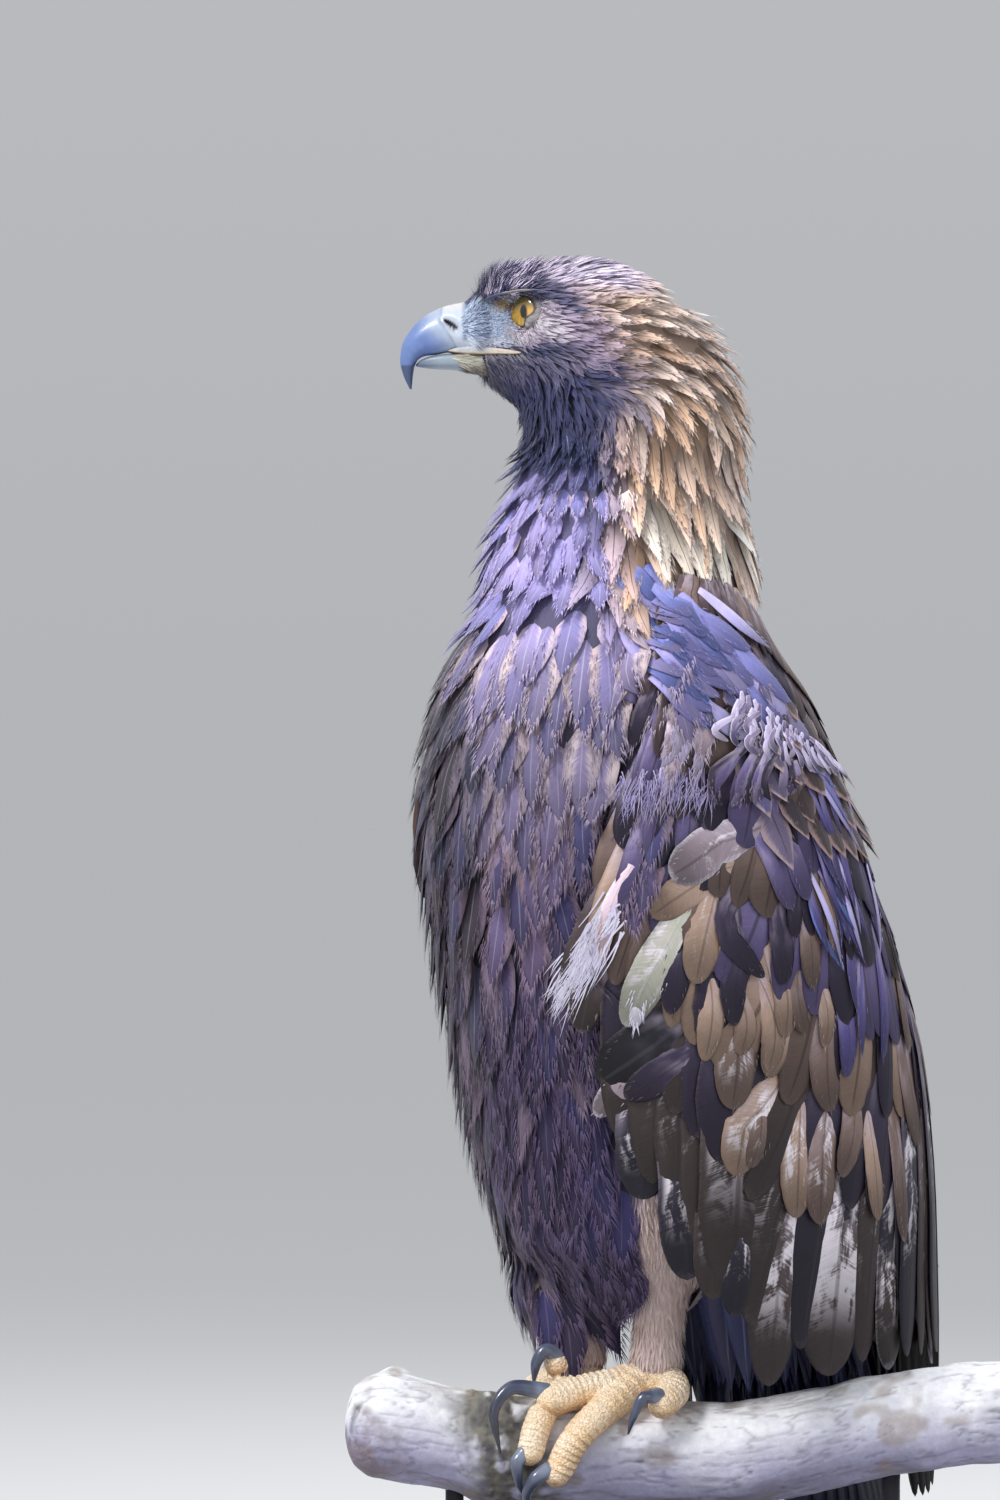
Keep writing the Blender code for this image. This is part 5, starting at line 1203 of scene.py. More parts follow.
    dark = lambda at, chance: mix(np.array((.035, .035, .105)), np.array((.72, .63, .80)), np.clip(smooth(.50, .75, chance) * (.55 + .45 * smooth(-.066, -.052, at @ ALONG)), 0, 1))
    bristles(coat, p, tri, brow_root, 700, steep, lambda at: .0082 + 0 * at[:, 2], lambda at: .0022 + 0 * at[:, 2], lambda at: .00050 + 0 * at[:, 2], dark, rng, m=5)
    bristles(coat, SKIN_P, SKIN_T, lambda mid, nm: smooth(-.044, -.050, mid @ ALONG) * smooth(.6015, .6045, mid[:, 2]), 2600, lambda at, out, r: ALONG[None] * .8 + UP[None] * r.normal(.65, .2, len(at))[:, None], lambda at: .0062 + 0 * at[:, 2], lambda at: .0020 + 0 * at[:, 2], lambda at: .00052 + 0 * at[:, 2], dark, rng, m=5)
    spiky = lambda mid, nm: smooth(-.036, -.044, mid @ ALONG) * smooth(.6035, .6060, mid[:, 2])
    bristles(coat, SKIN_P, SKIN_T, spiky, 1500, lambda at, out, r: ALONG[None] * .9 + UP[None] * r.normal(.8, .2, len(at))[:, None], lambda at: .0095 + 0 * at[:, 2], lambda at: .0042 + .0022 * smooth(-.052, -.062, at @ ALONG), lambda at: .00060 + 0 * at[:, 2], dark, rng, m=4)
    # fine streaks round the eye, over the skin and out from the lids
    def eyeward(at, out, r):
        s, z, a = head_frame(at)
        ray = (s - EYE[0] - .002)[:, None] * ALONG[None] + (z - EYE[1])[:, None] * UP[None]
        return unit(ray) * .7 + ALONG[None] * .8 + UP[None] * r.normal(-.30, .2, len(at))[:, None]

    ring = lambda at, chance: ring_colour(at, chance, None, None, None)[0]
    bristles(coat, SKIN_P, SKIN_T, lambda mid, nm: eye_ring(mid), 3600, eyeward, lambda at: .0046 + 0 * at[:, 2], lambda at: .0013 + 0 * at[:, 2], lambda at: .00030 + 0 * at[:, 2], ring, rng)
    for lid in lids:
        lp, lt = mesh_arrays(lid)
        centre_s, centre_z = EYE[0] + .0030, EYE[1]

        def rim(mid, nm):
            s, z, a = head_frame(mid)
            way = np.arctan2(z - centre_z, s - centre_s)
            far = np.hypot(s - centre_s, z - centre_z)
            edge = np.interp(np.degrees(way), [-180, -120, -80, -42, 0, 40, 90, 130, 180], [.0090, .0098, .0084, .0050, .0062, .0074, .0096, .0094, .0090])
            return smooth(.0000, .0008, far - edge) * (nm @ ACROSS * np.sign(mid @ ACROSS - HEAD_MID) > .05) * (z < .6025)
        bristles(coat, lp, lt, rim, 1300, eyeward, lambda at: .0040 + 0 * at[:, 2], lambda at: .0010 + 0 * at[:, 2], lambda at: .00030 + 0 * at[:, 2], ring, rng)
    return [face, coat.finish()]


# ------------------------------------------------------------------ wings and tail
FRONTS = {1: LEFT_FRONT, -1: RIGHT_FRONT}
BOTTOMS = {1: LEFT_BOTTOM, -1: RIGHT_BOTTOM}


def share(side, z, ang):
    """How far round the wing from its front edge, 0 to 1."""
    begin = spline(FRONTS[side], z)[..., 0]
    return (ang - begin) / (WING_END - begin)


def over_wing(side, z0, a0, z1, a1, d0, d1, m, bow=0.0, power=1.0):
    """Centre lines on a wing from (height, angle) to (height, angle); d0 and d1 are depths under the CAD surface."""
    t = np.linspace(0, 1, m)[None, :]
    z0, a0, z1, a1, d0, d1, bow = [np.atleast_1d(np.asarray(v, float))[:, None] for v in (z0, a0, z1, a1, d0, d1, bow)]
    z = z0 + (z1 - z0) * t
    ang = a0 + (a1 - a0) * t + bow * np.sin(math.pi * t)
    ang = np.minimum(ang, 88.6)
    p, n = cloak(z, ang), cloak_normal(z, ang)
    u = share(side, z, ang)
    thick = .012 + 0 * u
    flank = np.sin(np.clip(u / .10, 0, 1) * math.pi / 2)
    depth = d0 + (d1 - d0) * t ** power + .75 * thick * (1 - flank)
    p = p - n * depth[..., None]
    p[..., 0] = np.maximum(p[..., 0], .0022)
    p[..., 0] *= side
    n = n.copy()
    n[..., 0] *= side
    line = unit(np.gradient(p, axis=1))
    n = unit(n - line * np.sum(n * line, axis=-1, keepdims=True))
    return p, unit(np.cross(line, n)), n


def pixel_to_wing(u, v):
    """Photo place on the near, left wing -> height, angle."""
    u, v = np.atleast_1d(np.asarray(u, float)), np.atleast_1d(np.asarray(v, float))
    s, z = (u - 600) * PX, (1395 - v) * PX
    angles = np.linspace(-62, 76, 140)
    out = np.zeros_like(s)
    for i in range(len(s)):
        line = cloak(np.full(140, z[i]), angles) @ ALONG
        top = int(np.argmax(line))
        out[i] = np.interp(s[i], line[:top + 1], angles[:top + 1])
    return z, out


# Feathers that the photo shows one by one on the near wing:
# root x, y, tip x, y, half width (px), colour, edge, edge reach, marbling, shaft, layer, shape
NEAR = [
    # secondaries
    (645, 1050, 634, 1197, 27, "second_dark", "second_rim", .10, .45, .2, 0, "flight"), (690, 1050, 684, 1273, 27, "second_dark", "grey", .14, .75, .2, 0, "flight"),
    (735, 1080, 712, 1292, 24, "second", "second_rim", .12, .55, .1, 0, "flight"), (768, 1130, 736, 1310, 19, "second_dark", "second_rim", .12, .40, .2, .2, "flight"),
    (803, 1110, 771, 1380, 31, "second", "second_rim", .10, .80, .1, .4, "flight"), (855, 1120, 832, 1373, 41, "second", "second_rim", .10, .95, .0, .8, "flight"),
    (908, 1160, 897, 1371, 27, "second", "white", .16, .70, .1, .3, "flight"), (912, 1100, 920, 1330, 25, "second_dark", "second_rim", .10, .10, .2, 1.0, "flight"),
    (926, 1170, 947, 1370, 21, "covert_violet", "white", .22, .35, .2, .5, "flight"), (925, 1080, 943, 1290, 13, "purple", "second_rim", .10, .0, .3, .9, "flight"),
    # greater coverts
    (708, 1000, 592, 1079, 35, "black", "grey", .10, .0, .4, 2.2, "round"), (655, 1055, 584, 1114, 15, "grey", "white", .30, .0, .4, 2.0, "round"), (712, 1035, 620, 1092, 20, "covert_dark", "covert_rim", .12, .0, .1, 1.9, "round"),
    (742, 975, 731, 1103, 28, "covert", "covert_rim", .12, .55, .05, 2.0, "round"), (795, 990, 768, 1072, 19, "covert_tan", "covert", .12, .0, .05, 2.3, "round"), (838, 985, 832, 1108, 24, "covert", "covert_rim", .12, .0, .05, 2.2, "round"),
    (792, 1066, 736, 1169, 26, "covert_tan", "covert_rim", .10, .75, .05, 1.5, "round"), (806, 1090, 798, 1213, 22, "covert_tan", "covert_rim", .14, .60, .05, 1.4, "round"), (834, 1085, 822, 1220, 24, "covert", "covert_rim", .10, .55, .05, 1.8, "round"),
    (855, 1075, 843, 1173, 19, "covert", "covert_rim", .10, .0, .1, 2.0, "round"), (874, 1100, 883, 1219, 15, "covert_tan", "covert_rim", .12, .0, .1, 1.9, "round"), (898, 1085, 911, 1242, 16, "covert", "pink", .16, .0, .1, 2.0, "round"),
    (908, 1020, 927, 1147, 24, "covert", "covert_rim", .10, .0, .1, 2.4, "round"), (760, 1080, 752, 1160, 18, "covert", "covert_rim", .10, .30, .1, 1.2, "round"),
    # median coverts
    (737, 890, 733, 1021, 18, "covert_dark", "covert_rim", .10, .0, .1, 3.0, "round"), (727, 868, 693, 979, 22, "covert_tan", "covert_rim", .18, .25, .1, 3.2, "round"), (685, 893, 667, 1009, 17, "covert_dark", "covert_rim", .12, .0, .2, 2.9, "round"),
    (706, 950, 702, 1055, 16, "covert_tan", "covert_rim", .10, .0, .05, 2.6, "round"), (732, 970, 742, 1050, 16, "covert_tan", "covert", .10, .0, .05, 2.5, "round"), (757, 965, 767, 1066, 17, "covert_tan", "covert_rim", .10, .0, .05, 2.6, "round"),
    (772, 940, 784, 1033, 18, "covert_tan", "covert_rim", .14, .0, .05, 2.8, "round"), (803, 950, 806, 1030, 15, "covert", "covert_rim", .12, .0, .1, 2.7, "round"), (818, 965, 825, 1044, 13, "covert_tan", "cream", .16, .0, .05, 2.9, "round"),
    (840, 965, 848, 1074, 15, "purple", "covert_rim", .10, .0, .2, 2.9, "round"), (868, 945, 864, 1055, 9, "purple", "violet", .16, .0, .3, 3.3, "point"), (880, 915, 886, 1058, 10, "purple", "covert_violet", .14, .0, .3, 3.1, "round"),
    (893, 905, 915, 1052, 12, "covert", "pink", .18, .0, .1, 3.0, "round"), (902, 925, 942, 1119, 13, "covert", "covert_rim", .14, .0, .1, 2.7, "round"), (856, 895, 859, 1012, 8, "purple", "violet", .20, .0, .3, 3.4, "point"),
    # lesser coverts
    (747, 812, 790, 907, 19, "covert_violet", "grey", .14, .0, .3, 4.2, "round"), (774, 806, 807, 898, 18, "covert_violet", "violet", .14, .0, .3, 4.4, "round"), (803, 806, 846, 903, 11, "purple", "violet", .16, .0, .3, 4.3, "round"),
    (752, 866, 763, 973, 15, "covert_dark", "covert_rim", .10, .0, .2, 3.9, "round"), (777, 886, 783, 981, 17, "covert_dark", "covert_violet", .10, .0, .2, 3.7, "round"), (806, 890, 812, 985, 15, "covert", "covert_rim", .12, .0, .1, 3.6, "round"),
    (823, 870, 833, 946, 12, "covert_tan", "covert_rim", .12, .0, .1, 3.9, "round"), (845, 862, 850, 938, 9, "purple", "violet", .14, .0, .3, 4.0, "round"), (863, 805, 882, 959, 6, "violet", "pink", .20, .0, .6, 4.2, "point"),
    (884, 862, 907, 977, 8, "covert_dark", "covert_rim", .10, .0, .2, 3.8, "round"), (800, 865, 795, 935, 12, "covert_dark", "covert_violet", .10, .0, .2, 3.8, "round"),
    # displaced feathers at the bend of the wing
    (768, 822, 667, 873, 26, "grey", "white", .26, .35, .1, 5.0, "round"), (748, 860, 648, 912, 20, "covert_tan", "covert_rim", .12, .2, .1, 4.3, "round"), (694, 890, 622, 1021, 22, "green", "white", .16, .55, .6, 4.6, "round"),
    (660, 950, 632, 1022, 11, "white", "violet", .20, .0, .6, 4.9, "round"), (630, 862, 600, 952, 10, "pink", "white", .34, .0, .3, 5.2, "round"), (618, 930, 574, 1030, 20, "second", "pink", .14, .0, .3, 2.6, "round"),
    # scapulars and smooth blue shoulder
    (636, 596, 693, 650, 10, "blue_deep", "blue", .16, .0, .4, 6.0, "round"), (648, 630, 695, 679, 12, "blue", "violet", .16, .0, .4, 5.9, "round"), (650, 652, 707, 703, 12, "blue_deep", "blue", .14, .0, .4, 5.8, "round"),
    (664, 684, 715, 727, 12, "blue_deep", "blue", .14, .0, .4, 5.7, "round"), (644, 580, 748, 650, 15, "blue", "violet", .18, .0, .6, 6.6, "round"), (664, 604, 745, 692, 16, "violet", "blue", .20, .0, .6, 6.4, "round"),
    (696, 630, 792, 738, 20, "blue", "violet", .18, .0, .6, 6.2, "round"), (682, 594, 788, 702, 15, "blue", "violet", .22, .0, .6, 6.7, "round"), (714, 628, 814, 746, 13, "violet", "blue", .20, .0, .6, 6.5, "round"),
    (742, 655, 836, 792, 11, "blue", "violet", .18, .0, .6, 6.4, "point"), (766, 690, 851, 828, 9, "blue", "violet", .20, .0, .6, 6.2, "point"), (782, 722, 863, 854, 8, "violet", "blue", .20, .0, .6, 6.1, "point"),
    (698, 682, 744, 738, 13, "violet", "pink", .18, .0, .6, 5.9, "round"), (700, 588, 770, 650, 10, "violet", "blue", .20, .0, .6, 6.8, "point"),
]
LAYER0 = .0062  # depth of the lowest layer's tips under the surface; each layer is raised by the step
LAYER_STEP = .00085


def near_wing(coat, hairs):
    rows = sorted(NEAR, key=lambda r: r[10])
    rng = np.random.default_rng(5)
    extra = []
    for row, (y0, x0, x1) in enumerate([(742, 700, 772), (722, 690, 790), (700, 676, 786), (680, 668, 775), (660, 660, 762), (640, 655, 748), (622, 652, 735), (604, 650, 716), (590, 648, 700)]):  # smooth blue shoulder, row over row
        for x in np.arange(x0, x1, 13.0):
            tilt = smooth(640, 780, x)
            root = (x - 40 + 8 * tilt + 3 * rng.standard_normal(), y0 - 46 + 3 * rng.standard_normal() + (x - x0) * .42)
            tip_ = (x + 16 + 3 * rng.standard_normal(), y0 + 16 + 3 * rng.standard_normal() + (x - x0) * .46 + 14 * tilt)
            if tip_[1] > (704 if tip_[0] < 735 else 700 + (tip_[0] - 735) * .55) + (30 if tip_[0] < 712 else 0):
                continue
            name = rng.choice(["shoulder", "shoulder_b", "shoulder_c"], p=[.5, .3, .2])
            extra.append((*root, *tip_, 11 + 2 * rng.random(), name, rng.choice(["shoulder_b", "shoulder"]), .16, .0, .56, 5.9 + .12 * row, "round"))
    for i in range(12):  # fan under the white crest
        extra.append((742 + 4.6 * i, 742 + 1.6 * i, 711 + 8.0 * i, 803 + 9 * math.sin(i / 11 * math.pi) - 1.6 * i, 7.2, ("covert_violet", "covert_dark", "fan")[i % 3], "pink", .12, .0, .3, 7.2 + .05 * i, "round"))
    for j in range(4):  # small white scales over it, row under row
        for i in range(13):
            q = i / 12
            way = math.radians(104 - 62 * q)
            x, y = 737 + 74 * q + 8.5 * j * math.cos(way), 697 + 50 * q + 8.5 * j * math.sin(way) - 5
            extra.append((x, y, x + 25 * math.cos(way), y + 25 * math.sin(way), 4.6, ("crest", "fan", "crest", "covert_violet")[(i + 2 * j) % 4], "white", .34, .0, .30, 9.2 - .3 * j + .02 * i, "round"))
    for i in range(26):  # narrow streaks down the far side
        x, y = 800 + 60 * rng.random(), 735 + 135 * rng.random()
        extra.append((x, y, x + 20 + 14 * rng.random(), y + 78 + 30 * rng.random(), 4.2 + 3 * rng.random(), rng.choice(["violet", "purple", "purple", "covert_violet", "blue_deep"]), rng.choice(["violet", "purple", "blue_deep"]), .2, .0, .5, 4.6 + 1.2 * rng.random(), "point"))
    for i in range(9):  # downy patches in the gap
        x, y = 672 + 44 * rng.random(), 702 + 46 * rng.random()
        extra.append((x, y, x - 10 - 8 * rng.random(), y + 40 + 12 * rng.random(), 8 + 3 * rng.random(), rng.choice(["pink", "down", "crest"]), "crest", .35, .0, .5, 4.9 + .4 * rng.random(), "point"))
    rows = rows + extra
    for r in rows:
        ru, rv, tu, tv, half, colour, edge, reach, marble, shaft, layer, shape = r
        (z0, z1), (a0, a1) = pixel_to_wing([ru, tu], [rv, tv])
        tip = LAYER0 - LAYER_STEP * layer
        shaft = .5 + (shaft - .5) * .62
        chance = rng.random()
        grow = .92 if shape != "flight" else 1.0
        mid, side, norm = over_wing(1, [z0], [a0], [z1], [a1], [tip + (.0034 if layer < 7 else .0008) + .0012 * (shape == "flight")], [max(tip, .0004)], 18 if shape == "flight" else 15, bow=1.6 * rng.standard_normal() * (.4 if shape == "flight" else 1) * (half < 40), power=.8)
        length = float(np.linalg.norm(np.diff(mid[0], axis=0), axis=1).sum())
        # a slight lean, so that overlapping edges throw a line of shade
        roll = .05 + .03 * rng.standard_normal()
        side, norm = side * math.cos(roll) + norm * math.sin(roll), norm * math.cos(roll) - side * math.sin(roll)
        value = 1 + .18 * (rng.random() - .5)
        value = value * (1 - .74 * float(smooth(890, 925, ru) * smooth(980, 1040, rv)))
        w = half * PX * grow
        coat.add(mid, side, norm, np.array([w]), np.array([length]), (C[colour] * value)[None], C[edge][None], np.array([reach]), np.array([chance]), kind=shape, cols=5 if half > 10 else 2, dome=.13, marbling=marble, shaft=shaft, ragged=.035, thick=.00035, rng=rng)
        if half > 5 and shape != "flight":
            fringe(hairs, mid, side, norm, np.array([w]), np.array([length]), (C[edge] * .25 + C[colour] * .7)[None], np.array([chance]), 10 if colour not in ("pink", "down", "white", "cream") else 26, .0030 if colour not in ("pink", "down", "white", "cream") else .0055, .35, int(ru * 7 + rv), start=.5, inner=.93 if colour not in ("pink", "down", "white", "cream") else .5)
    # pale down where the scapulars part, above the displaced feathers
    n = 240
    ru, rv = 616 + 96 * rng.random(n), 766 + 30 * rng.random(n)
    tu, tv = ru - 18 + 24 * rng.random(n), rv + 14 + 20 * rng.random(n)
    za, aa = pixel_to_wing(ru, rv)
    zb, ab = pixel_to_wing(tu, tv)
    mid, side, norm = over_wing(1, za, aa, zb, ab, np.full(n, .0030), np.full(n, .0008), 4, bow=.35 * rng.standard_normal(n))
    tint = mix(mix(C["crest"], C["shoulder_b"], rng.random(n)), C["covert_violet"], (rng.random(n) < .4) * .7)
    hairs.add(mid, side, norm, np.full(n, .00032), np.full(n, .02), tint, tint, .05, rng.random(n), kind="hair", cols=1, dome=0, shaft=.5, ragged=0, rng=rng)
    # the white hair-like fringe at the wing's front edge
    n = 150
    t = rng.random(n)
    ru, rv = 612 - 42 * t + 8 * rng.standard_normal(n), 905 + 62 * t + 8 * rng.standard_normal(n)
    tu, tv = ru - 22 - 20 * rng.random(n), rv + 34 + 34 * rng.random(n)
    za, aa = pixel_to_wing(ru, rv)
    zb, ab = pixel_to_wing(tu, tv)
    mid, side, norm = over_wing(1, za, aa, zb, ab, np.full(n, .0030), np.full(n, .0006), 5, bow=1.5 * rng.standard_normal(n))
    tint = mix(C["white"], C["violet"], rng.random(n) * .5)
    hairs.add(mid, side, norm, np.full(n, .0006), np.full(n, .03), tint, tint, .05, rng.random(n), kind="hair", cols=1, dome=0, shaft=.5, ragged=0, rng=rng)


def wing_rows(coat, side, seed, sink=0.0):
    """Rows of flight feathers and coverts over a whole wing, root rows over tip rows."""
    rng = np.random.default_rng(seed)
    front, bottom = FRONTS[side], BOTTOMS[side]
    rows = [  # tip v, length in v, count, layer, shape, colours
        (1.00, .60, 15, 0.0, "flight", ("second", "second_dark", "second")), (.80, .34, 17, 1.1, "round", ("covert", "second", "covert_dark")), (.67, .27, 19, 1.9, "round", ("covert", "covert_dark", "covert_tan")),
        (.56, .22, 21, 2.6, "round", ("covert_dark", "covert", "covert_violet")), (.46, .19, 23, 3.3, "round", ("covert_dark", "covert_violet", "covert")), (.37, .16, 24, 3.9, "round", ("covert_dark", "mantle", "covert_violet")),
        (.29, .15, 24, 4.4, "round", ("mantle", "covert_dark", "covert")), (.215, .13, 23, 4.9, "point", ("mantle", "covert_dark", "mantle")), (.145, .12, 22, 5.3, "point", ("mantle", "covert_dark", "mantle")), (.08, .11, 20, 5.7, "point", ("mantle", "covert", "mantle")),
    ]
    for tip_v, run_v, count, layer, shape, colours in rows:
        if shape == "flight":
            u = np.concatenate([np.linspace(.03, .76, count), np.linspace(.80, .985, 8)])
        else:
            u = np.linspace(.035, .975, count) + .012 * rng.standard_normal(count) * .5
        u = np.clip(u, .02, .985)
        primary = (u > .79) & (shape == "flight")
        tv = np.clip(tip_v - .015 * rng.random(len(u)) * (tip_v < 1), 0, 1)
        rv = np.where(primary, .14, np.maximum(tip_v - run_v, -.02))
        tu = np.clip(u + .010 * rng.standard_normal(len(u)) * (shape != "flight"), .015, .985)
        ru = np.clip(u + (.03 if side > 0 else .02) * (u < .7), .02, .985)

        def at(uu, vv):
            high, low = spline(WING_TOP, uu)[..., 0], spline(bottom, uu)[..., 0]
            edge = float(spline(WING_TOP, 0)[0]) * (1 - vv) + float(spline(bottom, 0)[0]) * vv
            begin = spline(front, edge)[..., 0]
            return high * (1 - vv) + low * vv, begin + (WING_END - begin) * uu

        z0, a0 = at(ru, rv)
        z1, a1 = at(tu, tv)
        tip = LAYER0 - LAYER_STEP * layer + sink + (u > .6) * .0003
        tip = np.where((shape == "flight") & (u > .6), .0016 + .0030 * (1 - (u - .6) / .4), tip)
        m = 18 if shape == "flight" else 13
        mid, sd, norm = over_wing(side, z0, a0, z1, a1, tip + .0036, np.maximum(tip, .0005), m, power=.8)
        length = np.linalg.norm(np.diff(mid, axis=1), axis=2).sum(1)
        spread = np.linalg.norm(np.diff(mid[:, m // 2], axis=0), axis=1)
        spread = np.concatenate([spread, spread[-1:]])
        half = np.clip(spread * (.80 if shape == "flight" else .72), .0055, .024)
        half = np.where(primary, .0105, half)
        if shape == "point":
            half = half * .95
        kinds = rng.integers(0, 3, len(u))
        tint = np.array([C[colours[k]] for k in kinds]) * (1 + .25 * (rng.random(len(u)) - .5))[:, None]
        tint[primary] = C["primary"] * .6 * (1 + .4 * rng.random(primary.sum()))[:, None]
        edge_colour = np.array([C["covert_rim"] if shape != "flight" else C["second_rim"]] * len(u))
        edge_colour = edge_colour * np.where(primary, .35, .55 if shape == "point" else 1.0)[:, None]
        tint = tint * (1 - (.72 if side > 0 else .45) * smooth(.70, .84, u))[:, None]
        edge_colour = edge_colour * (1 - .6 * smooth(.70, .84, u))[:, None]
        marble = np.where(primary, 0.0, (shape == "flight") * rng.uniform(.2, .8, len(u)))
        roll = .05 * side
        sd, norm = sd * math.cos(roll) + norm * math.sin(roll), norm * math.cos(roll) - sd * math.sin(roll)
        coat.add(mid, sd, norm, half, length, tint, edge_colour, .11, rng.random(len(u)), kind=shape, cols=3, dome=.12, marbling=marble, shaft=.12, ragged=.035, thick=.00035, rng=rng)


def tail_coat(coat):
    """Twelve feathers in a narrow fan, coverts above and below at their roots."""
    rng = np.random.default_rng(23)
    run = TAIL_TIP - TAIL_ROOT
    axis = unit(run)
    outward = unit(np.array((0, 1.0, 0)) - axis * axis[1])
    length = float(np.linalg.norm(run))
    m = 14
    t = np.linspace(0, 1, m)
    order = sorted(range(12), key=lambda i: -abs(i - 5.5))
    for rank, i in enumerate(order):
        w = (i - 5.5) / 5.5
        reach = 1 - (.016 * w * w + .004) / length
        wide = spline(TAIL_WIDTH, t)[:, 0]
        x = wide * w * .80
        lift = (rank / 11 - .5) * .0022
        mid = TAIL_ROOT + run * (t * reach)[:, None] - outward * (TAIL_ARCH * w * w * t)[:, None] + np.array((1.0, 0, 0)) * x[:, None] + outward * lift
        line = unit(np.gradient(mid, axis=0))
        norm = unit(outward[None] + np.array((.35 * w, 0, 0))[None] - 0 * line)
        norm = unit(norm - line * np.sum(norm * line, axis=-1, keepdims=True))
        side = unit(np.cross(line, norm))
        marble = .25
        coat.add(mid[None], side[None], norm[None], np.array([.0125]), np.array([length]), (C["tail"] * (1 + .3 * rng.random()))[None], (C["tail_blue"] * 1.6)[None], np.array([.12]), np.array([rng.random()]), kind="flight", cols=3, dome=.06, marbling=marble, shaft=.2, ragged=.03, thick=.0004, rng=rng)
    # long undertail coverts, hanging dark between the legs and the tail
    for i in range(11):
        for j in range(11):
            x0, y0 = -.034 + .0085 * i + .004 * rng.standard_normal(), .052 + .0085 * j + .003 * rng.standard_normal()
            t_ = np.linspace(0, 1, 8)
            top_, low_ = .150 - .10 * max(0, .07 - y0), float(np.interp(x0 * ACROSS[0] + y0 * ACROSS[1], [-.058, -.046], [-.034, .000])) + .008 * rng.random()
            mid = np.stack([x0 * (1 - .10 * t_), y0 + .012 * t_ ** 1.5, top_ + (low_ - top_) * t_], 1)
            line = unit(np.gradient(mid, axis=0))
            face = unit(np.array((.9 * (i - 4) / 4 + .5, -.8 if j < 4 else .4, 0)))
            norm = unit(face[None] - line * np.sum(line * face, axis=-1, keepdims=True))
            coat.add(mid[None], unit(np.cross(line, norm))[None], norm[None], np.array([.0125]), np.array([.145]), (mix(C["tail"], C["tail_blue"], .8 * rng.random()) * (1 + .7 * rng.random()))[None], (C["tail_blue"] * 2.6)[None], np.array([.18]), np.array([rng.random()]), kind="point", cols=3, dome=.14, marbling=0.0, shaft=.6, ragged=.05, thick=.0003, rng=rng)
    # coverts over the roots of the tail, on its upper side
    for row, (start, long, half) in enumerate([(.30, .085, .013), (.16, .080, .013), (.02, .075, .012)]):
        for w in np.linspace(-.8, .8, 6 - (row % 2)):
            reach = np.linspace(start, start + long / length, 8)
            wide = spline(TAIL_WIDTH, reach)[:, 0]
            mid = TAIL_ROOT + run * reach[:, None] - outward * (TAIL_ARCH * w * w * reach)[:, None] + np.array((1.0, 0, 0)) * (wide * w)[:, None] + outward * (.0020 + .0006 * row - .0090 * smooth(.45, 0, np.linspace(0, 1, 8)))[:, None]
            line = unit(np.gradient(mid, axis=0))
            norm = unit(outward[None] + np.array((.3 * w, 0, 0))[None] + 0 * line)
            norm = unit(norm - line * np.sum(norm * line, axis=-1, keepdims=True))
            coat.add(mid[None], unit(np.cross(line, norm))[None], norm[None], np.array([half]), np.array([long]), (C["covert_dark"] * (1 + .4 * rng.random()))[None], C["covert_rim"][None], np.array([.10]), np.array([rng.random()]), kind="round", cols=2, dome=.12, shaft=.2, ragged=.04, thick=.0003, rng=rng)


def wings():
    near = Coat("wing_left_feathers", MAT["flight"], "plumage_wing")
    far = Coat("wing_right_feathers", MAT["flight"], "plumage_wing")
    tail = Coat("tail_feathers", MAT["flight"], "plumage_tail")
    hairs = Coat("wing_fringe", MAT["down"], "plumage_wing")
    wing_rows(near, 1, 31, sink=.0009)
    near_wing(near, hairs)
    wing_rows(far, -1, 41)
    tail_coat(tail)
    made = [near.finish(), far.finish(), tail.finish(), hairs.finish()]
    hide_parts("wing_left")
    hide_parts("wing_right")
    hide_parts("tail")
    return made


# ------------------------------------------------------------------ bill
def coloured(name, roughness, bump=0.2, fine=700.0, coat=0.0, spec=0.5, dirt=0.25, distance=0.0006, streak=(1, 1, 1)):
    """A material whose colour is the painted tint, broken up by fine noise."""
    t = Tree(name, roughness=roughness, Coat_Weight=coat, Coat_Roughness=0.12)
    t.shader.inputs["Specular IOR Level"].default_value = spec
    point = t.scaled(t.object_point(), streak)
    fine_noise, broad = t.noise(point, fine, 4.0, 0.6), t.noise(point, fine * .16, 3.0)
    value = t.math("ADD", 1 - dirt, t.math("MULTIPLY", t.math("ADD", fine_noise, broad), dirt))
    t.bump(t.math("ADD", fine_noise, broad), bump, distance)
    return t.colour(t.mix(1.0, t.attribute("tint").outputs["Color"], t.combine(value, value, value), "MULTIPLY"))


def scaly():
    """Toe skin: fine round scales between the plates."""
    t = Tree("toe_scales", roughness=0.46)
    t.shader.inputs["Specular IOR Level"].default_value = 0.45
    point = t.object_point()
    cells, fine = t.cells(point, 780.0), t.noise(point, 420.0, 3.0)
    crease = t.ramp(cells, 0.30, 0.80, 1.0, 0.0)
    value = t.math("ADD", 0.66, t.math("ADD", t.math("MULTIPLY", crease, 0.32), t.math("MULTIPLY", fine, 0.26)))
    t.bump(t.math("ADD", crease, t.math("MULTIPLY", fine, 0.4)), 0.7, 0.0007)
    return t.colour(t.mix(1.0, t.attribute("tint").outputs["Color"], t.combine(value, value, value), "MULTIPLY"))


MAT["horn"] = coloured("bill_horn", 0.38, 0.10, 420.0, coat=0.12, spec=0.42, dirt=0.16)
MAT["claw"] = coloured("claw_horn", 0.26, 0.12, 500.0, coat=0.45, dirt=0.22)
MAT["toe"] = scaly()
MAT["lid"] = coloured("lid_skin", 0.45, 0.25, 1500.0, dirt=0.25)
MAT["wood"] = coloured("weathered_wood", 0.85, 0.55, 260.0, dirt=0.42, distance=0.0012)
MAT["stand"] = coloured("stand_black", 0.42, 0.03, 900.0, dirt=0.05)


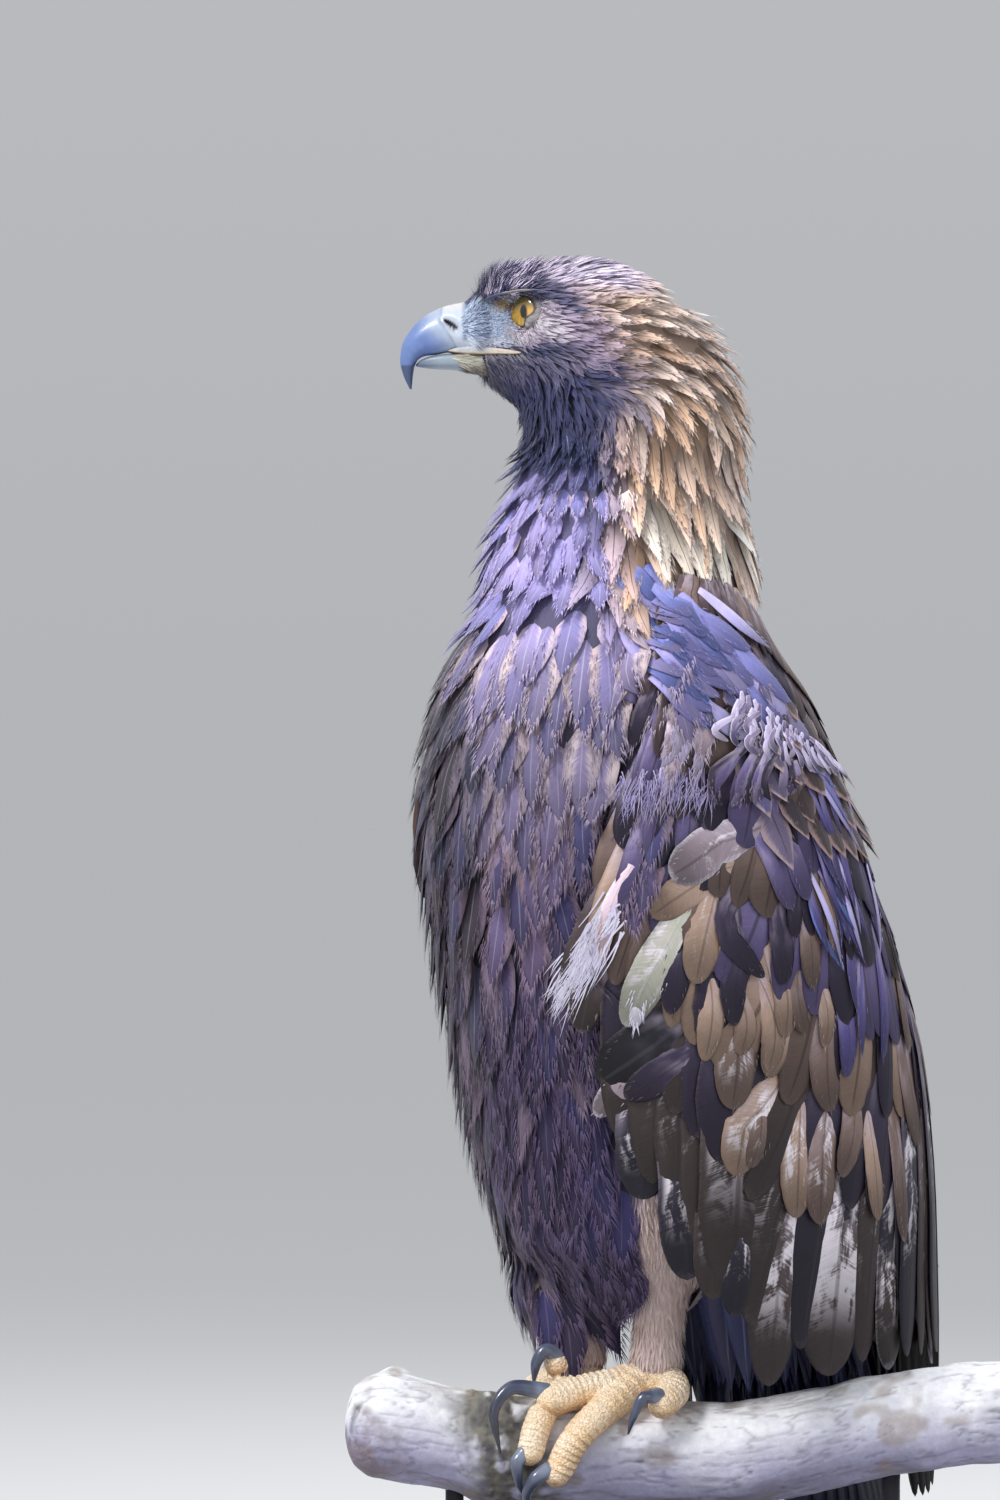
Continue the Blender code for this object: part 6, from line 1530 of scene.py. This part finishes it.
def bill_upper():
    rows, cols = 230, 96
    key = [(i, c[0], c[1], t[0], t[1], w) for i, (c, t, w) in enumerate(BILL)]
    ts = np.linspace(0, 1, rows) ** 1.0 * (len(BILL) - 1)
    r = spline(key, ts)
    cul, tom, half = r[:, 0:2], r[:, 2:4], r[:, 4]
    q = np.linspace(0, 2 * math.pi, cols, endpoint=False)
    up = np.cos(q)
    # a narrow ridge on top, full cheeks low down, flat beneath
    share_ = np.where(up > 0, np.abs(up) ** .86, -np.abs(up) ** .70)
    mid, arm = (cul + tom) / 2, (cul - tom) / 2
    width = np.abs(np.sin(q)) ** .92 * (1 - .16 * np.clip(up, 0, 1)) * np.sign(np.sin(q))
    sz = mid[:, None, :] + arm[:, None, :] * share_[None, :, None]
    ac = half[:, None] * width[None, :]
    s, z = sz[..., 0], sz[..., 1]
    # cere: a soft swelling behind the horn, with a step at its front edge
    edge_s = np.interp(z, [.5735, .5740, .5805, .5852, .5902, .5960, .6010], [-.0780, -.0780, -.0812, -.0845, -.0872, -.0872, -.0862])
    cere = smooth(-.0006, .0010, s - edge_s)
    ac = ac * (1 + .050 * cere)
    # the back of the bill flares out to meet the face
    ac = ac + np.sign(ac) * .0019 * smooth(-.0745, -.0668, s) * smooth(.0004, .004, np.abs(ac)) * smooth(.604, .598, z)
    # nostril: a slanting oval slit in a shallow dish
    def slit(s, z, cs, cz, a, b, tilt):
        ds, dz = s - cs, z - cz
        u, v = ds * math.cos(tilt) + dz * math.sin(tilt), -ds * math.sin(tilt) + dz * math.cos(tilt)
        return np.sqrt((u / a) ** 2 + (v / b) ** 2)
    d = slit(s, z, -.0820, .5886, .0045, .0011, math.radians(-33))
    dish = slit(s, z, -.0820, .5884, .0072, .0042, math.radians(-36))
    sunk = .0030 * smooth(1.15, .55, d) + .0009 * smooth(1.15, .5, dish) - .0001 * smooth(.35, 0, np.abs(dish - 1.30))
    ac = ac - np.sign(ac) * sunk * (np.abs(ac) > .003)
    rings = s[..., None] * ALONG + (HEAD_MID + ac)[..., None] * ACROSS + z[..., None] * UP
    obj = loft("bill_horn_upper", rings)
    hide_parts("bill_upper")
    obj.data.materials.append(MAT["horn"])
    p, _ = mesh_arrays(obj)
    s, z, a = head_frame(p)
    edge_s = np.interp(z, [.5735, .5740, .5805, .5852, .5902, .5960, .6010], [-.0780, -.0780, -.0812, -.0845, -.0872, -.0872, -.0862])
    cere = smooth(-.0004, .0012, s - edge_s)
    tipward = np.clip((-.088 - s) / .020 + (.590 - z) / .045, 0, 1)
    horn = mix(np.array((.37, .44, .57)), np.array((.13, .20, .43)), smooth(.05, .80, tipward + .18 * fnoise(p, 110, 61, 2)))
    # painted shade: darker still on the lower part of the hooked tip
    horn = mix(horn, np.array((.07, .11, .27)), smooth(.70, 1.15, tipward) * smooth(.580, .553, z) * .55)
    horn = mix(horn, np.array((.11, .18, .44)), .55 * smooth(.012, .003, np.hypot((s + .0925), (z - .5770) * 1.3)))
    skin_ = mix(np.array((.50, .56, .66)), np.array((.66, .63, .60)), np.clip(smooth(.594, .601, z) + .6 * smooth(.5785, .5745, z), 0, 1))
    colour = mix(horn, skin_, cere)
    # gape stripe: cream under the cere
    colour = mix(colour, np.array((.52, .47, .36)), cere * smooth(.5765, .5750, z))
    # under the bristles the bill takes the colour of the lores
    colour = mix(colour, np.array((.20, .26, .37)), smooth(-.0770, -.0735, s) * smooth(.5785, .5805, z) * smooth(.603, .600, z))
    colour = mix(colour, np.array((.06, .06, .13)), smooth(-.0745, -.0715, s) * smooth(.5975, .6005, z))
    # painted shade: the nostril's dish is darkened and its slit painted near black
    d = slit(s, z, -.0820, .5886, .0045, .0011, math.radians(-33))
    dish = slit(s, z, -.0820, .5884, .0072, .0042, math.radians(-36))
    colour = mix(colour, colour * .62, smooth(1.1, .4, dish) * .7)
    colour = mix(colour, np.array((.012, .010, .014)), smooth(1.25, .85, d) * (np.abs(a) > .003))
    # painted shade: a dark band along the cutting edge, where the upper bill meets the lower
    lip = smooth(.0012, .0, z - np.interp(s, [-.104, -.098, -.090, -.080, -.072, -.064], [.5657, .5703, .5722, .5735, .5733, .5722])) * (z < .585)
    colour = mix(colour, colour * .45, lip * (1 - cere * .6))
    # painted shade: a darker line on the horn at the foot of the cere's step
    colour = mix(colour, colour * .72, (1 - cere) * smooth(.0014, 0, np.abs(s - edge_s)) * .8)
    paint(obj, "tint", colour * (1 + .05 * vnoise(p, 500, 9))[:, None])
    return obj


def bill_lower():
    rows, cols = 46, 32
    s = np.linspace(CHIN_BILL[0][0], CHIN_BILL[-1][0], rows)
    r = spline(CHIN_BILL, s)
    top, low, half = r[:, 0] - .0002, r[:, 1], r[:, 2] * .985
    q = np.linspace(0, 2 * math.pi, cols, endpoint=False)
    up, out = np.cos(q), np.sin(q)
    z = (top + low)[:, None] / 2 + (top - low)[:, None] / 2 * (np.sign(up) * np.abs(up) ** np.where(up > 0, .45, .95))[None]
    ac = half[:, None] * (np.sign(out) * np.abs(out) ** .8)[None]
    rings = s[:, None, None] * ALONG + (HEAD_MID + ac)[..., None] * ACROSS + z[..., None] * UP
    obj = loft("bill_horn_lower", rings)
    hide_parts("bill_lower")
    obj.data.materials.append(MAT["horn"])
    p, _ = mesh_arrays(obj)
    s, z, a = head_frame(p)
    colour = mix(np.array((.25, .31, .37)), np.array((.12, .16, .24)), smooth(-.086, -.100, s))
    colour = mix(colour, np.array((.46, .42, .20)), smooth(-.083, -.074, s) * smooth(.566, .571, z))
    paint(obj, "tint", colour)
    return obj


# ------------------------------------------------------------------ eyes and lids
def eye(side):
    """Eyeball with a flattened front, iris and pupil set on its own axis, and the lids round it."""
    sign = 1 if side == "left" else -1
    s0, z0, off, r = EYE
    centre = place(s0 + .0030, z0 - .0002, HEAD_MID + sign * (off - .0003))
    axis = unit(ACROSS * sign * math.cos(math.radians(40)) - ALONG * math.sin(math.radians(40)) + UP * .02)
    right = unit(np.cross(UP, axis))
    above = np.cross(axis, right)
    rows, cols = 44, 48
    th = np.linspace(.02, math.pi - .02, rows)
    q = np.linspace(0, 2 * math.pi, cols, endpoint=False)
    ring = lambda radius, t, w: centre + axis * (radius * np.cos(t))[..., None] + (right * np.cos(w)[..., None] + above * np.sin(w)[..., None]) * (radius * np.sin(t))[..., None]
    tt, qq = np.meshgrid(th, q, indexing="ij")
    rings = ring(r + 0 * tt, tt, qq)
    # the iris sits back: the front of the ball is flatter than the rest
    front = np.clip(np.cos(tt) - math.cos(.92), 0, None)
    rings = rings - axis * (r * front * .62)[..., None]
    ball = loft(f"eyeball_{side}", rings)
    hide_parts(f"eye_{side}")
    ball.data.materials.append(MAT["eye"])
    p, _ = mesh_arrays(ball)
    v = unit(p - centre)
    across_ = np.hypot((p - centre) @ above, (p - centre) @ right) / r
    angle = np.where((p - centre) @ axis > 0, np.arcsin(np.clip(across_, 0, 1)), 2.0)
    turn = np.arctan2(v @ above, v @ right)
    sp, zp = p @ ALONG, p[:, 2]
    iris = mix(np.array((.45, .24, .016)), np.array((.43, .27, .028)), smooth(.30, .62, angle))
    spokes = .86 + .22 * np.sin(turn * 23 + 3 * np.sin(turn * 5)) * smooth(.22, .5, angle)
    iris = iris * spokes[:, None]
    # painted light and shade: paler amber behind the pupil, darker over the top and front of the iris under the brow
    iris = mix(iris, np.array((.72, .42, .13)), smooth(-.0410, -.0395, sp) * .8)
    iris = mix(iris, np.array((.11, .080, .018)), smooth(-.05, .50, (p - centre) @ above / r + .25 * smooth(-.043, -.047, sp)) * .9)
    pupil = np.hypot((sp + .04205) / .00190, (zp - .59480) / .00375)
    iris = mix(iris, np.array((.008, .008, .012)), smooth(1.08, .92, pupil) * (angle < 1.5))
    iris = mix(iris, np.array((.020, .016, .018)), smooth(.86, .94, angle))
    paint(ball, "tint", iris)
    # lids: a fold from the eyeball out to the skin, its opening a little taller than wide
    k = 64
    w = np.linspace(0, 2 * math.pi, k, endpoint=False)
    back_, up_ = np.cos(w) * sign, np.sin(w)
    off = lambda degrees: np.arccos(np.clip(back_ * math.cos(math.radians(degrees)) + up_ * math.sin(math.radians(degrees)), -1, 1))
    open_ = 1.00 - .40 * np.exp(-(off(-42) / .62) ** 2) + .08 * np.exp(-(off(-115) / .45) ** 2) + .04 * np.exp(-(off(20) / .4) ** 2) - .14 * np.exp(-(off(95) / .6) ** 2)
    profile = [(0.02, .93), (-.030, .955), (-.025, 1.00), (.02, 1.03), (.12, 1.045), (.28, 1.06), (.46, 1.06), (.66, 1.03), (.80, .90), (.20, .84)]
    lid = np.stack([ring(np.full(k, r * rad), open_ + da, w) for da, rad in profile])
    rows_, cols_ = lid.shape[:2]
    faces = grid_faces(rows_, cols_, wrap=True)
    closing = np.stack([(rows_ - 1) * cols_ + np.arange(cols_), (rows_ - 1) * cols_ + (np.arange(cols_) + 1) % cols_, (np.arange(cols_) + 1) % cols_, np.arange(cols_)], 1)
    lids = orient(build(f"lids_{side}", lid.reshape(-1, 3), np.concatenate([faces, closing])))
    lids.data.materials.append(MAT["lid"])
    ws = np.tile(w, rows_)
    da = np.repeat([a for a, _ in profile], cols_)
    lower_back = smooth(.3, -.6, np.sin(ws)) * smooth(-.2, .7, np.cos(ws) * -sign * -1)
    dark, pale = np.array((.025, .025, .040)), np.array((.46, .43, .43))
    behind_ = np.clip(smooth(-.2, .6, ((lid.reshape(-1, 3) - centre) @ ALONG) / r) + smooth(.1, -.6, np.sin(ws)), 0, 1) * smooth(.9, .3, np.sin(ws))
    tint = mix(dark, mix(np.array((.17, .15, .13)), pale * 1.3, behind_), smooth(.015, .055, da))
    tint = tint * (.56 + .44 * vnoise(lid.reshape(-1, 3), 1100, 23))[:, None]
    paint(lids, "tint", tint)
    # brow: the bony ridge that shades the eye
    path = np.array([(-.0640, .6010, .0190), (-.0580, .6035, .0240), (-.0500, .6052, .0288), (-.0420, .6062, .0318), (-.0350, .6062, .0330), (-.0290, .6046, .0330)])
    key = [(i, *row) for i, row in enumerate(path)]
    ts = np.linspace(0, len(path) - 1, 40)
    c = spline(key, ts)
    mid = place(c[:, 0], c[:, 1], HEAD_MID + sign * c[:, 2])
    line = unit(np.gradient(mid, axis=0))
    outw = unit(np.cross(line, UP) * (1 if sign > 0 else -1))
    outw = np.where((outw @ (ACROSS * sign) < 0)[:, None], -outw, outw)
    upw = unit(np.cross(outw, line))
    upw = np.where((upw[:, 2] < 0)[:, None], -upw, upw)
    taper = np.sin(np.linspace(.10, math.pi - .10, 40)) ** .6
    a = np.linspace(0, 2 * math.pi, 16, endpoint=False)
    rings = mid[:, None] + outw[:, None] * (np.cos(a)[None, :, None] * (.0030 * taper)[:, None, None]) + upw[:, None] * (np.sin(a)[None, :, None] * (.0007 * taper)[:, None, None])
    brow = loft(f"brow_{side}", rings)
    brow.data.materials.append(MAT["lid"])
    p, _ = mesh_arrays(brow)
    over = smooth(-.0002, .0010, (p - centre) @ (ACROSS * sign) - .0085)
    paint(brow, "tint", mix(np.array((.10, .11, .19)), np.array((.30, .265, .235)), smooth(-.062, -.054, p @ ALONG) * smooth(-.036, -.042, p @ ALONG) * .8 * over))
    return ball, lids, brow


def eye_material():
    t = Tree("eye_amber", roughness=0.12, Coat_Weight=1.0, Coat_Roughness=0.02)
    t.shader.inputs["Specular IOR Level"].default_value = 0.6
    return t.colour(t.attribute("tint").outputs["Color"])


MAT["eye"] = eye_material()


def gape():
    """The fleshy corner of the mouth, a cream ridge from the bill back under the eye."""
    made = []
    for sign, side in ((1, "left"), (-1, "right")):
        path = [(-.0835, .5740, .0076, .0003), (-.0790, .5743, .0091, .0015), (-.0730, .5744, .0104, .0022), (-.0670, .5742, .0126, .0023), (-.0600, .5737, .0174, .0020), (-.0530, .5731, .0208, .0016), (-.0475, .5726, .0232, .0012), (-.0435, .5722, .0243, .0006)]
        key = [(i, *row) for i, row in enumerate(path)]
        c = spline(key, np.linspace(0, len(path) - 1, 36))
        mid = place(c[:, 0], c[:, 1], HEAD_MID + sign * c[:, 2])
        line = unit(np.gradient(mid, axis=0))
        outw = unit(np.cross(line, UP))
        outw = np.where((outw @ (ACROSS * sign) < 0)[:, None], -outw, outw)
        a = np.linspace(0, 2 * math.pi, 14, endpoint=False)
        rings = mid[:, None] + outw[:, None] * (np.cos(a)[None, :, None] * (.0005 + c[:, 3] * .22)[:, None, None]) + UP * (np.sin(a)[None, :, None] * c[:, 3][:, None, None])
        obj = loft(f"gape_{side}", rings)
        obj.data.materials.append(MAT["lid"])
        p, _ = mesh_arrays(obj)
        sp, low = p @ ALONG, np.interp(p @ ALONG, c[:, 0], c[:, 1] - c[:, 3])
        colour = mix(np.array((.38, .42, .48)), np.array((.50, .42, .36)), smooth(-.070, -.054, sp))
        colour = mix(colour, np.array((.56, .48, .36)), smooth(.0019, .0010, p[:, 2] - low))
        # painted shade: a dark strip along the ridge's underside, at the mouth line
        colour = mix(colour, np.array((.16, .12, .10)), smooth(.0007, .0003, p[:, 2] - low))
        colour = colour * (1 + .12 * vnoise(p, 900, 17))[:, None]
        paint(obj, "tint", colour)
        made.append(obj)
    return made


# ------------------------------------------------------------------ feet and claws
def tube_rings(path, count, per, flat=1.0, shape=None):
    """Rings of a bar through (along, height, across, radius) stations."""
    key = [(i, *row) for i, row in enumerate(path)]
    last = len(path) - 1
    ts = np.linspace(0, last, per * last + 1)
    r = spline(key, ts)
    mid, radius = place(r[:, 0], r[:, 1], r[:, 2]), r[:, 3]
    line = unit(np.gradient(mid, axis=0))
    b = spline(BRANCH, mid @ ALONG)[:, 0]
    away = mid - (np.multiply.outer(mid @ ALONG, ALONG) + np.multiply.outer(b, UP))
    side = unit(np.cross(line, unit(away)))
    # keep the frame from flipping along the bar
    for i in range(1, len(side)):
        if side[i] @ side[i - 1] < 0:
            side[i] = -side[i]
        side[i] = unit(side[i] - line[i] * (side[i] @ line[i]))
        side[i] = unit(side[i - 1] * .8 + side[i] * .2)
        side[i] = unit(side[i] - line[i] * (side[i] @ line[i]))
    top = np.cross(side, line)
    q = np.linspace(0, 2 * math.pi, count, endpoint=False)
    rad = radius[:, None] + 0 * q[None]
    if shape is not None:
        rad = shape(ts, q, rad, top)
    rings = mid[:, None] + (side[:, None] * np.cos(q)[None, :, None] + top[:, None] * np.sin(q)[None, :, None] * flat) * rad[..., None]
    return rings, mid, top, radius


def closed_tube(rings, mid):
    rows, cols = rings.shape[:2]
    def dome(ring, centre, ahead, radius):
        return [centre + (ring - centre) * b + ahead * radius * a for a, b in ((.35, .93), (.62, .76), (.84, .50), (.96, .24))]
    r0, r1 = np.linalg.norm(rings[0] - mid[0], axis=1).mean(), np.linalg.norm(rings[-1] - mid[-1], axis=1).mean()
    a0, a1 = unit(mid[0] - mid[1]), unit(mid[-1] - mid[-2])
    all_rings = dome(rings[0], mid[0], a0, r0)[::-1] + list(rings) + dome(rings[-1], mid[-1], a1, r1)
    all_rings = np.array(all_rings)
    rows = len(all_rings)
    points = np.concatenate([all_rings.reshape(-1, 3), all_rings[0].mean(0)[None], all_rings[-1].mean(0)[None]])
    quads = grid_faces(rows, cols, wrap=True)
    tris = [np.concatenate([quads[:, [0, 1, 2]], quads[:, [0, 2, 3]]])]
    j = np.arange(cols)
    tris.append(np.stack([(j + 1) % cols, j, np.full(cols, rows * cols)], 1))
    tris.append(np.stack([(rows - 1) * cols + j, (rows - 1) * cols + (j + 1) % cols, np.full(cols, rows * cols + 1)], 1))
    return points, np.concatenate(tris)


def foot(side):
    parts, spines = [], []
    for digit, (toe, claw) in TOES[side].items():
        def scutes(ts, q, rad, top):
            # overlapping plates on the upper side, round pads below
            along = ts[:, None] * 5.2
            plate = (along % 1.0) ** 1.6
            upper = smooth(-.05, .55, np.sin(q))[None]
            pads = smooth(-.15, -.7, np.sin(q))[None] * (.5 + .5 * np.cos(2 * math.pi * ts[:, None] * 1.0))
            crease = np.exp(-(((ts[:, None] + .5) % 1.0 - .5) / .07) ** 2)
            return rad * (1 - .07 * upper + .125 * upper * plate + .05 * pads - .05 * crease)
        rings, mid, top, radius = tube_rings(toe, 40, 40, shape=scutes)
        parts.append(closed_tube(rings, mid))
        spines.append((mid, radius))
    pad_at = FOOT_PAD[side]
    c = place(*pad_at[:3])
    th, q = np.linspace(.05, math.pi - .05, 18), np.linspace(0, 2 * math.pi, 28, endpoint=False)
    tt, qq = np.meshgrid(th, q, indexing="ij")
    rings = c + pad_at[3] * (np.sin(tt)[..., None] * (np.cos(qq)[..., None] * ALONG + np.sin(qq)[..., None] * ACROSS) + .74 * np.cos(tt)[..., None] * UP)
    flip = rings[::-1]
    rows, cols = flip.shape[:2]
    pts = np.concatenate([flip.reshape(-1, 3), flip[0].mean(0)[None], flip[-1].mean(0)[None]])
    quads = grid_faces(rows, cols, wrap=True)
    j = np.arange(cols)
    parts.append((pts, np.concatenate([quads[:, [0, 1, 2]], quads[:, [0, 2, 3]], np.stack([(j + 1) % cols, j, np.full(cols, rows * cols)], 1), np.stack([(rows - 1) * cols + j, (rows - 1) * cols + (j + 1) % cols, np.full(cols, rows * cols + 1)], 1)])))
    points, quads = remeshed("foot", parts, .00065, 1, .4)
    obj = build(f"foot_skin_{side}", points, quads)
    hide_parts(f"foot_{side}")
    obj.data.materials.append(MAT["toe"])
    tris = np.concatenate([quads[:, [0, 1, 2]], quads[:, [0, 2, 3]]])
    n = normals_of(points, tris)
    # small round scales off the plates: push in along the cell borders
    g = vnoise(points, 900, 4)
    points = points + n * (.00016 * g)[:, None]
    co = (points + OFFSET).astype(np.float32)
    obj.data.vertices.foreach_set("co", co.ravel())
    gold, pale, deep = np.array((.90, .64, .38)), np.array((.95, .80, .62)), np.array((.48, .28, .15))
    # painted light and shade: the toes are paler where they face up and darker underneath, besides random mottling
    tint = mix(gold, pale, np.clip(.35 + .6 * vnoise(points, 90, 8) + .5 * n[:, 2], 0, 1))
    under = smooth(-.1, -.8, n[:, 2])
    tint = mix(tint, deep, np.clip(under * .7 + .25 * smooth(.1, .7, fnoise(points, 420, 12)), 0, 1))
    paint(obj, "tint", tint)
    return obj


def claws():
    made = []
    for side in ("left", "right"):
        for digit, (toe, claw) in TOES[side].items():
            def keel(ts, q, rad, top):
                return rad * (1 - .13 * smooth(-.2, -.9, np.sin(q))[None] + .03 * np.abs(np.sin(q))[None])
            rings, mid, top, radius = tube_rings(claw, 24, 22, shape=keel)
            points, tris = closed_tube(rings, mid)
            obj = orient(build(f"talon_{side}_{digit}", points, tris))
            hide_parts(f"claw_{side}_{digit}")
            obj.data.materials.append(MAT["claw"])
            base = np.linalg.norm(points - mid[0], axis=1)
            tint = mix(np.array((.19, .22, .30)), np.array((.050, .062, .110)), smooth(.002, .016, base))
            tint = mix(tint, np.array((.020, .022, .034)), smooth(.020, .040, base))
            tint = tint * (1 + .25 * vnoise(points, 260, 2))[:, None]
            paint(obj, "tint", tint)
            made.append(obj)
    return made


# ------------------------------------------------------------------ branch and stand
def perch():
    rows, cols = 420, 150
    ss = np.concatenate([BRANCH[0][0] + .006 * np.linspace(0, 1, 14)[:-1] ** 2, np.linspace(BRANCH[0][0] + .006, BRANCH[-1][0], rows)])
    r = spline(BRANCH, ss)
    a = np.linspace(0, 2 * math.pi, cols, endpoint=False)
    S, A = np.meshgrid(ss, a, indexing="ij")
    H, R = r[:, 0][:, None] + 0 * A, r[:, 1][:, None] + 0 * A
    base_r = R.copy()
    R = R * (1 + .018 * np.sin(3 * A + 21 * S) + .012 * np.sin(5 * A - 34 * S + 1))
    for at, angle, rise, spread in KNOTS:
        turn = (np.degrees(A) - angle + 180) % 360 - 180
        d2 = ((S - at) / spread) ** 2 + (np.radians(turn) * base_r / spread) ** 2
        R = R + rise * np.exp(-d2) * (1 - .35 * np.exp(-d2 * 9))
    # the bark's own relief, always inwards: long grain, splits across the old end, a ring of flaking bark
    q = np.stack([S, base_r * np.cos(A), base_r * np.sin(A)], -1)
    long = q * np.array((.16, 1, 1))
    grain = fnoise(long, 320, 3, 3)
    crack = np.abs(fnoise(q * np.array((.07, 1, 1)) + .003 * fnoise(q, 45, 5)[..., None], 95, 9, 2))
    split = smooth(.055, .0, crack) * smooth(-.1, .35, fnoise(q * np.array((.5, 1, 1)), 45, 52, 2))
    ring = np.exp(-((S + .052 + .006 * np.sin(2 * A)) / .022) ** 2)
    flake = smooth(.05, .45, fnoise(q, 210, 15, 3)) * ring
    lumps = fnoise(q, 55, 21, 2)
    near_end = smooth(-.120, -.139, S)
    furrow = smooth(.10, .0, np.abs(fnoise(q * np.array((.22, 1, 1)), 150, 73, 3)))
    relief = -.0006 + .00060 * grain - .0020 * split * (1 - .5 * ring) - .0016 * flake + .0011 * lumps - .0006 - .0006 * furrow
    cross = smooth(.50, .75, fnoise(q * np.array((1, .5, .5)), 90, 30, 2)) * near_end
    relief = relief - .0012 * cross
    R = np.maximum(R + relief * np.clip(base_r / .02, .3, 1), .001)
    pts = place(S, H + R * np.sin(A), R * np.cos(A))
    obj = loft("perch_wood", pts)
    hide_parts("perch")
    obj.data.materials.append(MAT["wood"])
    wood, pale, dark, lilac, moss = np.array((.56, .55, .62)), np.array((.86, .87, .90)), np.array((.045, .040, .045)), np.array((.33, .32, .50)), np.array((.16, .15, .105))
    # painted light and shade: the bark is paler on top and lilac underneath, besides its random patches
    tint = mix(wood, pale, np.clip(.45 + .6 * lumps + .45 * np.sin(A) + .25 * grain, 0, 1))
    tint = mix(tint, lilac, np.clip(.45 - .9 * np.sin(A) + .4 * fnoise(q, 40, 41, 2), 0, .85))
    tint = mix(tint, np.array((.17, .15, .20)), furrow * .42)
    # darker patches near the old end: partly random, partly painted shade with more of them underneath
    tint = mix(tint, np.array((.20, .15, .16)), smooth(-.098, -.128, S) * smooth(-.35, .35, fnoise(q, 85, 77, 3) - .55 * np.sin(A)) * .80)
    # painted shade: darker patches on the underside
    tint = mix(tint, np.array((.12, .10, .12)), smooth(-.10, -.85, np.sin(A)) * smooth(-.4, .5, fnoise(q * np.array((.4, 1, 1)), 70, 79, 2)) * .55)
    tint = mix(tint, dark, np.clip(split * .95 + cross * .8, 0, 1))
    tint = mix(tint, mix(moss, dark, np.clip(.4 + fnoise(q, 260, 44, 2), 0, 1)), np.clip(ring * 1.35 * smooth(-.55, .10, fnoise(q, 130, 43, 3)), 0, .92))
    tint = mix(tint, np.array((.27, .20, .15)), smooth(.25, .6, fnoise(q, 70, 47, 2)) * .5)
    tint = tint.reshape(-1, 3)
    tint = np.concatenate([tint, tint[:1], tint[-1:]])
    paint(obj, "tint", tint)
    return obj


def stand():
    base_r, thick, ch = .170, .020, .003
    centre = np.array((.020, .050, -.170))
    k = 128
    q = np.linspace(0, 2 * math.pi, k, endpoint=False)
    profile = [(base_r - .020, 0.0), (base_r - .0015, 0.0), (base_r - .0004, .0004), (base_r, .0015)]
    profile += [(base_r, thick - .0035)] + [(base_r - .0035 * (1 - math.cos(t)), thick - .0035 * (1 - math.sin(t))) for t in np.linspace(.2, math.pi / 2, 7)] + [(base_r - .012, thick), (base_r - .016, thick - .0006), (base_r - .018, thick), (.05, thick)]
    rings = np.array([centre + np.stack([r * np.cos(q), r * np.sin(q), np.full(k, z)], -1) for r, z in profile])
    base = loft("stand_plinth", rings)
    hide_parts("stand_base")
    base.data.materials.append(MAT["stand"])
    paint(base, "tint", np.tile(np.array((.022, .022, .025)), (len(base.data.vertices), 1)))
    for number, at in enumerate((-.080, .160), 1):
        foot_ = place(at, 0, 0)
        top = float(spline(BRANCH, at)[0]) - float(spline(BRANCH, at)[1]) * .92
        q2 = np.linspace(0, 2 * math.pi, 40, endpoint=False)
        zs = [(-.150 + .0002, .0085), (-.150 + .0030, .0085), (-.150 + .0042, .0074), (-.150 + .0046, .0050), (-.10, .0050), (top, .0050)]
        rings = np.array([np.stack([foot_[0] + r * np.cos(q2), foot_[1] + r * np.sin(q2), np.full(40, z)], -1) for z, r in zs])
        rod = loft(f"stand_post_{number}", rings)
        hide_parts(f"stand_rod_{number}")
        rod.data.materials.append(MAT["stand"])
        paint(rod, "tint", np.tile(np.array((.030, .030, .034)), (len(rod.data.vertices), 1)))


# ------------------------------------------------------------------ all of it
bill = bill_upper()
lower = bill_lower()
lore_bristles(bill, lower, [eye("left")[1], eye("right")[1]])
gape()
foot("left")
foot("right")
claws()
perch()
stand()
log("hard parts")
body_coat()
wings()
log("coat")
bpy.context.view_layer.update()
log("%d triangles" % sum(sum(len(poly.vertices) - 2 for poly in o.data.polygons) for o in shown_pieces() if o.type == "MESH"))
